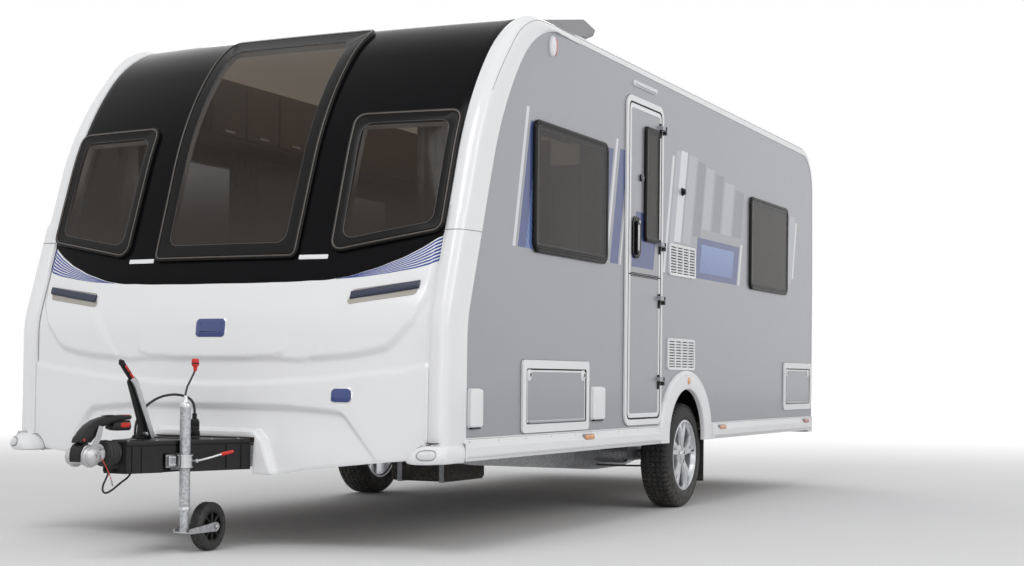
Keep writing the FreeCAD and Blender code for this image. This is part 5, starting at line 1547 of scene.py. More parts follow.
def make_side_windows(settings):
    """The windows of both side walls and the rear one, in their frames."""
    shape = Shape()
    for side, y0, y1, z0, z1 in SIDE_WINDOWS:
        since = shape.here()
        outline = rectangle(y0, y1, z0, z1, 0.055, 8)
        window_parts(shape, outline, "x", WALL_X)
        # Ribbed rails along the head and foot.
        for z, count, step in ((z1 - 0.0085, 3, -0.0075), (z0 + 0.0085, 4, 0.0085)):
            rail = Shape()
            rail.rod((WALL_X + 0.0165, y0 + 0.05, z), (WALL_X + 0.0165, y1 - 0.05, z), 0.0026, 8)
            shape.take(in_a_row(rail, count, (0.0, 0.0, step), "frame_black"))
        if side < 0:
            shape.mirrored(since, keep=False)
    half, z0, z1 = REAR_WINDOW
    outline = rectangle(-half, half, z0, z1, 0.05, 8)
    window_parts(shape, outline, "y", REAR_SKIN_Y - 0.006)
    shape.piece("side_and_rear_acrylic", "root", "acrylic",
        ("frame_black", "side_acrylic", "sealant_grey"), replaces="side_and_rear_windows")


DOOR_FRAME = (-0.426, 0.18, 0.533, 2.414)
DOOR_LEAF = (-0.384, 0.138, 0.575, 2.372)
DOOR_SPLIT = (1.394, 1.4)
DOOR_WINDOW = (-0.15, 0.08, 1.597, 2.267)
LEAF_FACE = 1.21
LEAF_BAND = 0.024
HINGES = [(0.76, "door_lower_leaf"), (1.24, "door_lower_leaf"), (1.56, "door_upper_leaf"),
          (2.25, "door_upper_leaf")]
HINGE_AT = (1.229, 0.162)


def leaf_band(shape, z_from, z_to, mark):
    """A band just inside the leaf's edge, from the split at z_from to the far end at z_to."""
    y0, y1 = DOOR_LEAF[0] + 0.002, DOOR_LEAF[1] - 0.002
    radius = 0.036
    corners = [(y0, z_from, 0), (y0, z_to, radius), (y1, z_to, radius), (y1, z_from, 0)]
    outer = rounded(corners, 8)
    end = z_to + math.copysign(LEAF_BAND, z_from - z_to)
    inner = rounded([(y0 + LEAF_BAND, z_from, 0), (y0 + LEAF_BAND, end, radius - 0.018),
        (y1 - LEAF_BAND, end, radius - 0.018), (y1 - LEAF_BAND, z_from, 0)], 8)
    shape.strip(outer, inner, "x", LEAF_FACE - 0.0005, LEAF_FACE + 0.0022, mark)


def make_door(settings):
    """The door's frame and hinges, both leaves' bands, the window and the handle."""
    seals = Shape()
    outline = rectangle(*DOOR_FRAME, 0.07, 8)
    seals.ringed(outline, "x", [(0.0335, 0.0), (0.0335, 0.0132), (0.0355, 0.0138), (0.0378, 0.0128),
        (0.0378, 0.0)], base=WALL_X)
    seals.ringed(outline, "x", [(-0.0025, 0.0), (-0.0025, 0.0012), (0.0005, 0.0012), (0.0005, 0.0)],
        base=WALL_X)
    for z, _ in HINGES:
        seals.rod((*HINGE_AT, z - 0.0004), (*HINGE_AT, z + 0.0244), 0.0084, 20)
        seals.slab(rectangle(0.1535, 0.1705, z - 0.0004, z + 0.0244, 0.003, 3), "x", 0.0115, 0.029,
            base=WALL_X)
    seals.piece("door_seals_and_hinges", "root", "rubber", ["rubber_black"])

    lower = Shape()
    leaf_band(lower, DOOR_SPLIT[0] - 0.001, DOOR_LEAF[2] + 0.002, 0)
    lower.slab(rectangle(-0.355, 0.11, 1.3865, 1.3915, 0.002, 2), "x", 0.0095, 0.0118, 1, base=WALL_X)
    upper = Shape()
    leaf_band(upper, DOOR_SPLIT[1] + 0.001, DOOR_LEAF[3] - 0.002, 0)
    upper.slab(rectangle(-0.355, 0.11, 1.403, 1.408, 0.002, 2), "x", 0.0095, 0.0118, 1, base=WALL_X)
    for z, body in HINGES:
        leaf = upper if body == "door_upper_leaf" else lower
        leaf.rod((*HINGE_AT, z + 0.0256), (*HINGE_AT, z + 0.0504), 0.0084, 20, mark=1)
        leaf.slab(rectangle(0.1095, 0.1305, z - 0.022, z + 0.064, 0.006, 5), "x", 0.0095, 0.019, 1, 0.003,
            base=WALL_X)
    glass = Shape()
    window_parts(glass, rectangle(*DOOR_WINDOW, 0.034, 8), "x", LEAF_FACE, 0.72)
    glass.piece("door_window_acrylic", "door_upper_leaf", "acrylic",
        ("frame_black", "side_acrylic", "sealant_grey"), replaces="door_window")
    # Handle plate with its silver grip, and the hold-back catch.
    plate = rectangle(-0.337, -0.209, 1.489, 1.73, 0.052, 10)
    upper.stacked(plate, "x", [(0.0, 0.0095), (0.0, 0.0185), (0.004, 0.0212), (0.012, 0.0218)], 1,
        base=WALL_X)
    grip = rectangle(-0.3115, -0.2685, 1.5085, 1.7015, 0.019, 8)
    upper.stacked(grip, "x", [(0.0, 0.02), (-0.0005, 0.033), (0.004, 0.0352), (0.01, 0.0358)], 1,
        base=WALL_X)
    upper.stacked(rectangle(-0.302, -0.278, 1.53, 1.68, 0.01, 6), "x",
        [(0.0, 0.035), (0.0, 0.0364), (0.002, 0.0372)], 2, base=WALL_X)
    upper.lathe([(0, 0.021), (0.01, 0.021), (0.01, 0.0228), (0.008, 0.0236), (0, 0.0236)],
        (WALL_X, -0.238, 1.7), X_AXIS, 24, mark=2)
    upper.lathe([(0, 0.0095), (0.0208, 0.0095), (0.0208, 0.02), (0.017, 0.0245), (0.008, 0.025),
        (0.007, 0.0225), (0, 0.0225)], (WALL_X, -0.198, 1.958), X_AXIS, 28, mark=1)
    finishes = ("plastic_white", "frame_black", "zinc_bright")
    lower.piece("door_lower_trim", "door_lower_leaf", "white_plastic", finishes)
    upper.piece("door_upper_trim", "door_upper_leaf", "white_plastic", finishes)


HATCHES = [("hatch_front", -1.807, -0.953, 0.527, 0.889), ("hatch_rear", 2.842, 3.6, 0.577, 0.929)]


def make_hatches(settings):
    """Seals round the two locker hatches, with their catches and inner lines."""
    seals = Shape()
    for body, y0, y1, z0, z1 in HATCHES:
        seals.ringed(rectangle(y0 + 0.0425, y1 - 0.0425, z0 + 0.0425, z1 - 0.0425, 0.012, 6), "x",
            [(0.0, 0.0), (0.0, 0.0125), (0.002, 0.013), (0.0045, 0.0122), (0.0045, 0.0)], base=WALL_X)
        seals.ringed(rectangle(y0, y1, z0, z1, 0.024, 6), "x",
            [(-0.002, 0.0), (-0.002, 0.001), (0.0005, 0.001), (0.0005, 0.0)], base=WALL_X)
        trim = Shape()
        for y in (y0 + 0.08, y1 - 0.08):
            at = (WALL_X, y, z1 - 0.074)
            trim.lathe([(0, 0.007), (0.03, 0.007), (0.03, 0.0092), (0.026, 0.011), (0.0172, 0.0115),
                (0.0172, 0.0165), (0.016, 0.0182), (0, 0.0182)], at, X_AXIS, 32)
            trim.lathe([(0, 0.0178), (0.0105, 0.0178), (0.0105, 0.0188), (0.0095, 0.0194), (0, 0.0194)],
                at, X_AXIS, 24, mark=1)
            trim.slab(rectangle(y - 0.0012, y + 0.0012, z1 - 0.08, z1 - 0.068), "x", 0.019, 0.0197, 2,
                base=WALL_X)
        trim.ringed(rectangle(y0 + 0.051, y1 - 0.051, z0 + 0.051, z1 - 0.051, 0.012, 5), "x",
            [(0.0, 0.006), (0.0, 0.0092), (0.003, 0.0098), (0.009, 0.0092), (0.009, 0.006)], base=WALL_X)
        trim.piece(body + "_trim", body, "white_plastic", ("plastic_white", "plastic_black",
            "zinc_bright"))
    seals.piece("hatch_seals", "root", "rubber", ["rubber_black"])


VENTS = [(0.313, 0.799, 1.429, 1.623), (0.298, 0.797, 0.855, 1.047)]
COVERS = [(1, -2.396, -2.262, 0.566, 0.748), (1, -0.908, -0.736, 0.574, 0.755),
          (-1, -0.9, -0.7, 0.62, 0.82), (-1, 1.5, 1.7, 0.7, 0.9)]


def make_vents(settings):
    """Louvred vents with four banks of slats, service covers and the door's catch."""
    shape = Shape()
    for y0, y1, z0, z1 in VENTS:
        outline = rectangle(y0, y1, z0, z1, 0.022, 6)
        shape.ringed(outline, "x", [(0.0, 0.0), (0.0, 0.0085), (0.003, 0.0115), (0.014, 0.012),
            (0.017, 0.01), (0.017, 0.0)], base=WALL_X)
        shape.stacked(outline, "x", [(0.016, 0.0), (0.016, 0.0022)], 1, base=WALL_X)
        rows, banks = 9, 4
        pitch = (z1 - z0 - 0.04) / rows
        inner = y1 - y0 - 0.036
        slat = Shape()
        slat.sweep([(1.2062, y0 + 0.017, z0 + 0.02 + pitch * 0.5),
            (1.2062, y1 - 0.017, z0 + 0.02 + pitch * 0.5)], [(0.0032, -0.0058), (0.005, -0.004),
            (-0.0015, 0.0058), (-0.0035, 0.005)])
        shape.take(in_a_row(slat, rows, (0.0, 0.0, pitch)))
        post = Shape()
        post.slab(rectangle(y0 + 0.018 + inner / banks - 0.007, y0 + 0.018 + inner / banks + 0.007,
            z0 + 0.016, z1 - 0.016), "x", 0.001, 0.0112, bevel=0.0015, base=WALL_X)
        shape.take(in_a_row(post, banks - 1, (0.0, inner / banks, 0.0)))
        for y in (y0 + 0.008, y1 - 0.008):
            for z in (z0 + 0.01, z1 - 0.01):
                shape.lathe([(0, 0.0112), (0.0035, 0.0112), (0.003, 0.0126), (0, 0.013)], (WALL_X, y, z),
                    X_AXIS, 12)
    for side, y0, y1, z0, z1 in COVERS:
        since = shape.here()
        outline = rectangle(y0, y1, z0, z1, 0.018, 6)
        shape.stacked(outline, "x", [(0.0, 0.0), (0.0, 0.005), (0.002, 0.006), (0.003, 0.0075),
            (0.0035, 0.017), (0.008, 0.0212), (0.015, 0.0222)], base=WALL_X)
        shape.slab(rectangle(y0 + 0.02, y1 - 0.02, z0 - 0.006, z0 + 0.004, 0.003, 3), "x", 0.0, 0.016, 1,
            0.002, base=WALL_X)
        if side < 0:
            shape.mirrored(since, keep=False)
    shape.lathe([(0, 0.0), (0.025, 0.0), (0.025, 0.004), (0.022, 0.006), (0.018, 0.014), (0.02, 0.019),
        (0.016, 0.0215), (0, 0.022)], (WALL_X, 0.553, 1.956), X_AXIS, 32, mark=2)
    shape.piece("vents_and_covers", "root", "white_plastic", ("plastic_white", "plastic_black",
        "frame_black"), replaces="wall_fittings")


def lens_on(shape, centre, axis, half_side, half_up, depth, mark, base=0.0, power=2.0):
    """A domed oval lens standing out along axis, its other half-size upright."""
    axis = Vector(axis).normalized()
    side = Vector(Z_AXIS).cross(axis).normalized()
    up = axis.cross(side)
    rings = []
    for scale, out in ((1.0, -base), (1.0, depth * 0.25), (0.96, depth * 0.55), (0.82, depth * 0.85),
            (0.5, depth)):
        rings.append([Vector(centre) + side * a + up * b + axis * out
            for a, b in oval(0, 0, half_side * scale, half_up * scale, 32, power)])
    shape.rings(rings, mark)


def make_lamps(settings):
    """Awning lamp, high marker lamps and the rear lamp clusters."""
    shape = Shape()
    shape.stacked(rectangle(-0.312, 0.062, 2.476, 2.508, 0.014, 6), "x",
        [(0.0, 0.0), (0.0, 0.008), (0.002, 0.01), (0.006, 0.0105)], base=WALL_X)
    shape.stacked(rectangle(-0.296, 0.046, 2.48, 2.504, 0.011, 6), "x",
        [(0.0, 0.01), (0.0, 0.015), (0.003, 0.019), (0.008, 0.02)], 1, base=WALL_X)
    since = shape.here()
    marker = oval(-1.47, 2.486, 0.034, 0.055, 36, 2.2)
    shape.stacked(marker, "x", [(0.0, 0.0), (0.0, 0.004), (0.003, 0.01), (0.009, 0.016), (0.018, 0.02),
        (0.026, 0.021)], base=WALL_X)
    lens_on(shape, (1.2045, -1.449, 2.486), X_AXIS, 0.0155, 0.047, 0.0165, 3, 0.002)
    front = REAR_SKIN_Y
    for z0, z1, colours in ((0.8, 0.96, (3, 2)), (0.56, 0.76, (1, 3))):
        shape.stacked(rectangle(1.0, 1.11, z0, z1, 0.02, 6), "y",
            [(0.0, front - 0.03), (0.0, front + 0.003), (0.003, front + 0.006), (0.008, front + 0.0065)],
            4)
        middle = (z0 + z1) / 2
        for (low, high), mark in zip(((z0 + 0.01, middle - 0.002), (middle + 0.002, z1 - 0.01)), colours):
            shape.stacked(rectangle(1.01, 1.1, low, high, 0.012, 5), "y",
                [(0.0, front), (0.0, front + 0.0085), (0.003, front + 0.0105), (0.012, front + 0.0115)],
                mark)
    shape.mirrored(since)
    shape.stacked(rectangle(-0.15, 0.15, 2.155, 2.18, 0.01, 5), "y",
        [(0.0, front - 0.05), (0.0, front + 0.004), (0.003, front + 0.007)], 3)
    shape.piece("outside_lamps", "root", "lens", ("plastic_white", "lens_clear", "lens_amber", "lens_red",
        "plastic_black"), replaces="exterior_lamps")


def make_trims(settings):
    """Lamps, end caps, screws and lines along the skirt, and a lamp over each wheel arch."""
    shape = Shape()
    for y, mark in ((-0.985, 1), (1.326, 1), (3.41, 2)):
        shape.stacked(rectangle(y - 0.068, y + 0.068, 0.471, 0.503, 0.014, 6), "x",
            [(0.0, 0.01), (0.0, 0.03), (0.002, 0.0312)], 3, base=WALL_X)
        shape.stacked(rectangle(y - 0.064, y + 0.064, 0.4745, 0.4995, 0.012, 6), "x",
            [(0.0, 0.029), (0.0, 0.033), (0.003, 0.035), (0.008, 0.0356)], mark, base=WALL_X)
    shape.stacked(rectangle(0.59, 0.658, 0.76, 0.818, 0.026, 8), "x",
        [(0.0, 0.027), (0.0, 0.0305), (0.002, 0.0316)], 0, base=WALL_X)
    shape.stacked(rectangle(0.6, 0.648, 0.766, 0.812, 0.022, 8), "x",
        [(0.0, 0.03), (0.0, 0.033), (0.004, 0.035), (0.01, 0.0357)], 1, base=WALL_X)
    for y0, y1 in ((-2.466, 0.146), (1.134, 3.556)):
        for z, out in ((0.5145, 0.0125), (0.43, 0.024)):
            shape.slab(rectangle(y0, y1, z - 0.001, z + 0.001), "x", out - 0.004, out + 0.0006, 3,
                base=WALL_X)
        for y in (y0, y1):
            shape.slab(rectangle(y - 0.014, y + 0.014, 0.418, 0.517, 0.004, 3), "x", 0.0, 0.033,
                bevel=0.003, base=WALL_X)
    screw = Shape()
    screw.lathe([(0, 0.0), (0.0042, 0.0), (0.0038, 0.0016), (0.0014, 0.0022), (0, 0.0012)],
        (1.2152, -2.4, 0.503), X_AXIS, 12)
    shape.take(in_a_row(screw, 9, (0.0, 0.3125, 0.0), "zinc_bright"), 4)
    shape.mirrored()
    shape.piece("skirt_lamps_and_lines", "root", "lens", ("plastic_white", "lens_amber", "lens_red",
        "plastic_grey", "zinc_bright"))


# Half ellipses that bound the wheel arch trim: middle, half width, spring line, top.
TRIM_OUTER = (0.64, 0.485, 0.45, 0.854)
TRIM_INNER = (0.622, 0.332, 0.437, 0.737)
# The trim's section: share of the way in from its outer edge, and how far out it stands.
TRIM_SECTION = [(0.0, 1.1998), (0.0, 1.205), (0.015, 1.2105), (0.06, 1.218), (0.12, 1.224),
                (0.18, 1.2265), (0.22, 1.2268), (0.25, 1.2255), (0.29, 1.226), (0.6, 1.2285),
                (0.9, 1.2298), (0.965, 1.2285), (0.993, 1.225), (1.0, 1.22), (1.0, 1.1998)]


def arch_line(limits):
    """Points (y, z) up one leg, over half an ellipse and down the other leg."""
    middle, half, spring, top = limits
    turns = np.linspace(math.pi, 0.0, 65)
    y = middle + half * np.cos(turns)
    z = spring + (top - spring) * np.sin(turns)
    leg = np.linspace(0.4145, spring, 4)[:-1]
    return np.column_stack([np.concatenate([np.full(3, middle - half), y, np.full(3, middle + half)]),
        np.concatenate([leg, z, leg[::-1]])])


def make_arches(settings):
    """Smooth arches over the wheels, with a soft ridge along their outer edge."""
    shape = Shape()
    outer, inner = arch_line(TRIM_OUTER), arch_line(TRIM_INNER)
    shape.rings([[(x, *(a * (1 - share) + b * share)) for share, x in TRIM_SECTION]
        for a, b in zip(outer, inner)])
    shape.mirrored()
    shape.piece("wheel_arches_ridged", "root", "white_plastic", ["plastic_white"], 50,
        replaces="wheel_arch_trims")


# The bumper corner, level by level: height, inner side, front, outer side.
POD_LEVELS = [(0.41, 1.066, -2.755, 1.216), (0.412, 1.054, -2.766, 1.226),
              (0.419, 1.048, -2.774, 1.233), (0.44, 1.054, -2.778, 1.2355),
              (0.46, 1.068, -2.772, 1.2355), (0.478, 1.088, -2.757, 1.233),
              (0.492, 1.112, -2.733, 1.226), (0.501, 1.136, -2.704, 1.216),
              (0.505, 1.158, -2.672, 1.2)]


POD_LAMP_WAY = (0.5, -0.87)
POD_LAMP_Z = 0.453


def pod_plan(inner, front, outer):
    """The pod's outline at one level, rearwards on both sides to the wheel-side joint."""
    return rounded([(inner, -2.47, 0.004), (inner + 0.012, front + 0.05, 0.05),
        (inner + 0.05, front, 0.04), (outer - 0.04, front + 0.018, 0.055), (outer, front + 0.11, 0.07),
        (outer, -2.47, 0.004)], 7)


def on_pod(along, z, out):
    """A point on the pod, along its outline from where it faces the lamp's way, and out from it."""
    sizes = [np.interp(z, [p[0] for p in POD_LEVELS], [p[k] for p in POD_LEVELS]) for k in (1, 2, 3)]
    line = np.array([tuple(p) for p in pod_plan(*sizes)])
    arc = np.concatenate([[0.0], np.cumsum(np.hypot(*np.diff(line, axis=0).T))])
    start = arc[np.argmax(line @ np.array(POD_LAMP_WAY))] + along

    def at(place):
        return Vector((np.interp(place, arc, line[:, 0]), np.interp(place, arc, line[:, 1])))

    tangent = (at(start + 0.004) - at(start - 0.004)).normalized()
    normal = Vector((tangent.y, -tangent.x))
    if normal.dot(Vector(POD_LAMP_WAY)) < 0:
        normal = -normal
    place = at(start) + normal * out
    return (place.x, place.y, z)


def make_pods(settings):
    """Domed bumper corners, each with a clear marker lamp in its front."""
    shape = Shape()
    shape.rings([[(x, y, z) for x, y in pod_plan(inner, front, outer)]
        for z, inner, front, outer in POD_LEVELS])
    # The lamp: an oval lens in a grey surround, following the pod's own curve.
    for half_side, half_up, mark, steps in ((0.043, 0.0205, 1,
            ((1.0, -0.004), (1.0, 0.003), (0.95, 0.0046), (0.8, 0.0056), (0.4, 0.0062))),
            (0.048, 0.025, 2, ((1.0, -0.004), (1.0, 0.0012), (0.97, 0.002), (0.8, 0.002)))):
        shape.rings([[on_pod(a, POD_LAMP_Z + b, out) for a, b in oval(0, 0, half_side * scale,
            half_up * scale, 32, 2.4)] for scale, out in steps], mark)
    # The joint between the pod and the front moulding: a grey bead, as painted shade for the shadow gap
    # along it.
    line = [(inner - 0.003, z) for z, inner, _, _ in POD_LEVELS if inner < CORNER_X]
    shape.sweep([tuple(front_points(x, float(reach_of(z)), 0.005)) for x, z in line], circle(0.0024, 8),
        mark=2)
    # The joint with the skirt rail.
    shape.slab(rectangle(1.19, 1.2362, -2.482, -2.478, 0.001, 2), "z", 0.415, 0.499, 2)
    shape.mirrored()
    shape.piece("front_bumper_corners", "root", "white_plastic",
        ("plastic_white", "lens_clear", "plastic_grey"), 50, replaces="front_pods")


def make_rear(settings):
    """Grab handles, a blank plate and lines on the rear panel."""
    shape = Shape()
    y = REAR_SKIN_Y
    for x in (-0.88, 0.88):
        shape.slab(rectangle(x - 0.15, x + 0.15, 1.215, 1.262, 0.012, 5), "y", y - 0.004, y + 0.003,
            bevel=0.001)
        shape.slab(rectangle(x - 0.13, x + 0.13, 1.228, 1.249, 0.008, 5), "y", y, y + 0.0105, 1, 0.003)
    shape.stacked(rectangle(-0.29, 0.29, 0.7, 0.84, 0.012, 5), "y", [(0.0, y - 0.01), (0.0, y + 0.003),
        (0.002, y + 0.0045)], 1)
    shape.slab(rectangle(-0.262, 0.262, 0.715, 0.826, 0.006, 4), "y", y + 0.002, y + 0.0058, 2)
    for z in (0.52, 1.12, 1.33):
        shape.slab(rectangle(-1.15, 1.15, z - 0.0015, z + 0.0015), "y", y - 0.012, y + 0.0008, 3)
    shape.piece("rear_handles_and_plate", "root", "white_plastic",
        ("plastic_white", "frame_black", "lens_clear", "plastic_grey"))


# ------------------------------------------------------------------ wheels and chassis
TREAD_PITCHES = 62
TREAD_RADIUS = 0.3247          # from the axle to the tops of the tread blocks
TYRE_HALF_WIDTH = 0.0975
SPOKES = 5
NUT_RADIUS = 0.051             # from the axle to the wheel nuts


def make_wheels(settings):
    """Treaded tyres and five-spoke alloy rims."""
    for side, name in SIDES:
        centre = (AXLE_X, *AXLE)
        tyre = Shape()
        half = TYRE_HALF_WIDTH
        section = rounded([(0.232, -half, 0.012), (0.2125, -half + 0.012, 0.004),
            (0.2125, half - 0.012, 0.004), (0.232, half, 0.012), (0.262, half + 0.0038, 0.055),
            (0.317, half - 0.02, 0.026), (0.317, -half + 0.02, 0.026), (0.262, -half - 0.0038, 0.055)], 6)
        tyre.lathe(section, centre, X_AXIS, 96, closed=True)
        for along in (half - 0.006, half + 0.0012):
            low = 0.244 if along > half else 0.236
            tyre.lathe([(low, along - 0.002), (low + 0.003, along + 0.0005),
                (low + 0.006, along - 0.002)], centre, X_AXIS, 72, closed=True)
        # One pitch of the tread: three middle blocks, two ribs and two shoulder blocks.
        top = AXLE[1] + TREAD_RADIUS
        pitch = 2 * math.pi * TREAD_RADIUS / TREAD_PITCHES
        block = Shape()
        for low, high, skew, length in ((-0.013, 0.013, 0.0, 0.8), (-0.044, -0.02, 0.006, 0.78),
                (0.02, 0.044, -0.006, 0.78)):
            y = AXLE[0] - pitch * length / 2
            plan = [(AXLE_X + low, y - skew), (AXLE_X + high, y + skew),
                (AXLE_X + high, y + skew + pitch * length), (AXLE_X + low, y - skew + pitch * length)]
            block.stacked(plan, "z", [(0.0, top - 0.012), (0.0, top - 0.001), (0.0008, top)])
        for way in BOTH_SIDES:
            y0, y1 = AXLE[0] - pitch * 0.36, AXLE[0] + pitch * 0.36
            lines = []
            for y in (y0, y1):
                lines.append([(AXLE_X + way * a, y, AXLE[1] + r) for a, r in ((0.051, 0.3245),
                    (0.07, 0.3225), (0.082, 0.315), (0.0895, 0.303), (0.088, 0.299), (0.07, 0.308),
                    (0.051, 0.312))])
            block.rings(lines)
        tyre.take(around(block, TREAD_PITCHES, centre, X_AXIS, "tyre_rubber"))
        if side < 0:
            tyre.mirrored(keep=False)
        tyre.piece("tyre_treaded_" + name, "wheel_" + name, "tyre", ["tyre_rubber"], 32,
            replaces="tyre_" + name)

        rim = Shape()
        rim.lathe([(0.217, 0.093), (0.2198, 0.0912), (0.2198, 0.087), (0.2115, 0.082), (0.209, 0.06),
            (0.209, -0.08), (0.217, -0.088), (0.217, -0.0912), (0.207, -0.0912), (0.199, -0.08),
            (0.199, 0.056), (0.202, 0.07), (0.204, 0.074), (0.2045, 0.083), (0.2085, 0.09),
            (0.21, 0.093)], centre, X_AXIS, 96, closed=True)
        for lean in (-1, 1):
            spoke = Shape()
            rings = []
            for share in np.linspace(0, 1, 9):
                radius = 0.046 + 0.1605 * share
                turn = lean * (0.075 + 0.15 * share ** 1.15)
                wide = 0.0185 - 0.003 * share + 0.0045 * smooth_step(share, 0.8, 1.0)
                front = 0.0735 + 0.0045 * math.sin(math.pi * share) + 0.003 * share
                back = 0.043 + 0.006 * share
                y, z = AXLE[0] + radius * math.sin(turn), AXLE[1] + radius * math.cos(turn)
                side_y, side_z = math.cos(turn), -math.sin(turn)
                rings.append([(AXLE_X + x, y + side_y * w, z + side_z * w) for w, x in ((-wide, back),
                    (wide, back), (wide, front - 0.006), (wide * 0.8, front), (-wide * 0.8, front),
                    (-wide, front - 0.006))])
            spoke.rings(rings)
            rim.take(around(spoke, SPOKES, centre, X_AXIS, "alloy_silver"))
        web = Shape()
        web.rings([[(AXLE_X + x, AXLE[0] + y * w, AXLE[1] + z) for y, z in ((-0.012, 0.05), (0.012, 0.05),
            (0.016, 0.096), (0.0, 0.112), (-0.016, 0.096))] for x, w in ((0.048, 1.0), (0.062, 1.0),
            (0.066, 0.8))])
        rim.take(around(web, SPOKES, centre, X_AXIS, "alloy_silver"))
        rim.lathe([(0.0245, 0.04), (0.068, 0.04), (0.072, 0.044), (0.07, 0.064), (0.062, 0.072),
            (0.048, 0.075), (0.036, 0.074), (0.034, 0.07), (0.0245, 0.07)], centre, X_AXIS, 64,
            closed=True)
        rim.lathe([(0.0, 0.064), (0.0325, 0.064), (0.0325, 0.074), (0.03, 0.0775), (0.02, 0.0795),
            (0.0, 0.08)], centre, X_AXIS, 40)
        well = Shape()
        well.lathe([(0.0, 0.0705), (0.0105, 0.0705), (0.0105, 0.0752), (0.009, 0.0758), (0.0, 0.0758)],
            (AXLE_X, AXLE[0], AXLE[1] + NUT_RADIUS), X_AXIS, 20)
        rim.take(around(well, SPOKES, centre, X_AXIS, "steel_dark"), 1)
        nut = Shape()
        nut.lathe([(0.0, 0.075), (0.0078, 0.075), (0.0078, 0.0776), (0.006, 0.079), (0.0, 0.079)],
            (AXLE_X, AXLE[0], AXLE[1] + NUT_RADIUS), X_AXIS, 6)
        rim.take(around(nut, SPOKES, centre, X_AXIS, "zinc_bright"), 2)
        rim.rod((AXLE_X + 0.076, AXLE[0] + 0.187, AXLE[1] + 0.02),
            (AXLE_X + 0.09, AXLE[0] + 0.183, AXLE[1] + 0.019), 0.0042, 12, mark=1)
        if side < 0:
            rim.mirrored(keep=False)
        rim.piece("rim_five_spoke_" + name, "wheel_" + name, "alloy",
            ("alloy_silver", "steel_dark", "zinc_bright"), 35, replaces="rim_" + name)


def make_chassis(settings):
    """Bolts, hole flanges, brackets and brake rods under the floor."""
    shape = Shape()
    for y0 in (-1.13, -0.715, 1.25, 1.8):
        shape.ringed(rectangle(y0 - 0.004, y0 + 0.324, 0.348, 0.448, 0.044, 8), "x",
            [(0.0, 0.689), (0.0, 0.692), (0.004, 0.6935), (0.0085, 0.692), (0.0085, 0.689)])
    bolt = Shape()
    bolt.rod((0.6895, -1.9, 0.438), (0.6975, -1.9, 0.438), 0.0095, 6)
    bolt.rod((0.689, -1.9, 0.438), (0.6912, -1.9, 0.438), 0.0125, 20)
    shape.take(in_a_row(bolt, 5, (0.0, 0.12, 0.0), "zinc_bright"), 1)
    bolt = Shape()
    bolt.rod((0.6895, 2.5, 0.445), (0.696, 2.5, 0.445), 0.008, 6)
    shape.take(in_a_row(bolt, 5, (0.0, 0.18, 0.0), "zinc_bright"), 1)
    for y, z in ((0.48, 0.39), (0.59, 0.39), (0.48, 0.345), (0.59, 0.345)):
        shape.rod((0.69, y, z), (0.699, y, z), 0.01, 6, mark=1)
    # Plates that stiffen the member beside the axle.
    shape.slab(rounded([(0.445, 0.345, 0.01), (0.625, 0.345, 0.01), (0.655, 0.44, 0.02),
        (0.415, 0.44, 0.02)], 5), "x", 0.6895, 0.693)
    shape.mirrored()
    # Brake rod and its compensator along the middle, with cables out to the drums.
    shape.rod((0.0, -2.45, 0.425), (0.0, 0.3, 0.36), 0.0055, 12, mark=1)
    shape.slab(rectangle(-0.08, 0.08, 0.3, 0.316, 0.004, 3), "z", 0.352, 0.368, 1)
    for side in BOTH_SIDES:
        path = [(side * 0.07, 0.306, 0.36), (side * 0.2, 0.4, 0.345), (side * 0.6, 0.43, 0.27),
            (side * 0.9, 0.56, 0.255), (side * 0.948, 0.64, 0.262)]
        shape.sweep(smoothed(path, 6), circle(0.006, 10), mark=2)
    shape.piece("chassis_fasteners", "root", "galvanised", ("galvanised", "zinc_bright", "cable_black"))

    shape = Shape()
    for x in (-0.012, 0.258):
        shape.slab(rectangle(x, x + 0.03, 0.2005, 0.4795, 0.003, 2), "y", -0.855, -0.85)
        shape.slab(rectangle(x, x + 0.03, -0.855, -0.345, 0.003, 2), "z", 0.199, 0.2035)
    shape.piece("tank_straps", "root", "galvanised", ["galvanised"])


def smoothed(points, steps):
    """A smooth open line through the points."""
    points = np.array(points, float)
    ends = np.concatenate([[2 * points[0] - points[1]], points, [2 * points[-1] - points[-2]]])
    line = []
    for i in range(1, len(ends) - 2):
        p0, p1, p2, p3 = ends[i - 1:i + 3]
        for t in np.linspace(0, 1, steps, endpoint=False):
            line.append(0.5 * (2 * p1 + (p2 - p0) * t + (2 * p0 - 5 * p1 + 4 * p2 - p3) * t ** 2
                + (3 * p1 - p0 - 3 * p2 + p3) * t ** 3))
    line.append(points[-1])
    return line


# ------------------------------------------------------------------ hitch
SHAFT_Z = 0.456
BALL_AT = (-3.642, 0.447)      # y, z of the friction pads


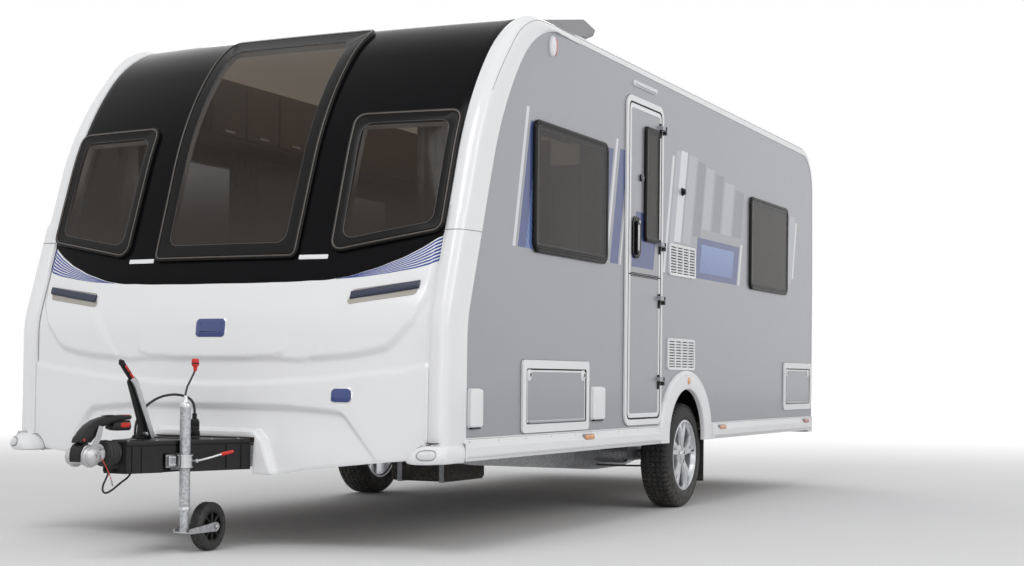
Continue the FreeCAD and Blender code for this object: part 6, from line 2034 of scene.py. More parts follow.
def make_hitch(settings):
    """The cast coupling head with its friction pads, its handle, the gaiter and the handbrake."""
    head = Shape()
    # The pads: domed silver covers with a dark socket in the middle, on both sides.
    y, z = BALL_AT
    head.lathe([(0.0, 0.03), (0.0445, 0.03), (0.0452, 0.032), (0.0452, 0.047), (0.0435, 0.0495),
        (0.0395, 0.05), (0.0385, 0.053), (0.0385, 0.06), (0.037, 0.064), (0.03, 0.069), (0.02, 0.072),
        (0.0125, 0.073), (0.0115, 0.0722), (0.011, 0.066), (0.0, 0.066)], (0, y, z), X_AXIS, 48)
    head.rod((0.0655, y, z), (0.0668, y, z), 0.0105, 6, mark=1)
    # Nose: a cast hood over the ball socket, open below.
    nose = rounded([(-3.6895, 0.42, 0.01), (-3.6895, 0.462, 0.02), (-3.668, 0.494, 0.03),
        (-3.6, 0.4995, 0.03), (-3.56, 0.4985, 0.02), (-3.537, 0.484, 0.006), (-3.537, 0.43, 0.008),
        (-3.585, 0.424, 0.02), (-3.6, 0.4105, 0.01), (-3.668, 0.4105, 0.012)], 8)
    head.stacked(nose, "x", [(0.01, -0.0005), (0.006, 0.022), (0.003, 0.027), (0.0, 0.03), (0.0, 0.031),
        (0.004, 0.033), (0.012, 0.0335), (0.014, 0.031), (0.016, 0.0305)])
    # The neck round the shaft, with its cross bolts and casting ribs.
    head.lathe([(0.0255, -3.6), (0.0335, -3.6), (0.0345, -3.59), (0.0345, -3.548), (0.037, -3.546),
        (0.037, -3.5365), (0.0255, -3.5365)], (0, 0, SHAFT_Z), Y_AXIS, 40, closed=True)
    for bolt_y, bolt_z in ((-3.588, 0.47), (-3.556, 0.444)):
        head.rod((0.01, bolt_y, bolt_z), (0.0405, bolt_y, bolt_z), 0.0085, 6, mark=1)
        head.rod((0.0395, bolt_y, bolt_z), (0.044, bolt_y, bolt_z), 0.0048, 16, mark=1)
        head.rod((0.03, bolt_y, bolt_z), (0.0352, bolt_y, bolt_z), 0.0125, 24)
    head.sweep([(0.0325, -3.672, 0.48), (0.033, -3.64, 0.4965), (0.0325, -3.575, 0.493)],
        circle(0.0022, 8))
    # The curved link plate between a pad's arm and the handle.
    link_plate = rounded([(-3.628, 0.482, 0.01), (-3.594, 0.482, 0.01), (-3.566, 0.528, 0.06),
        (-3.552, 0.572, 0.006), (-3.576, 0.578, 0.006), (-3.598, 0.536, 0.06)], 6)
    head.slab(link_plate, "x", 0.034, 0.0395, 0, 0.001)
    head.mirrored()
    # The black nose cover that runs down from the handle between the pads.
    cover_out = [(-3.64, 0.506), (-3.662, 0.504), (-3.677, 0.496), (-3.688, 0.48), (-3.6935, 0.46),
        (-3.694, 0.44), (-3.691, 0.426)]
    cover_in = [(-3.64, 0.49), (-3.656, 0.488), (-3.668, 0.48), (-3.678, 0.466), (-3.683, 0.452),
        (-3.684, 0.438), (-3.683, 0.427)]
    head.strip(cover_out, cover_in, "x", -0.028, 0.028, 2)
    # The eye that the breakaway cable leaves from.
    head.rod((0.03, -3.572, 0.446), (0.052, -3.572, 0.446), 0.0062, 16, mark=1)
    head.rod((0.0505, -3.572, 0.446), (0.053, -3.572, 0.446), 0.0095, 20, mark=1)
    head.piece("coupling_head_cast", "root", "silver_cast",
        ("cast_silver", "zinc_bright", "plastic_black"), 40, replaces="coupling_head")

    # Handle: a long black lever, curved over the head and rising to a blunt tip.
    lever = Shape()
    spine = [(-3.684, 0.5085, 0.0125, 0.002), (-3.674, 0.522, 0.0185, 0.0085),
        (-3.652, 0.541, 0.0235, 0.0145), (-3.615, 0.563, 0.0265, 0.019), (-3.57, 0.581, 0.0275, 0.0215),
        (-3.52, 0.5935, 0.0275, 0.02), (-3.47, 0.6015, 0.0265, 0.0165), (-3.42, 0.607, 0.025, 0.0135),
        (-3.37, 0.6095, 0.0235, 0.0115), (-3.338, 0.609, 0.0205, 0.01), (-3.3265, 0.608, 0.012, 0.006)]
    rings = []
    for i, (y, z, half_x, half_z) in enumerate(spine):
        before, after = spine[max(0, i - 1)], spine[min(len(spine) - 1, i + 1)]
        way = Vector((after[0] - before[0], after[1] - before[1])).normalized()
        rings.append([(a, y - way.y * b, z + way.x * b) for a, b in oval(0, 0, half_x, half_z, 24, 3.2)])
    lever.rings(rings)
    # Cheeks running down from the lever to the head, and the second block under its tip.
    cheek = rounded([(-3.686, 0.5055, 0.004), (-3.675, 0.528, 0.01), (-3.64, 0.556, 0.03),
        (-3.575, 0.585, 0.03), (-3.545, 0.56, 0.012), (-3.59, 0.53, 0.03), (-3.618, 0.5065, 0.005)], 6)
    for side in BOTH_SIDES:
        lever.rings([[(side * x, a, b) for a, b in shrink(cheek, inset)] for inset, x in ((0.001, 0.015),
            (0.0, 0.017), (0.0, 0.0255), (0.002, 0.0275))])
    block = rounded([(-3.47, 0.562, 0.006), (-3.46, 0.585, 0.01), (-3.35, 0.598, 0.008),
        (-3.34, 0.566, 0.008), (-3.352, 0.552, 0.008), (-3.43, 0.552, 0.01)], 6)
    lever.stacked(block, "x", [(0.003, -0.024), (0.0, -0.0215), (0.0, 0.0215), (0.003, 0.024)])
    lever.stacked(rectangle(-3.415, -3.352, 0.5665, 0.5865, 0.006, 5), "x",
        [(0.0, 0.0205), (0.0, 0.0246), (0.0015, 0.0252)], 1)
    lever.stacked(rectangle(-0.0175, 0.0175, -3.392, -3.336, 0.008, 5), "z",
        [(0.0, 0.612), (0.0, 0.6195), (0.003, 0.6208)], 1)
    ridge = Shape()
    ridge.rod((-0.018, -3.5, 0.617), (0.018, -3.5, 0.617), 0.0016, 8)
    lever.take(in_a_row(ridge, 6, (0.0, 0.0085, 0.0006), "plastic_black"))
    lever.rod((-0.0272, -3.664, 0.519), (-0.0278, -3.664, 0.519), 0.006, 12, mark=1)
    lever.rod((0.0265, -3.664, 0.519), (0.0279, -3.664, 0.519), 0.006, 12, mark=1)
    lever.piece("coupling_handle_moulded", "root", "black_plastic", ("plastic_black", "grip_red"), 45,
        replaces="coupling_handle")

    # Gaiter: a rubber bellows of four folds between two collars.
    bellows = Shape()
    y0, y1, folds = -3.5295, -3.4255, 4
    outer = [(0.044, y0), (0.047, y0 + 0.001), (0.047, y0 + 0.008)]
    steps = 10
    for k in range(folds * steps + 1):
        share = k / (folds * steps)
        size = 0.052 + 0.006 * math.sin(math.pi * min(1.0, 0.25 + share))
        out = size * 0.8 + size * 0.2 * abs(math.sin(math.pi * folds * share)) ** 0.55
        outer.append((out, y0 + 0.01 + (y1 - y0 - 0.02) * share))
    outer += [(0.05, y1 - 0.008), (0.05, y1 - 0.001), (0.048, y1)]
    bellows.lathe([(0.03, y0)] + outer + [(0.03, y1)], (0, 0, SHAFT_Z), Y_AXIS, 48, closed=True)
    bellows.lathe([(0.0465, y0 + 0.0018), (0.048, y0 + 0.0022), (0.048, y0 + 0.0062),
        (0.0465, y0 + 0.0066)], (0, 0, SHAFT_Z), Y_AXIS, 48, mark=1, closed=True)
    bellows.piece("coupling_bellows", "root", "rubber", ("rubber_black", "steel_dark"), 60,
        replaces="coupling_gaiter")

    # Handbrake: a black pressed lever with a bright bar beside it and a red and black grip.
    brake = Shape()
    base, elbow, tip = (-3.182, 0.52), (-3.287, 0.765), (-3.386, 0.862)
    plate = rounded([(-3.238, 0.5065, 0.006), (-3.128, 0.5065, 0.01), (-3.15, 0.56, 0.02),
        (-3.262, 0.768, 0.012), (-3.285, 0.79, 0.01), (-3.306, 0.766, 0.012), (-3.225, 0.575, 0.03)], 6)
    brake.stacked(plate, "x", [(0.001, -0.035), (0.0, -0.034), (0.0, -0.024), (0.001, -0.023)], 1)
    bar = rounded([(-3.16, 0.51, 0.008), (-3.128, 0.514, 0.008), (-3.258, 0.772, 0.01),
        (-3.29, 0.796, 0.006), (-3.3, 0.772, 0.006), (-3.272, 0.735, 0.03)], 6)
    brake.stacked(bar, "x", [(0.0015, -0.019), (0.0, -0.0175), (0.0, -0.008), (0.0015, -0.0065)])
    way = Vector((0.0, tip[0] - elbow[0], tip[1] - elbow[1])).normalized()
    start = Vector((-0.021, elbow[0] + 0.01, elbow[1] + 0.004))
    grip = [(0.0, 0.0), (0.0105, 0.001), (0.0125, 0.01), (0.013, 0.04), (0.0138, 0.07), (0.013, 0.105),
        (0.0145, 0.112), (0.0145, 0.117), (0.011, 0.12), (0.0, 0.12)]
    brake.lathe(grip, start, way, 28, mark=1)
    for low, high in ((0.014, 0.052), (0.058, 0.1)):
        for x, r in ((0.0085, 0.007), (-0.0085, 0.007)):
            brake.rod(start + way * low + Vector((x, 0, 0)), start + way * high + Vector((x, 0, 0)), r,
                14, mark=2, bevel=0.003)
    brake.rod(start + way * 0.118, start + way * 0.13, 0.008, 20, mark=1)
    brake.rod((-0.0375, base[0] - 0.01, base[1] + 0.012), (-0.004, base[0] - 0.01, base[1] + 0.012),
        0.009, 6)
    brake.rod((-0.0365, elbow[0] + 0.018, elbow[1] - 0.01), (-0.0055, elbow[0] + 0.018, elbow[1] - 0.01),
        0.006, 16)
    # The gas strut beside the lever.
    brake.rod((-0.013, -3.15, 0.53), (-0.013, -3.215, 0.66), 0.0055, 16, mark=1)
    brake.rod((-0.013, -3.215, 0.66), (-0.013, -3.25, 0.73), 0.003, 12)
    brake.piece("handbrake_pressed", "root", "galvanised", ("zinc_bright", "plastic_black", "grip_red"),
        40, replaces="handbrake_lever")


JOCKEY_AT = (0.172, -3.15)
ROLLER_AT = (0.172, -2.969, 0.11)


def half_ring(side, radius, gap, count):
    """Half a circle round the jockey's mast, its ends cut short by an angle."""
    x, y = JOCKEY_AT
    turns = np.linspace(-math.pi / 2 + gap, math.pi / 2 - gap, count)
    return [(x + side * radius * math.cos(a), y + radius * math.sin(a)) for a in turns]


def make_jockey(settings):
    """The jockey wheel's clamp, crank with its red knob, mast collars and ribbed roller."""
    x, y = JOCKEY_AT
    clamp = Shape()
    # Two half shells round the mast on a fixing plate, a bolt and the locking handle.
    for side in BOTH_SIDES:
        shell = half_ring(side, 0.0245, 0.14, 16)[::-1] + half_ring(side, 0.033, 0.1, 16)
        clamp.rings([[(a, b, z) for a, b in shell] for z in (0.385, 0.443)])
        rim = half_ring(side, 0.0245, 0.16, 14)[::-1] + half_ring(side, 0.0375, 0.12, 14)
        for edge in (0.385, 0.438):
            clamp.rings([[(a, b, z) for a, b in rim] for z in (edge, edge + 0.005)])
    clamp.slab(rectangle(-3.2345, -3.1125, 0.3845, 0.4435, 0.008, 4), "x", 0.128, 0.134, bevel=0.001)
    clamp.slab(rectangle(-3.2345, -3.1845, 0.39, 0.438, 0.006, 4), "x", 0.134, 0.15, bevel=0.002)
    for bolt_y in (-3.222, -3.198):
        for bolt_z in (0.398, 0.43):
            clamp.rod((0.1495, bolt_y, bolt_z), (0.156, bolt_y, bolt_z), 0.0068, 6)
            clamp.rod((0.149, bolt_y, bolt_z), (0.1508, bolt_y, bolt_z), 0.009, 20)
            clamp.rod((0.1555, bolt_y, bolt_z), (0.159, bolt_y, bolt_z), 0.004, 14)
    clamp.rod((0.134, -3.112, 0.414), (0.208, -3.112, 0.414), 0.0058, 16)
    clamp.rod((0.206, -3.112, 0.414), (0.213, -3.112, 0.414), 0.01, 6)
    arm = [(0.2, -3.112, 0.414), (0.216, -3.096, 0.416), (0.242, -3.04, 0.429), (0.27, -2.972, 0.447)]
    clamp.sweep(arm, circle(0.005, 14))
    grip_from, grip_to = Vector((0.26, -2.996, 0.4405)), Vector((0.285, -2.936, 0.4525))
    clamp.rod(grip_from, grip_to, 0.0088, 20, mark=1, bevel=0.003, end_radius=0.007)
    clamp.piece("jockey_clamp_pressed", "root", "galvanised", ("zinc_bright", "grip_red"),
        replaces="jockey_clamp")

    crank = Shape()
    crank.lathe([(0.0, 0.658), (0.0262, 0.658), (0.0262, 0.667), (0.024, 0.6715), (0.015, 0.676),
        (0.011, 0.685), (0.0085, 0.699), (0.0065, 0.706), (0.0, 0.706)], (x, y, 0), Z_AXIS, 32)
    crank.sweep([(x, y, 0.7), (x, y, 0.716), (x + 0.001, y + 0.01, 0.744), (x + 0.006, y + 0.048, 0.8),
        (x + 0.008, y + 0.058, 0.818), (x + 0.008, y + 0.06, 0.832)], circle(0.0046, 14), mark=3,
        up=X_AXIS)
    knob_at = (0.18, -3.09, 0.0)
    crank.lathe([(0.0, 0.816), (0.008, 0.816), (0.0088, 0.818), (0.0088, 0.832), (0.012, 0.836),
        (0.016, 0.84), (0.0168, 0.845), (0.0168, 0.863), (0.015, 0.87), (0.01, 0.8718), (0.0, 0.872)],
        knob_at, Z_AXIS, 32, mark=1)
    crank.lathe([(0.0, 0.8475), (0.0174, 0.8475), (0.0174, 0.853), (0.0, 0.853)], knob_at, Z_AXIS, 28,
        mark=2)
    crank.piece("jockey_crank_and_knob", "root", "galvanised",
        ("zinc_bright", "grip_red", "plastic_black", "steel_dark"), replaces="jockey_crank")

    roller = Shape()
    cx, cy, cz = ROLLER_AT
    half = 0.031
    profile = [(0.074, -half + 0.004), (0.086, -half), (0.098, -half + 0.002), (0.107, -half + 0.008),
        (0.1095, -half + 0.018), (0.1098, 0.0), (0.1095, half - 0.018), (0.107, half - 0.008),
        (0.098, half - 0.002), (0.086, half), (0.074, half - 0.004), (0.07, 0.0)]
    roller.lathe(profile, ROLLER_AT, X_AXIS, 72, closed=True)
    for low, high, y0, lift in ((cx - half + 0.01, cx - 0.002, cy - 0.0028, 0.107),
            (cx + 0.002, cx + half - 0.01, cy + 0.006, 0.1067)):
        rib = Shape()
        rib.slab(rectangle(y0, y0 + 0.0056, cz + lift, cz + lift + 0.003, 0.0008, 2), "x", low, high)
        roller.take(around(rib, 36, ROLLER_AT, X_AXIS, "rubber_black"))
    roller.lathe([(0.006, -half - 0.002), (0.0165, -half - 0.002), (0.018, -half + 0.002),
        (0.018, half - 0.002), (0.0165, half + 0.002), (0.006, half + 0.002)], ROLLER_AT, X_AXIS, 32,
        mark=1, closed=True)
    roller.lathe([(0.064, -half + 0.006), (0.076, -half + 0.0045), (0.076, half - 0.0045),
        (0.064, half - 0.006)], ROLLER_AT, X_AXIS, 64, mark=1, closed=True)
    roller.lathe([(0.016, -0.003), (0.066, -0.002), (0.066, 0.002), (0.016, 0.003)], ROLLER_AT, X_AXIS,
        64, mark=1, closed=True)
    rib = Shape()
    rib.slab([(cy - 0.007, cz + 0.015), (cy + 0.007, cz + 0.015), (cy + 0.0045, cz + 0.067),
        (cy - 0.0045, cz + 0.067)], "x", cx - half + 0.006, cx + half - 0.006, bevel=0.002)
    roller.take(around(rib, 8, ROLLER_AT, X_AXIS), 1)
    roller.piece("jockey_roller_ribbed", "jockey_roller", "rubber", ("rubber_black", "plastic_black"), 40,
        replaces="jockey_wheel")

    mast = Shape()
    mast.lathe([(0.0238, 0.65), (0.0262, 0.65), (0.0268, 0.652), (0.0268, 0.66), (0.0255, 0.664),
        (0.0238, 0.664)], (x, y, 0), Z_AXIS, 36, closed=True)
    mast.lathe([(0.0238, 0.1935), (0.0256, 0.1935), (0.026, 0.196), (0.026, 0.206), (0.025, 0.2085),
        (0.0238, 0.2085)], (x, y, 0), Z_AXIS, 36, closed=True)
    mast.piece("jockey_mast_collars", "root", "galvanised", ["zinc_bright"])
    axle = Shape()
    for side in BOTH_SIDES:
        outside = cx + side * 0.052
        axle.rod((outside, cy, cz), (outside + side * 0.0065, cy, cz), 0.01, 6)
        axle.rod((outside - side * 0.001, cy, cz), (outside + side * 0.0016, cy, cz), 0.013, 20)
    axle.piece("jockey_axle_nuts", "jockey_caster", "galvanised", ["zinc_bright"])


COVER_FRONT = (0.062, -3.425)  # half width and y at the cover's front, and at its rear
COVER_REAR = (0.272, -2.78)


def cover_plan(notch):
    """The cover's outline from above, notched on one side for the jockey wheel's mast."""
    (x0, y0), (x1, y1) = COVER_FRONT, COVER_REAR
    slope = (x1 - x0) / (y1 - y0)
    side = [(x0 + slope * (y - y0), y) for y, _ in notch]
    cut = [(x, y) for y, x in notch]
    return [(-x1, y1), (-x0, y0), (x0, y0), side[0], *cut, side[-1], (x1, y1)]


def make_drawbar(settings):
    """The black drawbar cover with its ribs, deck, tray, screws and the lead's gland."""
    cover = Shape()
    low = cover_plan([(-3.245, 0.11), (-3.105, 0.11)])
    high = cover_plan([(-3.178, 0.1395), (-3.122, 0.1455)])
    cover.ringed(low, "z", [(0.0, 0.3642), (0.0, 0.449), (0.004, 0.449), (0.004, 0.3642)])
    cover.ringed(high, "z", [(0.0, 0.449), (0.0, 0.486), (0.004, 0.486), (0.004, 0.449)])
    cover.stacked(high, "z", [(0.0, 0.482), (0.0, 0.485), (0.0022, 0.486), (0.0022, 0.4878),
        (0.0, 0.4888), (0.0, 0.502), (0.0012, 0.5048), (0.0035, 0.506)])
    (x0, y0), (x1, y1) = COVER_FRONT, COVER_REAR
    way = Vector((x1 - x0, y1 - y0)).normalized()
    out = Vector((way.y, -way.x))
    for side in BOTH_SIDES:
        for start, step in ((0.03, 0.05), (0.54, 0.085)):
            since = cover.here()
            foot = Vector((x0, y0)) + way * start
            rib = Shape()
            plan = [foot - way * 0.0035 - out * 0.002, foot + way * 0.0035 - out * 0.002,
                foot + way * 0.0022 + out * 0.0045, foot - way * 0.0022 + out * 0.0045]
            rib.slab([tuple(p) for p in plan], "z", 0.368, 0.479)
            cover.take(in_a_row(rib, 2, (way.x * step, way.y * step, 0.0)))
            if side < 0:
                cover.mirrored(since, keep=False)
    # Front flange round the gaiter's collar, with two upright ribs.
    cover.slab(rectangle(-0.06, 0.06, 0.37, 0.504, 0.01, 5), "y", y0 - 0.006, y0 + 0.001)
    for x in (-0.052, 0.052):
        cover.slab(rectangle(x - 0.004, x + 0.004, 0.372, 0.502, 0.002, 3), "y", y0 - 0.012, y0)
    # A raised deck with a recessed tray, and slotted screws along the edges.
    deck = rounded([(-0.045, -3.395, 0.012), (0.045, -3.395, 0.012), (0.07, -3.29, 0.02),
        (-0.07, -3.29, 0.02)], 5)
    cover.stacked(deck, "z", [(0.0, 0.5055), (0.0, 0.5085), (0.0015, 0.51)])
    tray = rounded([(-0.15, -2.87, 0.014), (-0.105, -3.03, 0.014), (0.04, -3.03, 0.014),
        (0.04, -2.87, 0.014)], 5)
    cover.ringed(tray, "z", [(0.0, 0.5055), (0.0, 0.5095), (0.0015, 0.5105), (0.0055, 0.5105),
        (0.007, 0.5095), (0.007, 0.5055)])
    screw = Shape()
    screw.lathe([(0, 0.5055), (0.006, 0.5055), (0.006, 0.5082), (0.0045, 0.5092), (0.002, 0.5092),
        (0.0015, 0.5078), (0, 0.5078)], (0.0, 0.0, 0.0), Z_AXIS, 16)
    for side in BOTH_SIDES:
        first = Vector((x0 - 0.014, y0 + 0.03))
        row = Shape()
        row.add([(side * (first.x + a), first.y + b, c) for a, b, c in screw.verts], screw.faces)
        cover.take(in_a_row(row, 5, (side * way.x * 0.15, way.y * 0.15, 0.0), "zinc_bright"), 1)
    gland = (*LEAD_AT, 0.0)
    cover.lathe([(0.0, 0.505), (0.021, 0.505), (0.021, 0.5075), (0.018, 0.508), (0.018, 0.511),
        (0.013, 0.5115), (0.013, 0.5185), (0.0115, 0.52), (0.0062, 0.52), (0.0, 0.52)], gland, Z_AXIS, 24)
    cover.slab(rectangle(-0.0078, 0.0078, -3.4745, -3.4245, 0.003, 3), "z", 0.3722, 0.3838)
    cover.piece("drawbar_cover_moulded", "root", "black_plastic", ("plastic_black", "zinc_bright"),
        replaces="drawbar_cover")


# ------------------------------------------------------------------ inside
CURTAIN_PLEATS = 6.0
CURTAIN_DEPTH = 0.018
CURTAIN_GATHER = 0.35          # share of the depth that the pleats lose from foot to head
CURTAIN_RAIL = 2.13            # height
# Name, both ends in plan, the foot's height and what holds it, or None for its own side's wall.
CURTAINS = [("front_curtain", (1.06, -2.09), (0.83, -2.215), 1.25, "front_panel_upper"),
            ("side_curtain_front", (1.14, -1.76), (1.14, -1.48), 1.4, None),
            ("side_curtain_rear", (1.14, -0.93), (1.14, -0.64), 1.4, None)]


def make_inside(settings):
    """Cushions, curtains and joinery seen through the windows."""
    for side, name in SIDES:
        for part, box in (("seat", (0.567, 1.163, -2.168, -0.532, 0.901, 1.02)),
                ("back", (1.068, 1.163, -2.168, -0.532, 1.021, 1.37))):
            cushion = Shape()
            cushion_body(cushion, *box)
            if side < 0:
                cushion.mirrored(keep=False)
            made = cushion.piece(part + "_cushion_" + name, "root", "seat_fabric", ["seat_cloth"], 60,
                replaces="seat_cushions")
    joinery = Shape()
    # Locker doors with their handles, the worktops, the chest's doors and the ceiling, whose lining glows
    # as painted light from concealed lamps.
    for y in (-1.535, -1.185, -0.835):
        joinery.slab(rectangle(y, y + 0.335, 2.16, 2.46, 0.01, 3), "x", -0.862, -0.845, 0, 0.003)
        joinery.slab(rectangle(y + 0.12, y + 0.215, 2.178, 2.19, 0.004, 3), "x", -0.846, -0.838, 1)
    joinery.mirrored()
    joinery.slab(rectangle(-1.165, -0.64, -0.44, 1.5, 0.02, 4), "z", 1.4005, 1.43, 2, 0.004)
    joinery.slab(rectangle(-0.34, 0.34, -2.31, -1.95, 0.02, 4), "z", 1.1805, 1.205, 2, 0.004)
    for x in (-0.165, 0.165):
        joinery.slab(rectangle(x - 0.15, x + 0.15, 0.56, 1.15, 0.008, 3), "y", -2.306, -2.2985, 0, 0.002)
    joinery.slab(rectangle(-1.08, 1.08, -1.62, 3.3, 0.01, 2), "z", 2.542, 2.548, 3)
    joinery.piece("joinery_trim", "root", "cabinet_wood", ("cabinet_wood", "chrome", "worktop",
        "ceiling_lining"))
    for side, name in SIDES:
        for part, start, end, low, holder in CURTAINS:
            hang_curtain(part + "_" + name, (side * start[0], start[1]), (side * end[0], end[1]), low)


def cushion_body(shape, x0, x1, y0, y1, z0, z1):
    """A stuffed block: crowned faces between rounded edges, and sides that pull in a little."""
    size = Vector((x1 - x0, y1 - y0, z1 - z0))
    centre = Vector(((x0 + x1) / 2, (y0 + y1) / 2, (z0 + z1) / 2))
    work = bmesh.new()
    bmesh.ops.create_cube(work, size=2.0)
    bmesh.ops.subdivide_edges(work, edges=list(work.edges), cuts=15, use_grid_fill=True)
    for v in work.verts:
        place = v.co.copy()
        for axis in range(3):
            # How near this point is to an edge, judged by the two other directions.
            others = [abs(place[k]) for k in range(3) if k != axis]
            crown = (1 - others[0] ** 4) * (1 - others[1] ** 4)
            reach = size[axis] / 2
            swell = min(0.014, reach * 0.25)
            v.co[axis] = place[axis] * (reach - swell + swell * crown)
        v.co += centre
    verts = [v.co.copy() for v in work.verts]
    faces = [tuple(v.index for v in f.verts) for f in work.faces]
    work.free()
    shape.add(verts, faces)


def make_pleat_tree():
    """A hanging cloth: a grid folded into even pleats along its width, gathered at the head."""
    tree, given, result = new_tree("hang_pleats", [("Start", "vector"), ("Along", "vector"),
        ("Out", "vector"), ("Height", "value"), ("Pleats", "value"), ("Depth", "value"),
        ("Material", "material")])
    grid = geo(tree, "GeometryNodeMeshGrid", Size_X=1.0, Size_Y=1.0, Vertices_X=97, Vertices_Y=13)
    place = node(tree, "SeparateXYZ", tree.nodes.new("GeometryNodeInputPosition").outputs[0]).outputs
    share = maths(tree, "ADD", place["X"], 0.5)
    fall = maths(tree, "ADD", place["Y"], 0.5)
    wave = maths(tree, "SINE", maths(tree, "MULTIPLY", share, maths(tree, "MULTIPLY", given["Pleats"],
        2 * math.pi)))
    spread = maths(tree, "MULTIPLY_ADD", fall, -CURTAIN_GATHER, 1.0)
    fold = maths(tree, "MULTIPLY", maths(tree, "MULTIPLY", wave, given["Depth"]), spread)
    along, out = scaled(tree, given["Along"], share), scaled(tree, given["Out"], fold)
    flat = node(tree, "VectorMath", along, out, operation="ADD")
    base = node(tree, "VectorMath", flat.outputs[0], given["Start"], operation="ADD")
    up = node(tree, "CombineXYZ", None, None, maths(tree, "MULTIPLY", fall, given["Height"]))
    final = node(tree, "VectorMath", base.outputs[0], up.outputs[0], operation="ADD")
    moved = geo(tree, "GeometryNodeSetPosition", Geometry=grid.outputs[0], Position=final.outputs[0])
    solid = geo(tree, "GeometryNodeExtrudeMesh", Mesh=moved.outputs[0], Offset_Scale=0.0012,
        Individual=False)
    turned = geo(tree, "GeometryNodeFlipFaces", Mesh=moved.outputs[0])
    both = tree.nodes.new("GeometryNodeJoinGeometry")
    link(tree, solid.outputs[0], both.inputs[0])
    link(tree, turned.outputs[0], both.inputs[0])
    finish_tree(tree, given, result, both.outputs[0])


def hang_curtain(name, start, end, low):
    """A pleated curtain between two places in plan, from its foot up to the rail's height."""
    tall = CURTAIN_RAIL - low
    along = Vector((end[0] - start[0], end[1] - start[1], 0.0))
    out = Vector(Z_AXIS).cross(along).normalized()
    mesh = run_tree("hang_pleats", Shape(), "curtain_cloth", Start=(start[0], start[1], low),
        Along=tuple(along), Out=tuple(out), Height=tall, Pleats=CURTAIN_PLEATS, Depth=CURTAIN_DEPTH)
    shape = Shape()
    shape.take(mesh)
    made = shape.piece(name, "root", "seat_fabric", ["curtain_cloth"], 60)


# ------------------------------------------------------------------ roof
ROOF_FALL = 0.026 / 4.755      # the roof falls this much per metre behind the front
ROOF_HOLES = [(-0.7, -0.24, 0.33), (0.9, 1.26, 0.18), (2.5, 2.86, 0.18)]


def make_roof(settings):
    """Domed roof lights on white frames, and the line along each roof edge."""
    shape = Shape()
    for y0, y1, half in ROOF_HOLES:
        level = 2.617 - ROOF_FALL * (y0 + 1.1)
        frame = rectangle(-half - 0.045, half + 0.045, y0 - 0.045, y1 + 0.045, 0.05, 8)
        shape.stacked(frame, "z", [(0.0, level - 0.004), (0.0, level + 0.008), (0.004, level + 0.014),
            (0.016, level + 0.018), (0.03, level + 0.018)])
        dome = rectangle(-half - 0.01, half + 0.01, y0 - 0.01, y1 + 0.01, 0.05, 8)
        shape.stacked(dome, "z", [(0.0, level + 0.017), (0.0, level + 0.032), (0.006, level + 0.044),
            (0.02, level + 0.053), (0.045, level + 0.058)], 1)
        for x in (-half * 0.5, half * 0.5):
            shape.slab(rectangle(x - 0.02, x + 0.02, y1 + 0.004, y1 + 0.03, 0.004, 4), "z", level + 0.016,
                level + 0.03, 2, 0.003)
    shape.piece("roof_lights_domed", "root", "white_plastic",
        ("plastic_white", "roof_acrylic", "plastic_grey"), replaces="roof_lights")
    lines = Shape()
    for x, height in ((WALL_X + 0.001, 2.594), (1.156, ROOF_Z + 0.0005)):
        lines.rod((x, -1.098, height), (x, 3.3, height - ROOF_FALL * 4.398), 0.0014, 8)
    lines.mirrored()
    lines.piece("roof_edge_lines", "root", "gel_white", ["plastic_grey"])


# ------------------------------------------------------------------ add-on
class CARAVAN_PG_settings(bpy.types.PropertyGroup):
    """Colours, levels and sizes that the operators read."""
    moulding_white: bpy.props.FloatVectorProperty(name="Moulding white",
        description="Colour of the white mouldings", subtype="COLOR", size=3, min=0.0, max=1.0,
        default=(0.86, 0.865, 0.878))
    side_grey: bpy.props.FloatVectorProperty(name="Side grey",
        description="Metallic paint of the side walls", subtype="COLOR", size=3, min=0.0, max=1.0,
        default=(0.34, 0.345, 0.375))
    stripe_blue: bpy.props.FloatVectorProperty(name="Stripe blue",
        description="Colour of the fine stripes", subtype="COLOR", size=3, min=0.0, max=1.0,
        default=(0.018, 0.055, 0.29))
    badge_blue: bpy.props.FloatVectorProperty(name="Plaque blue",
        description="Colour of the blank plaques", subtype="COLOR", size=3, min=0.0, max=1.0,
        default=(0.015, 0.04, 0.2))
    lamp_level: bpy.props.FloatProperty(name="Lamp level",
        description="Factor on the studio lamps' power", subtype="FACTOR", min=0.0, max=4.0, default=1.0)
    surround: bpy.props.FloatProperty(name="Surround level",
        description="Strength of the light from all round", subtype="FACTOR", min=0.0, max=2.0,
        default=0.57)
    camera_lens: bpy.props.FloatProperty(name="Lens",
        description="Focal length on a 36 mm wide sensor, in millimetres", default=58.13, min=10.0)
    camera_shift_x: bpy.props.FloatProperty(name="Shift X", description="Camera shift to the side",
        subtype="FACTOR", default=0.0558)
    camera_shift_y: bpy.props.FloatProperty(name="Shift Y", description="Camera shift upwards",
        subtype="FACTOR", default=0.0908)
    camera_turn: bpy.props.FloatProperty(name="Camera turn",
        description="Heading of the camera from straight back along +Y", subtype="ANGLE", unit="ROTATION",
        default=math.radians(26.929))
    camera_roll: bpy.props.FloatProperty(name="Camera roll", description="Roll of the camera",
        subtype="ANGLE", unit="ROTATION", default=math.radians(0.575))
    camera_place: bpy.props.FloatVectorProperty(name="Camera place",
        description="Where the camera stands", subtype="TRANSLATION", unit="LENGTH", size=3,
        default=(4.583, -9.183, 0.805))


def built(make, context):
    """Runs one of the functions that make the pieces."""
    make(context.scene.caravan_settings)
    return {"FINISHED"}


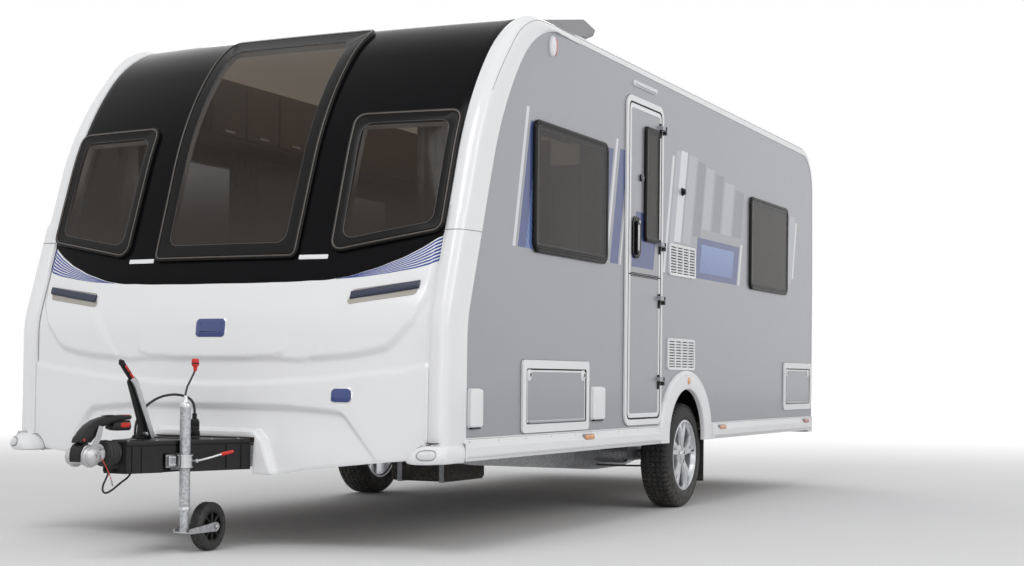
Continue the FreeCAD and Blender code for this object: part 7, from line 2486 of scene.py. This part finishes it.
class CARAVAN_OT_materials(bpy.types.Operator):
    """Make the finishes and give the kept frame pieces theirs."""
    bl_idname = "caravan.materials"
    bl_label = "Materials"

    def execute(self, context):
        make_materials(context.scene.caravan_settings)
        return built(finish_frame, context)


class CARAVAN_OT_stage(bpy.types.Operator):
    """Make the floor, the lamps, the surround and the camera."""
    bl_idname = "caravan.stage"
    bl_label = "Stage"

    def execute(self, context):
        return built(make_stage, context)


class CARAVAN_OT_cords(bpy.types.Operator):
    """Make the drawbar leads and the breakaway cable."""
    bl_idname = "caravan.cords"
    bl_label = "Leads and cable"

    def execute(self, context):
        return built(make_cords, context)


class CARAVAN_OT_front_lower(bpy.types.Operator):
    """Make the white moulding below the front windows."""
    bl_idname = "caravan.front_lower"
    bl_label = "Front moulding"

    def execute(self, context):
        return built(make_front_lower, context)


class CARAVAN_OT_front_upper(bpy.types.Operator):
    """Make the black panel round the front windows."""
    bl_idname = "caravan.front_upper"
    bl_label = "Front window panel"

    def execute(self, context):
        return built(make_front_upper, context)


class CARAVAN_OT_front_windows(bpy.types.Operator):
    """Make the curved front windows."""
    bl_idname = "caravan.front_windows"
    bl_label = "Front windows"

    def execute(self, context):
        return built(make_front_windows, context)


class CARAVAN_OT_front_corners(bpy.types.Operator):
    """Make the white corner mouldings."""
    bl_idname = "caravan.front_corners"
    bl_label = "Front corner trims"

    def execute(self, context):
        return built(make_front_corners, context)


class CARAVAN_OT_front_details(bpy.types.Operator):
    """Make the fine stripes and the blank plaques."""
    bl_idname = "caravan.front_details"
    bl_label = "Front stripes and plaques"

    def execute(self, context):
        return built(make_front_details, context)


class CARAVAN_OT_side_windows(bpy.types.Operator):
    """Make the windows in the side walls and the rear."""
    bl_idname = "caravan.side_windows"
    bl_label = "Side and rear windows"

    def execute(self, context):
        return built(make_side_windows, context)


class CARAVAN_OT_door(bpy.types.Operator):
    """Make the door's seals, window, handle and hinges."""
    bl_idname = "caravan.door"
    bl_label = "Door fittings"

    def execute(self, context):
        return built(make_door, context)


class CARAVAN_OT_hatches(bpy.types.Operator):
    """Make the hatches' seals and locks."""
    bl_idname = "caravan.hatches"
    bl_label = "Hatch fittings"

    def execute(self, context):
        return built(make_hatches, context)


class CARAVAN_OT_vents(bpy.types.Operator):
    """Make the louvred vents and the service covers."""
    bl_idname = "caravan.vents"
    bl_label = "Vents and covers"

    def execute(self, context):
        return built(make_vents, context)


class CARAVAN_OT_lamps(bpy.types.Operator):
    """Make the outside lamps."""
    bl_idname = "caravan.lamps"
    bl_label = "Lamps"

    def execute(self, context):
        return built(make_lamps, context)


class CARAVAN_OT_trims(bpy.types.Operator):
    """Make the lamps, end caps and lines along the skirt."""
    bl_idname = "caravan.trims"
    bl_label = "Skirt lamps and lines"

    def execute(self, context):
        return built(make_trims, context)


class CARAVAN_OT_arches(bpy.types.Operator):
    """Make the ridged trims over the wheel arches."""
    bl_idname = "caravan.arches"
    bl_label = "Wheel arches"

    def execute(self, context):
        return built(make_arches, context)


class CARAVAN_OT_pods(bpy.types.Operator):
    """Make the bumper corners with their lamps."""
    bl_idname = "caravan.pods"
    bl_label = "Front pods"

    def execute(self, context):
        return built(make_pods, context)


class CARAVAN_OT_roof(bpy.types.Operator):
    """Make the domed roof lights and the lines along the roof's edges."""
    bl_idname = "caravan.roof"
    bl_label = "Roof fittings"

    def execute(self, context):
        return built(make_roof, context)


class CARAVAN_OT_rear(bpy.types.Operator):
    """Make the handles, plate and lines of the rear panel."""
    bl_idname = "caravan.rear"
    bl_label = "Rear fittings"

    def execute(self, context):
        return built(make_rear, context)


class CARAVAN_OT_wheels(bpy.types.Operator):
    """Make the tyres and rims."""
    bl_idname = "caravan.wheels"
    bl_label = "Wheels"

    def execute(self, context):
        return built(make_wheels, context)


class CARAVAN_OT_chassis(bpy.types.Operator):
    """Make the fasteners and fittings under the floor."""
    bl_idname = "caravan.chassis"
    bl_label = "Chassis details"

    def execute(self, context):
        return built(make_chassis, context)


class CARAVAN_OT_hitch(bpy.types.Operator):
    """Make the coupling head, its handle, the gaiter and the handbrake."""
    bl_idname = "caravan.hitch"
    bl_label = "Hitch"

    def execute(self, context):
        return built(make_hitch, context)


class CARAVAN_OT_drawbar(bpy.types.Operator):
    """Make the drawbar's cover with its ribs and screws."""
    bl_idname = "caravan.drawbar"
    bl_label = "Drawbar cover"

    def execute(self, context):
        return built(make_drawbar, context)


class CARAVAN_OT_jockey(bpy.types.Operator):
    """Make the jockey wheel's clamp, crank and roller."""
    bl_idname = "caravan.jockey"
    bl_label = "Jockey wheel"

    def execute(self, context):
        return built(make_jockey, context)


class CARAVAN_OT_inside(bpy.types.Operator):
    """Make the cushions, the curtains and the joinery inside."""
    bl_idname = "caravan.inside"
    bl_label = "Inside"

    def execute(self, context):
        return built(make_inside, context)


OPERATORS = [
    CARAVAN_OT_materials,
    CARAVAN_OT_stage,
    CARAVAN_OT_cords,
    CARAVAN_OT_front_lower,
    CARAVAN_OT_front_upper,
    CARAVAN_OT_front_windows,
    CARAVAN_OT_front_corners,
    CARAVAN_OT_front_details,
    CARAVAN_OT_side_windows,
    CARAVAN_OT_door,
    CARAVAN_OT_hatches,
    CARAVAN_OT_vents,
    CARAVAN_OT_lamps,
    CARAVAN_OT_trims,
    CARAVAN_OT_arches,
    CARAVAN_OT_pods,
    CARAVAN_OT_roof,
    CARAVAN_OT_rear,
    CARAVAN_OT_wheels,
    CARAVAN_OT_chassis,
    CARAVAN_OT_hitch,
    CARAVAN_OT_drawbar,
    CARAVAN_OT_jockey,
    CARAVAN_OT_inside,
]


class CARAVAN_PT_panel(bpy.types.Panel):
    """Lists the caravan's settings and operators."""
    bl_idname = "CARAVAN_PT_panel"
    bl_label = "Caravan"
    bl_space_type = "VIEW_3D"
    bl_region_type = "UI"
    bl_category = "Caravan"

    def draw(self, context):
        settings = context.scene.caravan_settings
        for name in CARAVAN_PG_settings.__annotations__:
            self.layout.prop(settings, name)
        for operator in OPERATORS:
            self.layout.operator(operator.bl_idname)


def register():
    """Adds the classes, and the settings on the scene."""
    for made in [CARAVAN_PG_settings] + OPERATORS + [CARAVAN_PT_panel]:
        bpy.utils.register_class(made)
    bpy.types.Scene.caravan_settings = bpy.props.PointerProperty(type=CARAVAN_PG_settings)


def unregister():
    """Takes away what register() added."""
    del bpy.types.Scene.caravan_settings
    for made in reversed([CARAVAN_PG_settings] + OPERATORS + [CARAVAN_PT_panel]):
        bpy.utils.unregister_class(made)


def main():
    """Makes every piece."""
    register()
    for operator in OPERATORS:
        group, name = operator.bl_idname.split(".")
        getattr(getattr(bpy.ops, group), name)()


if __name__ == "__main__":
    main()
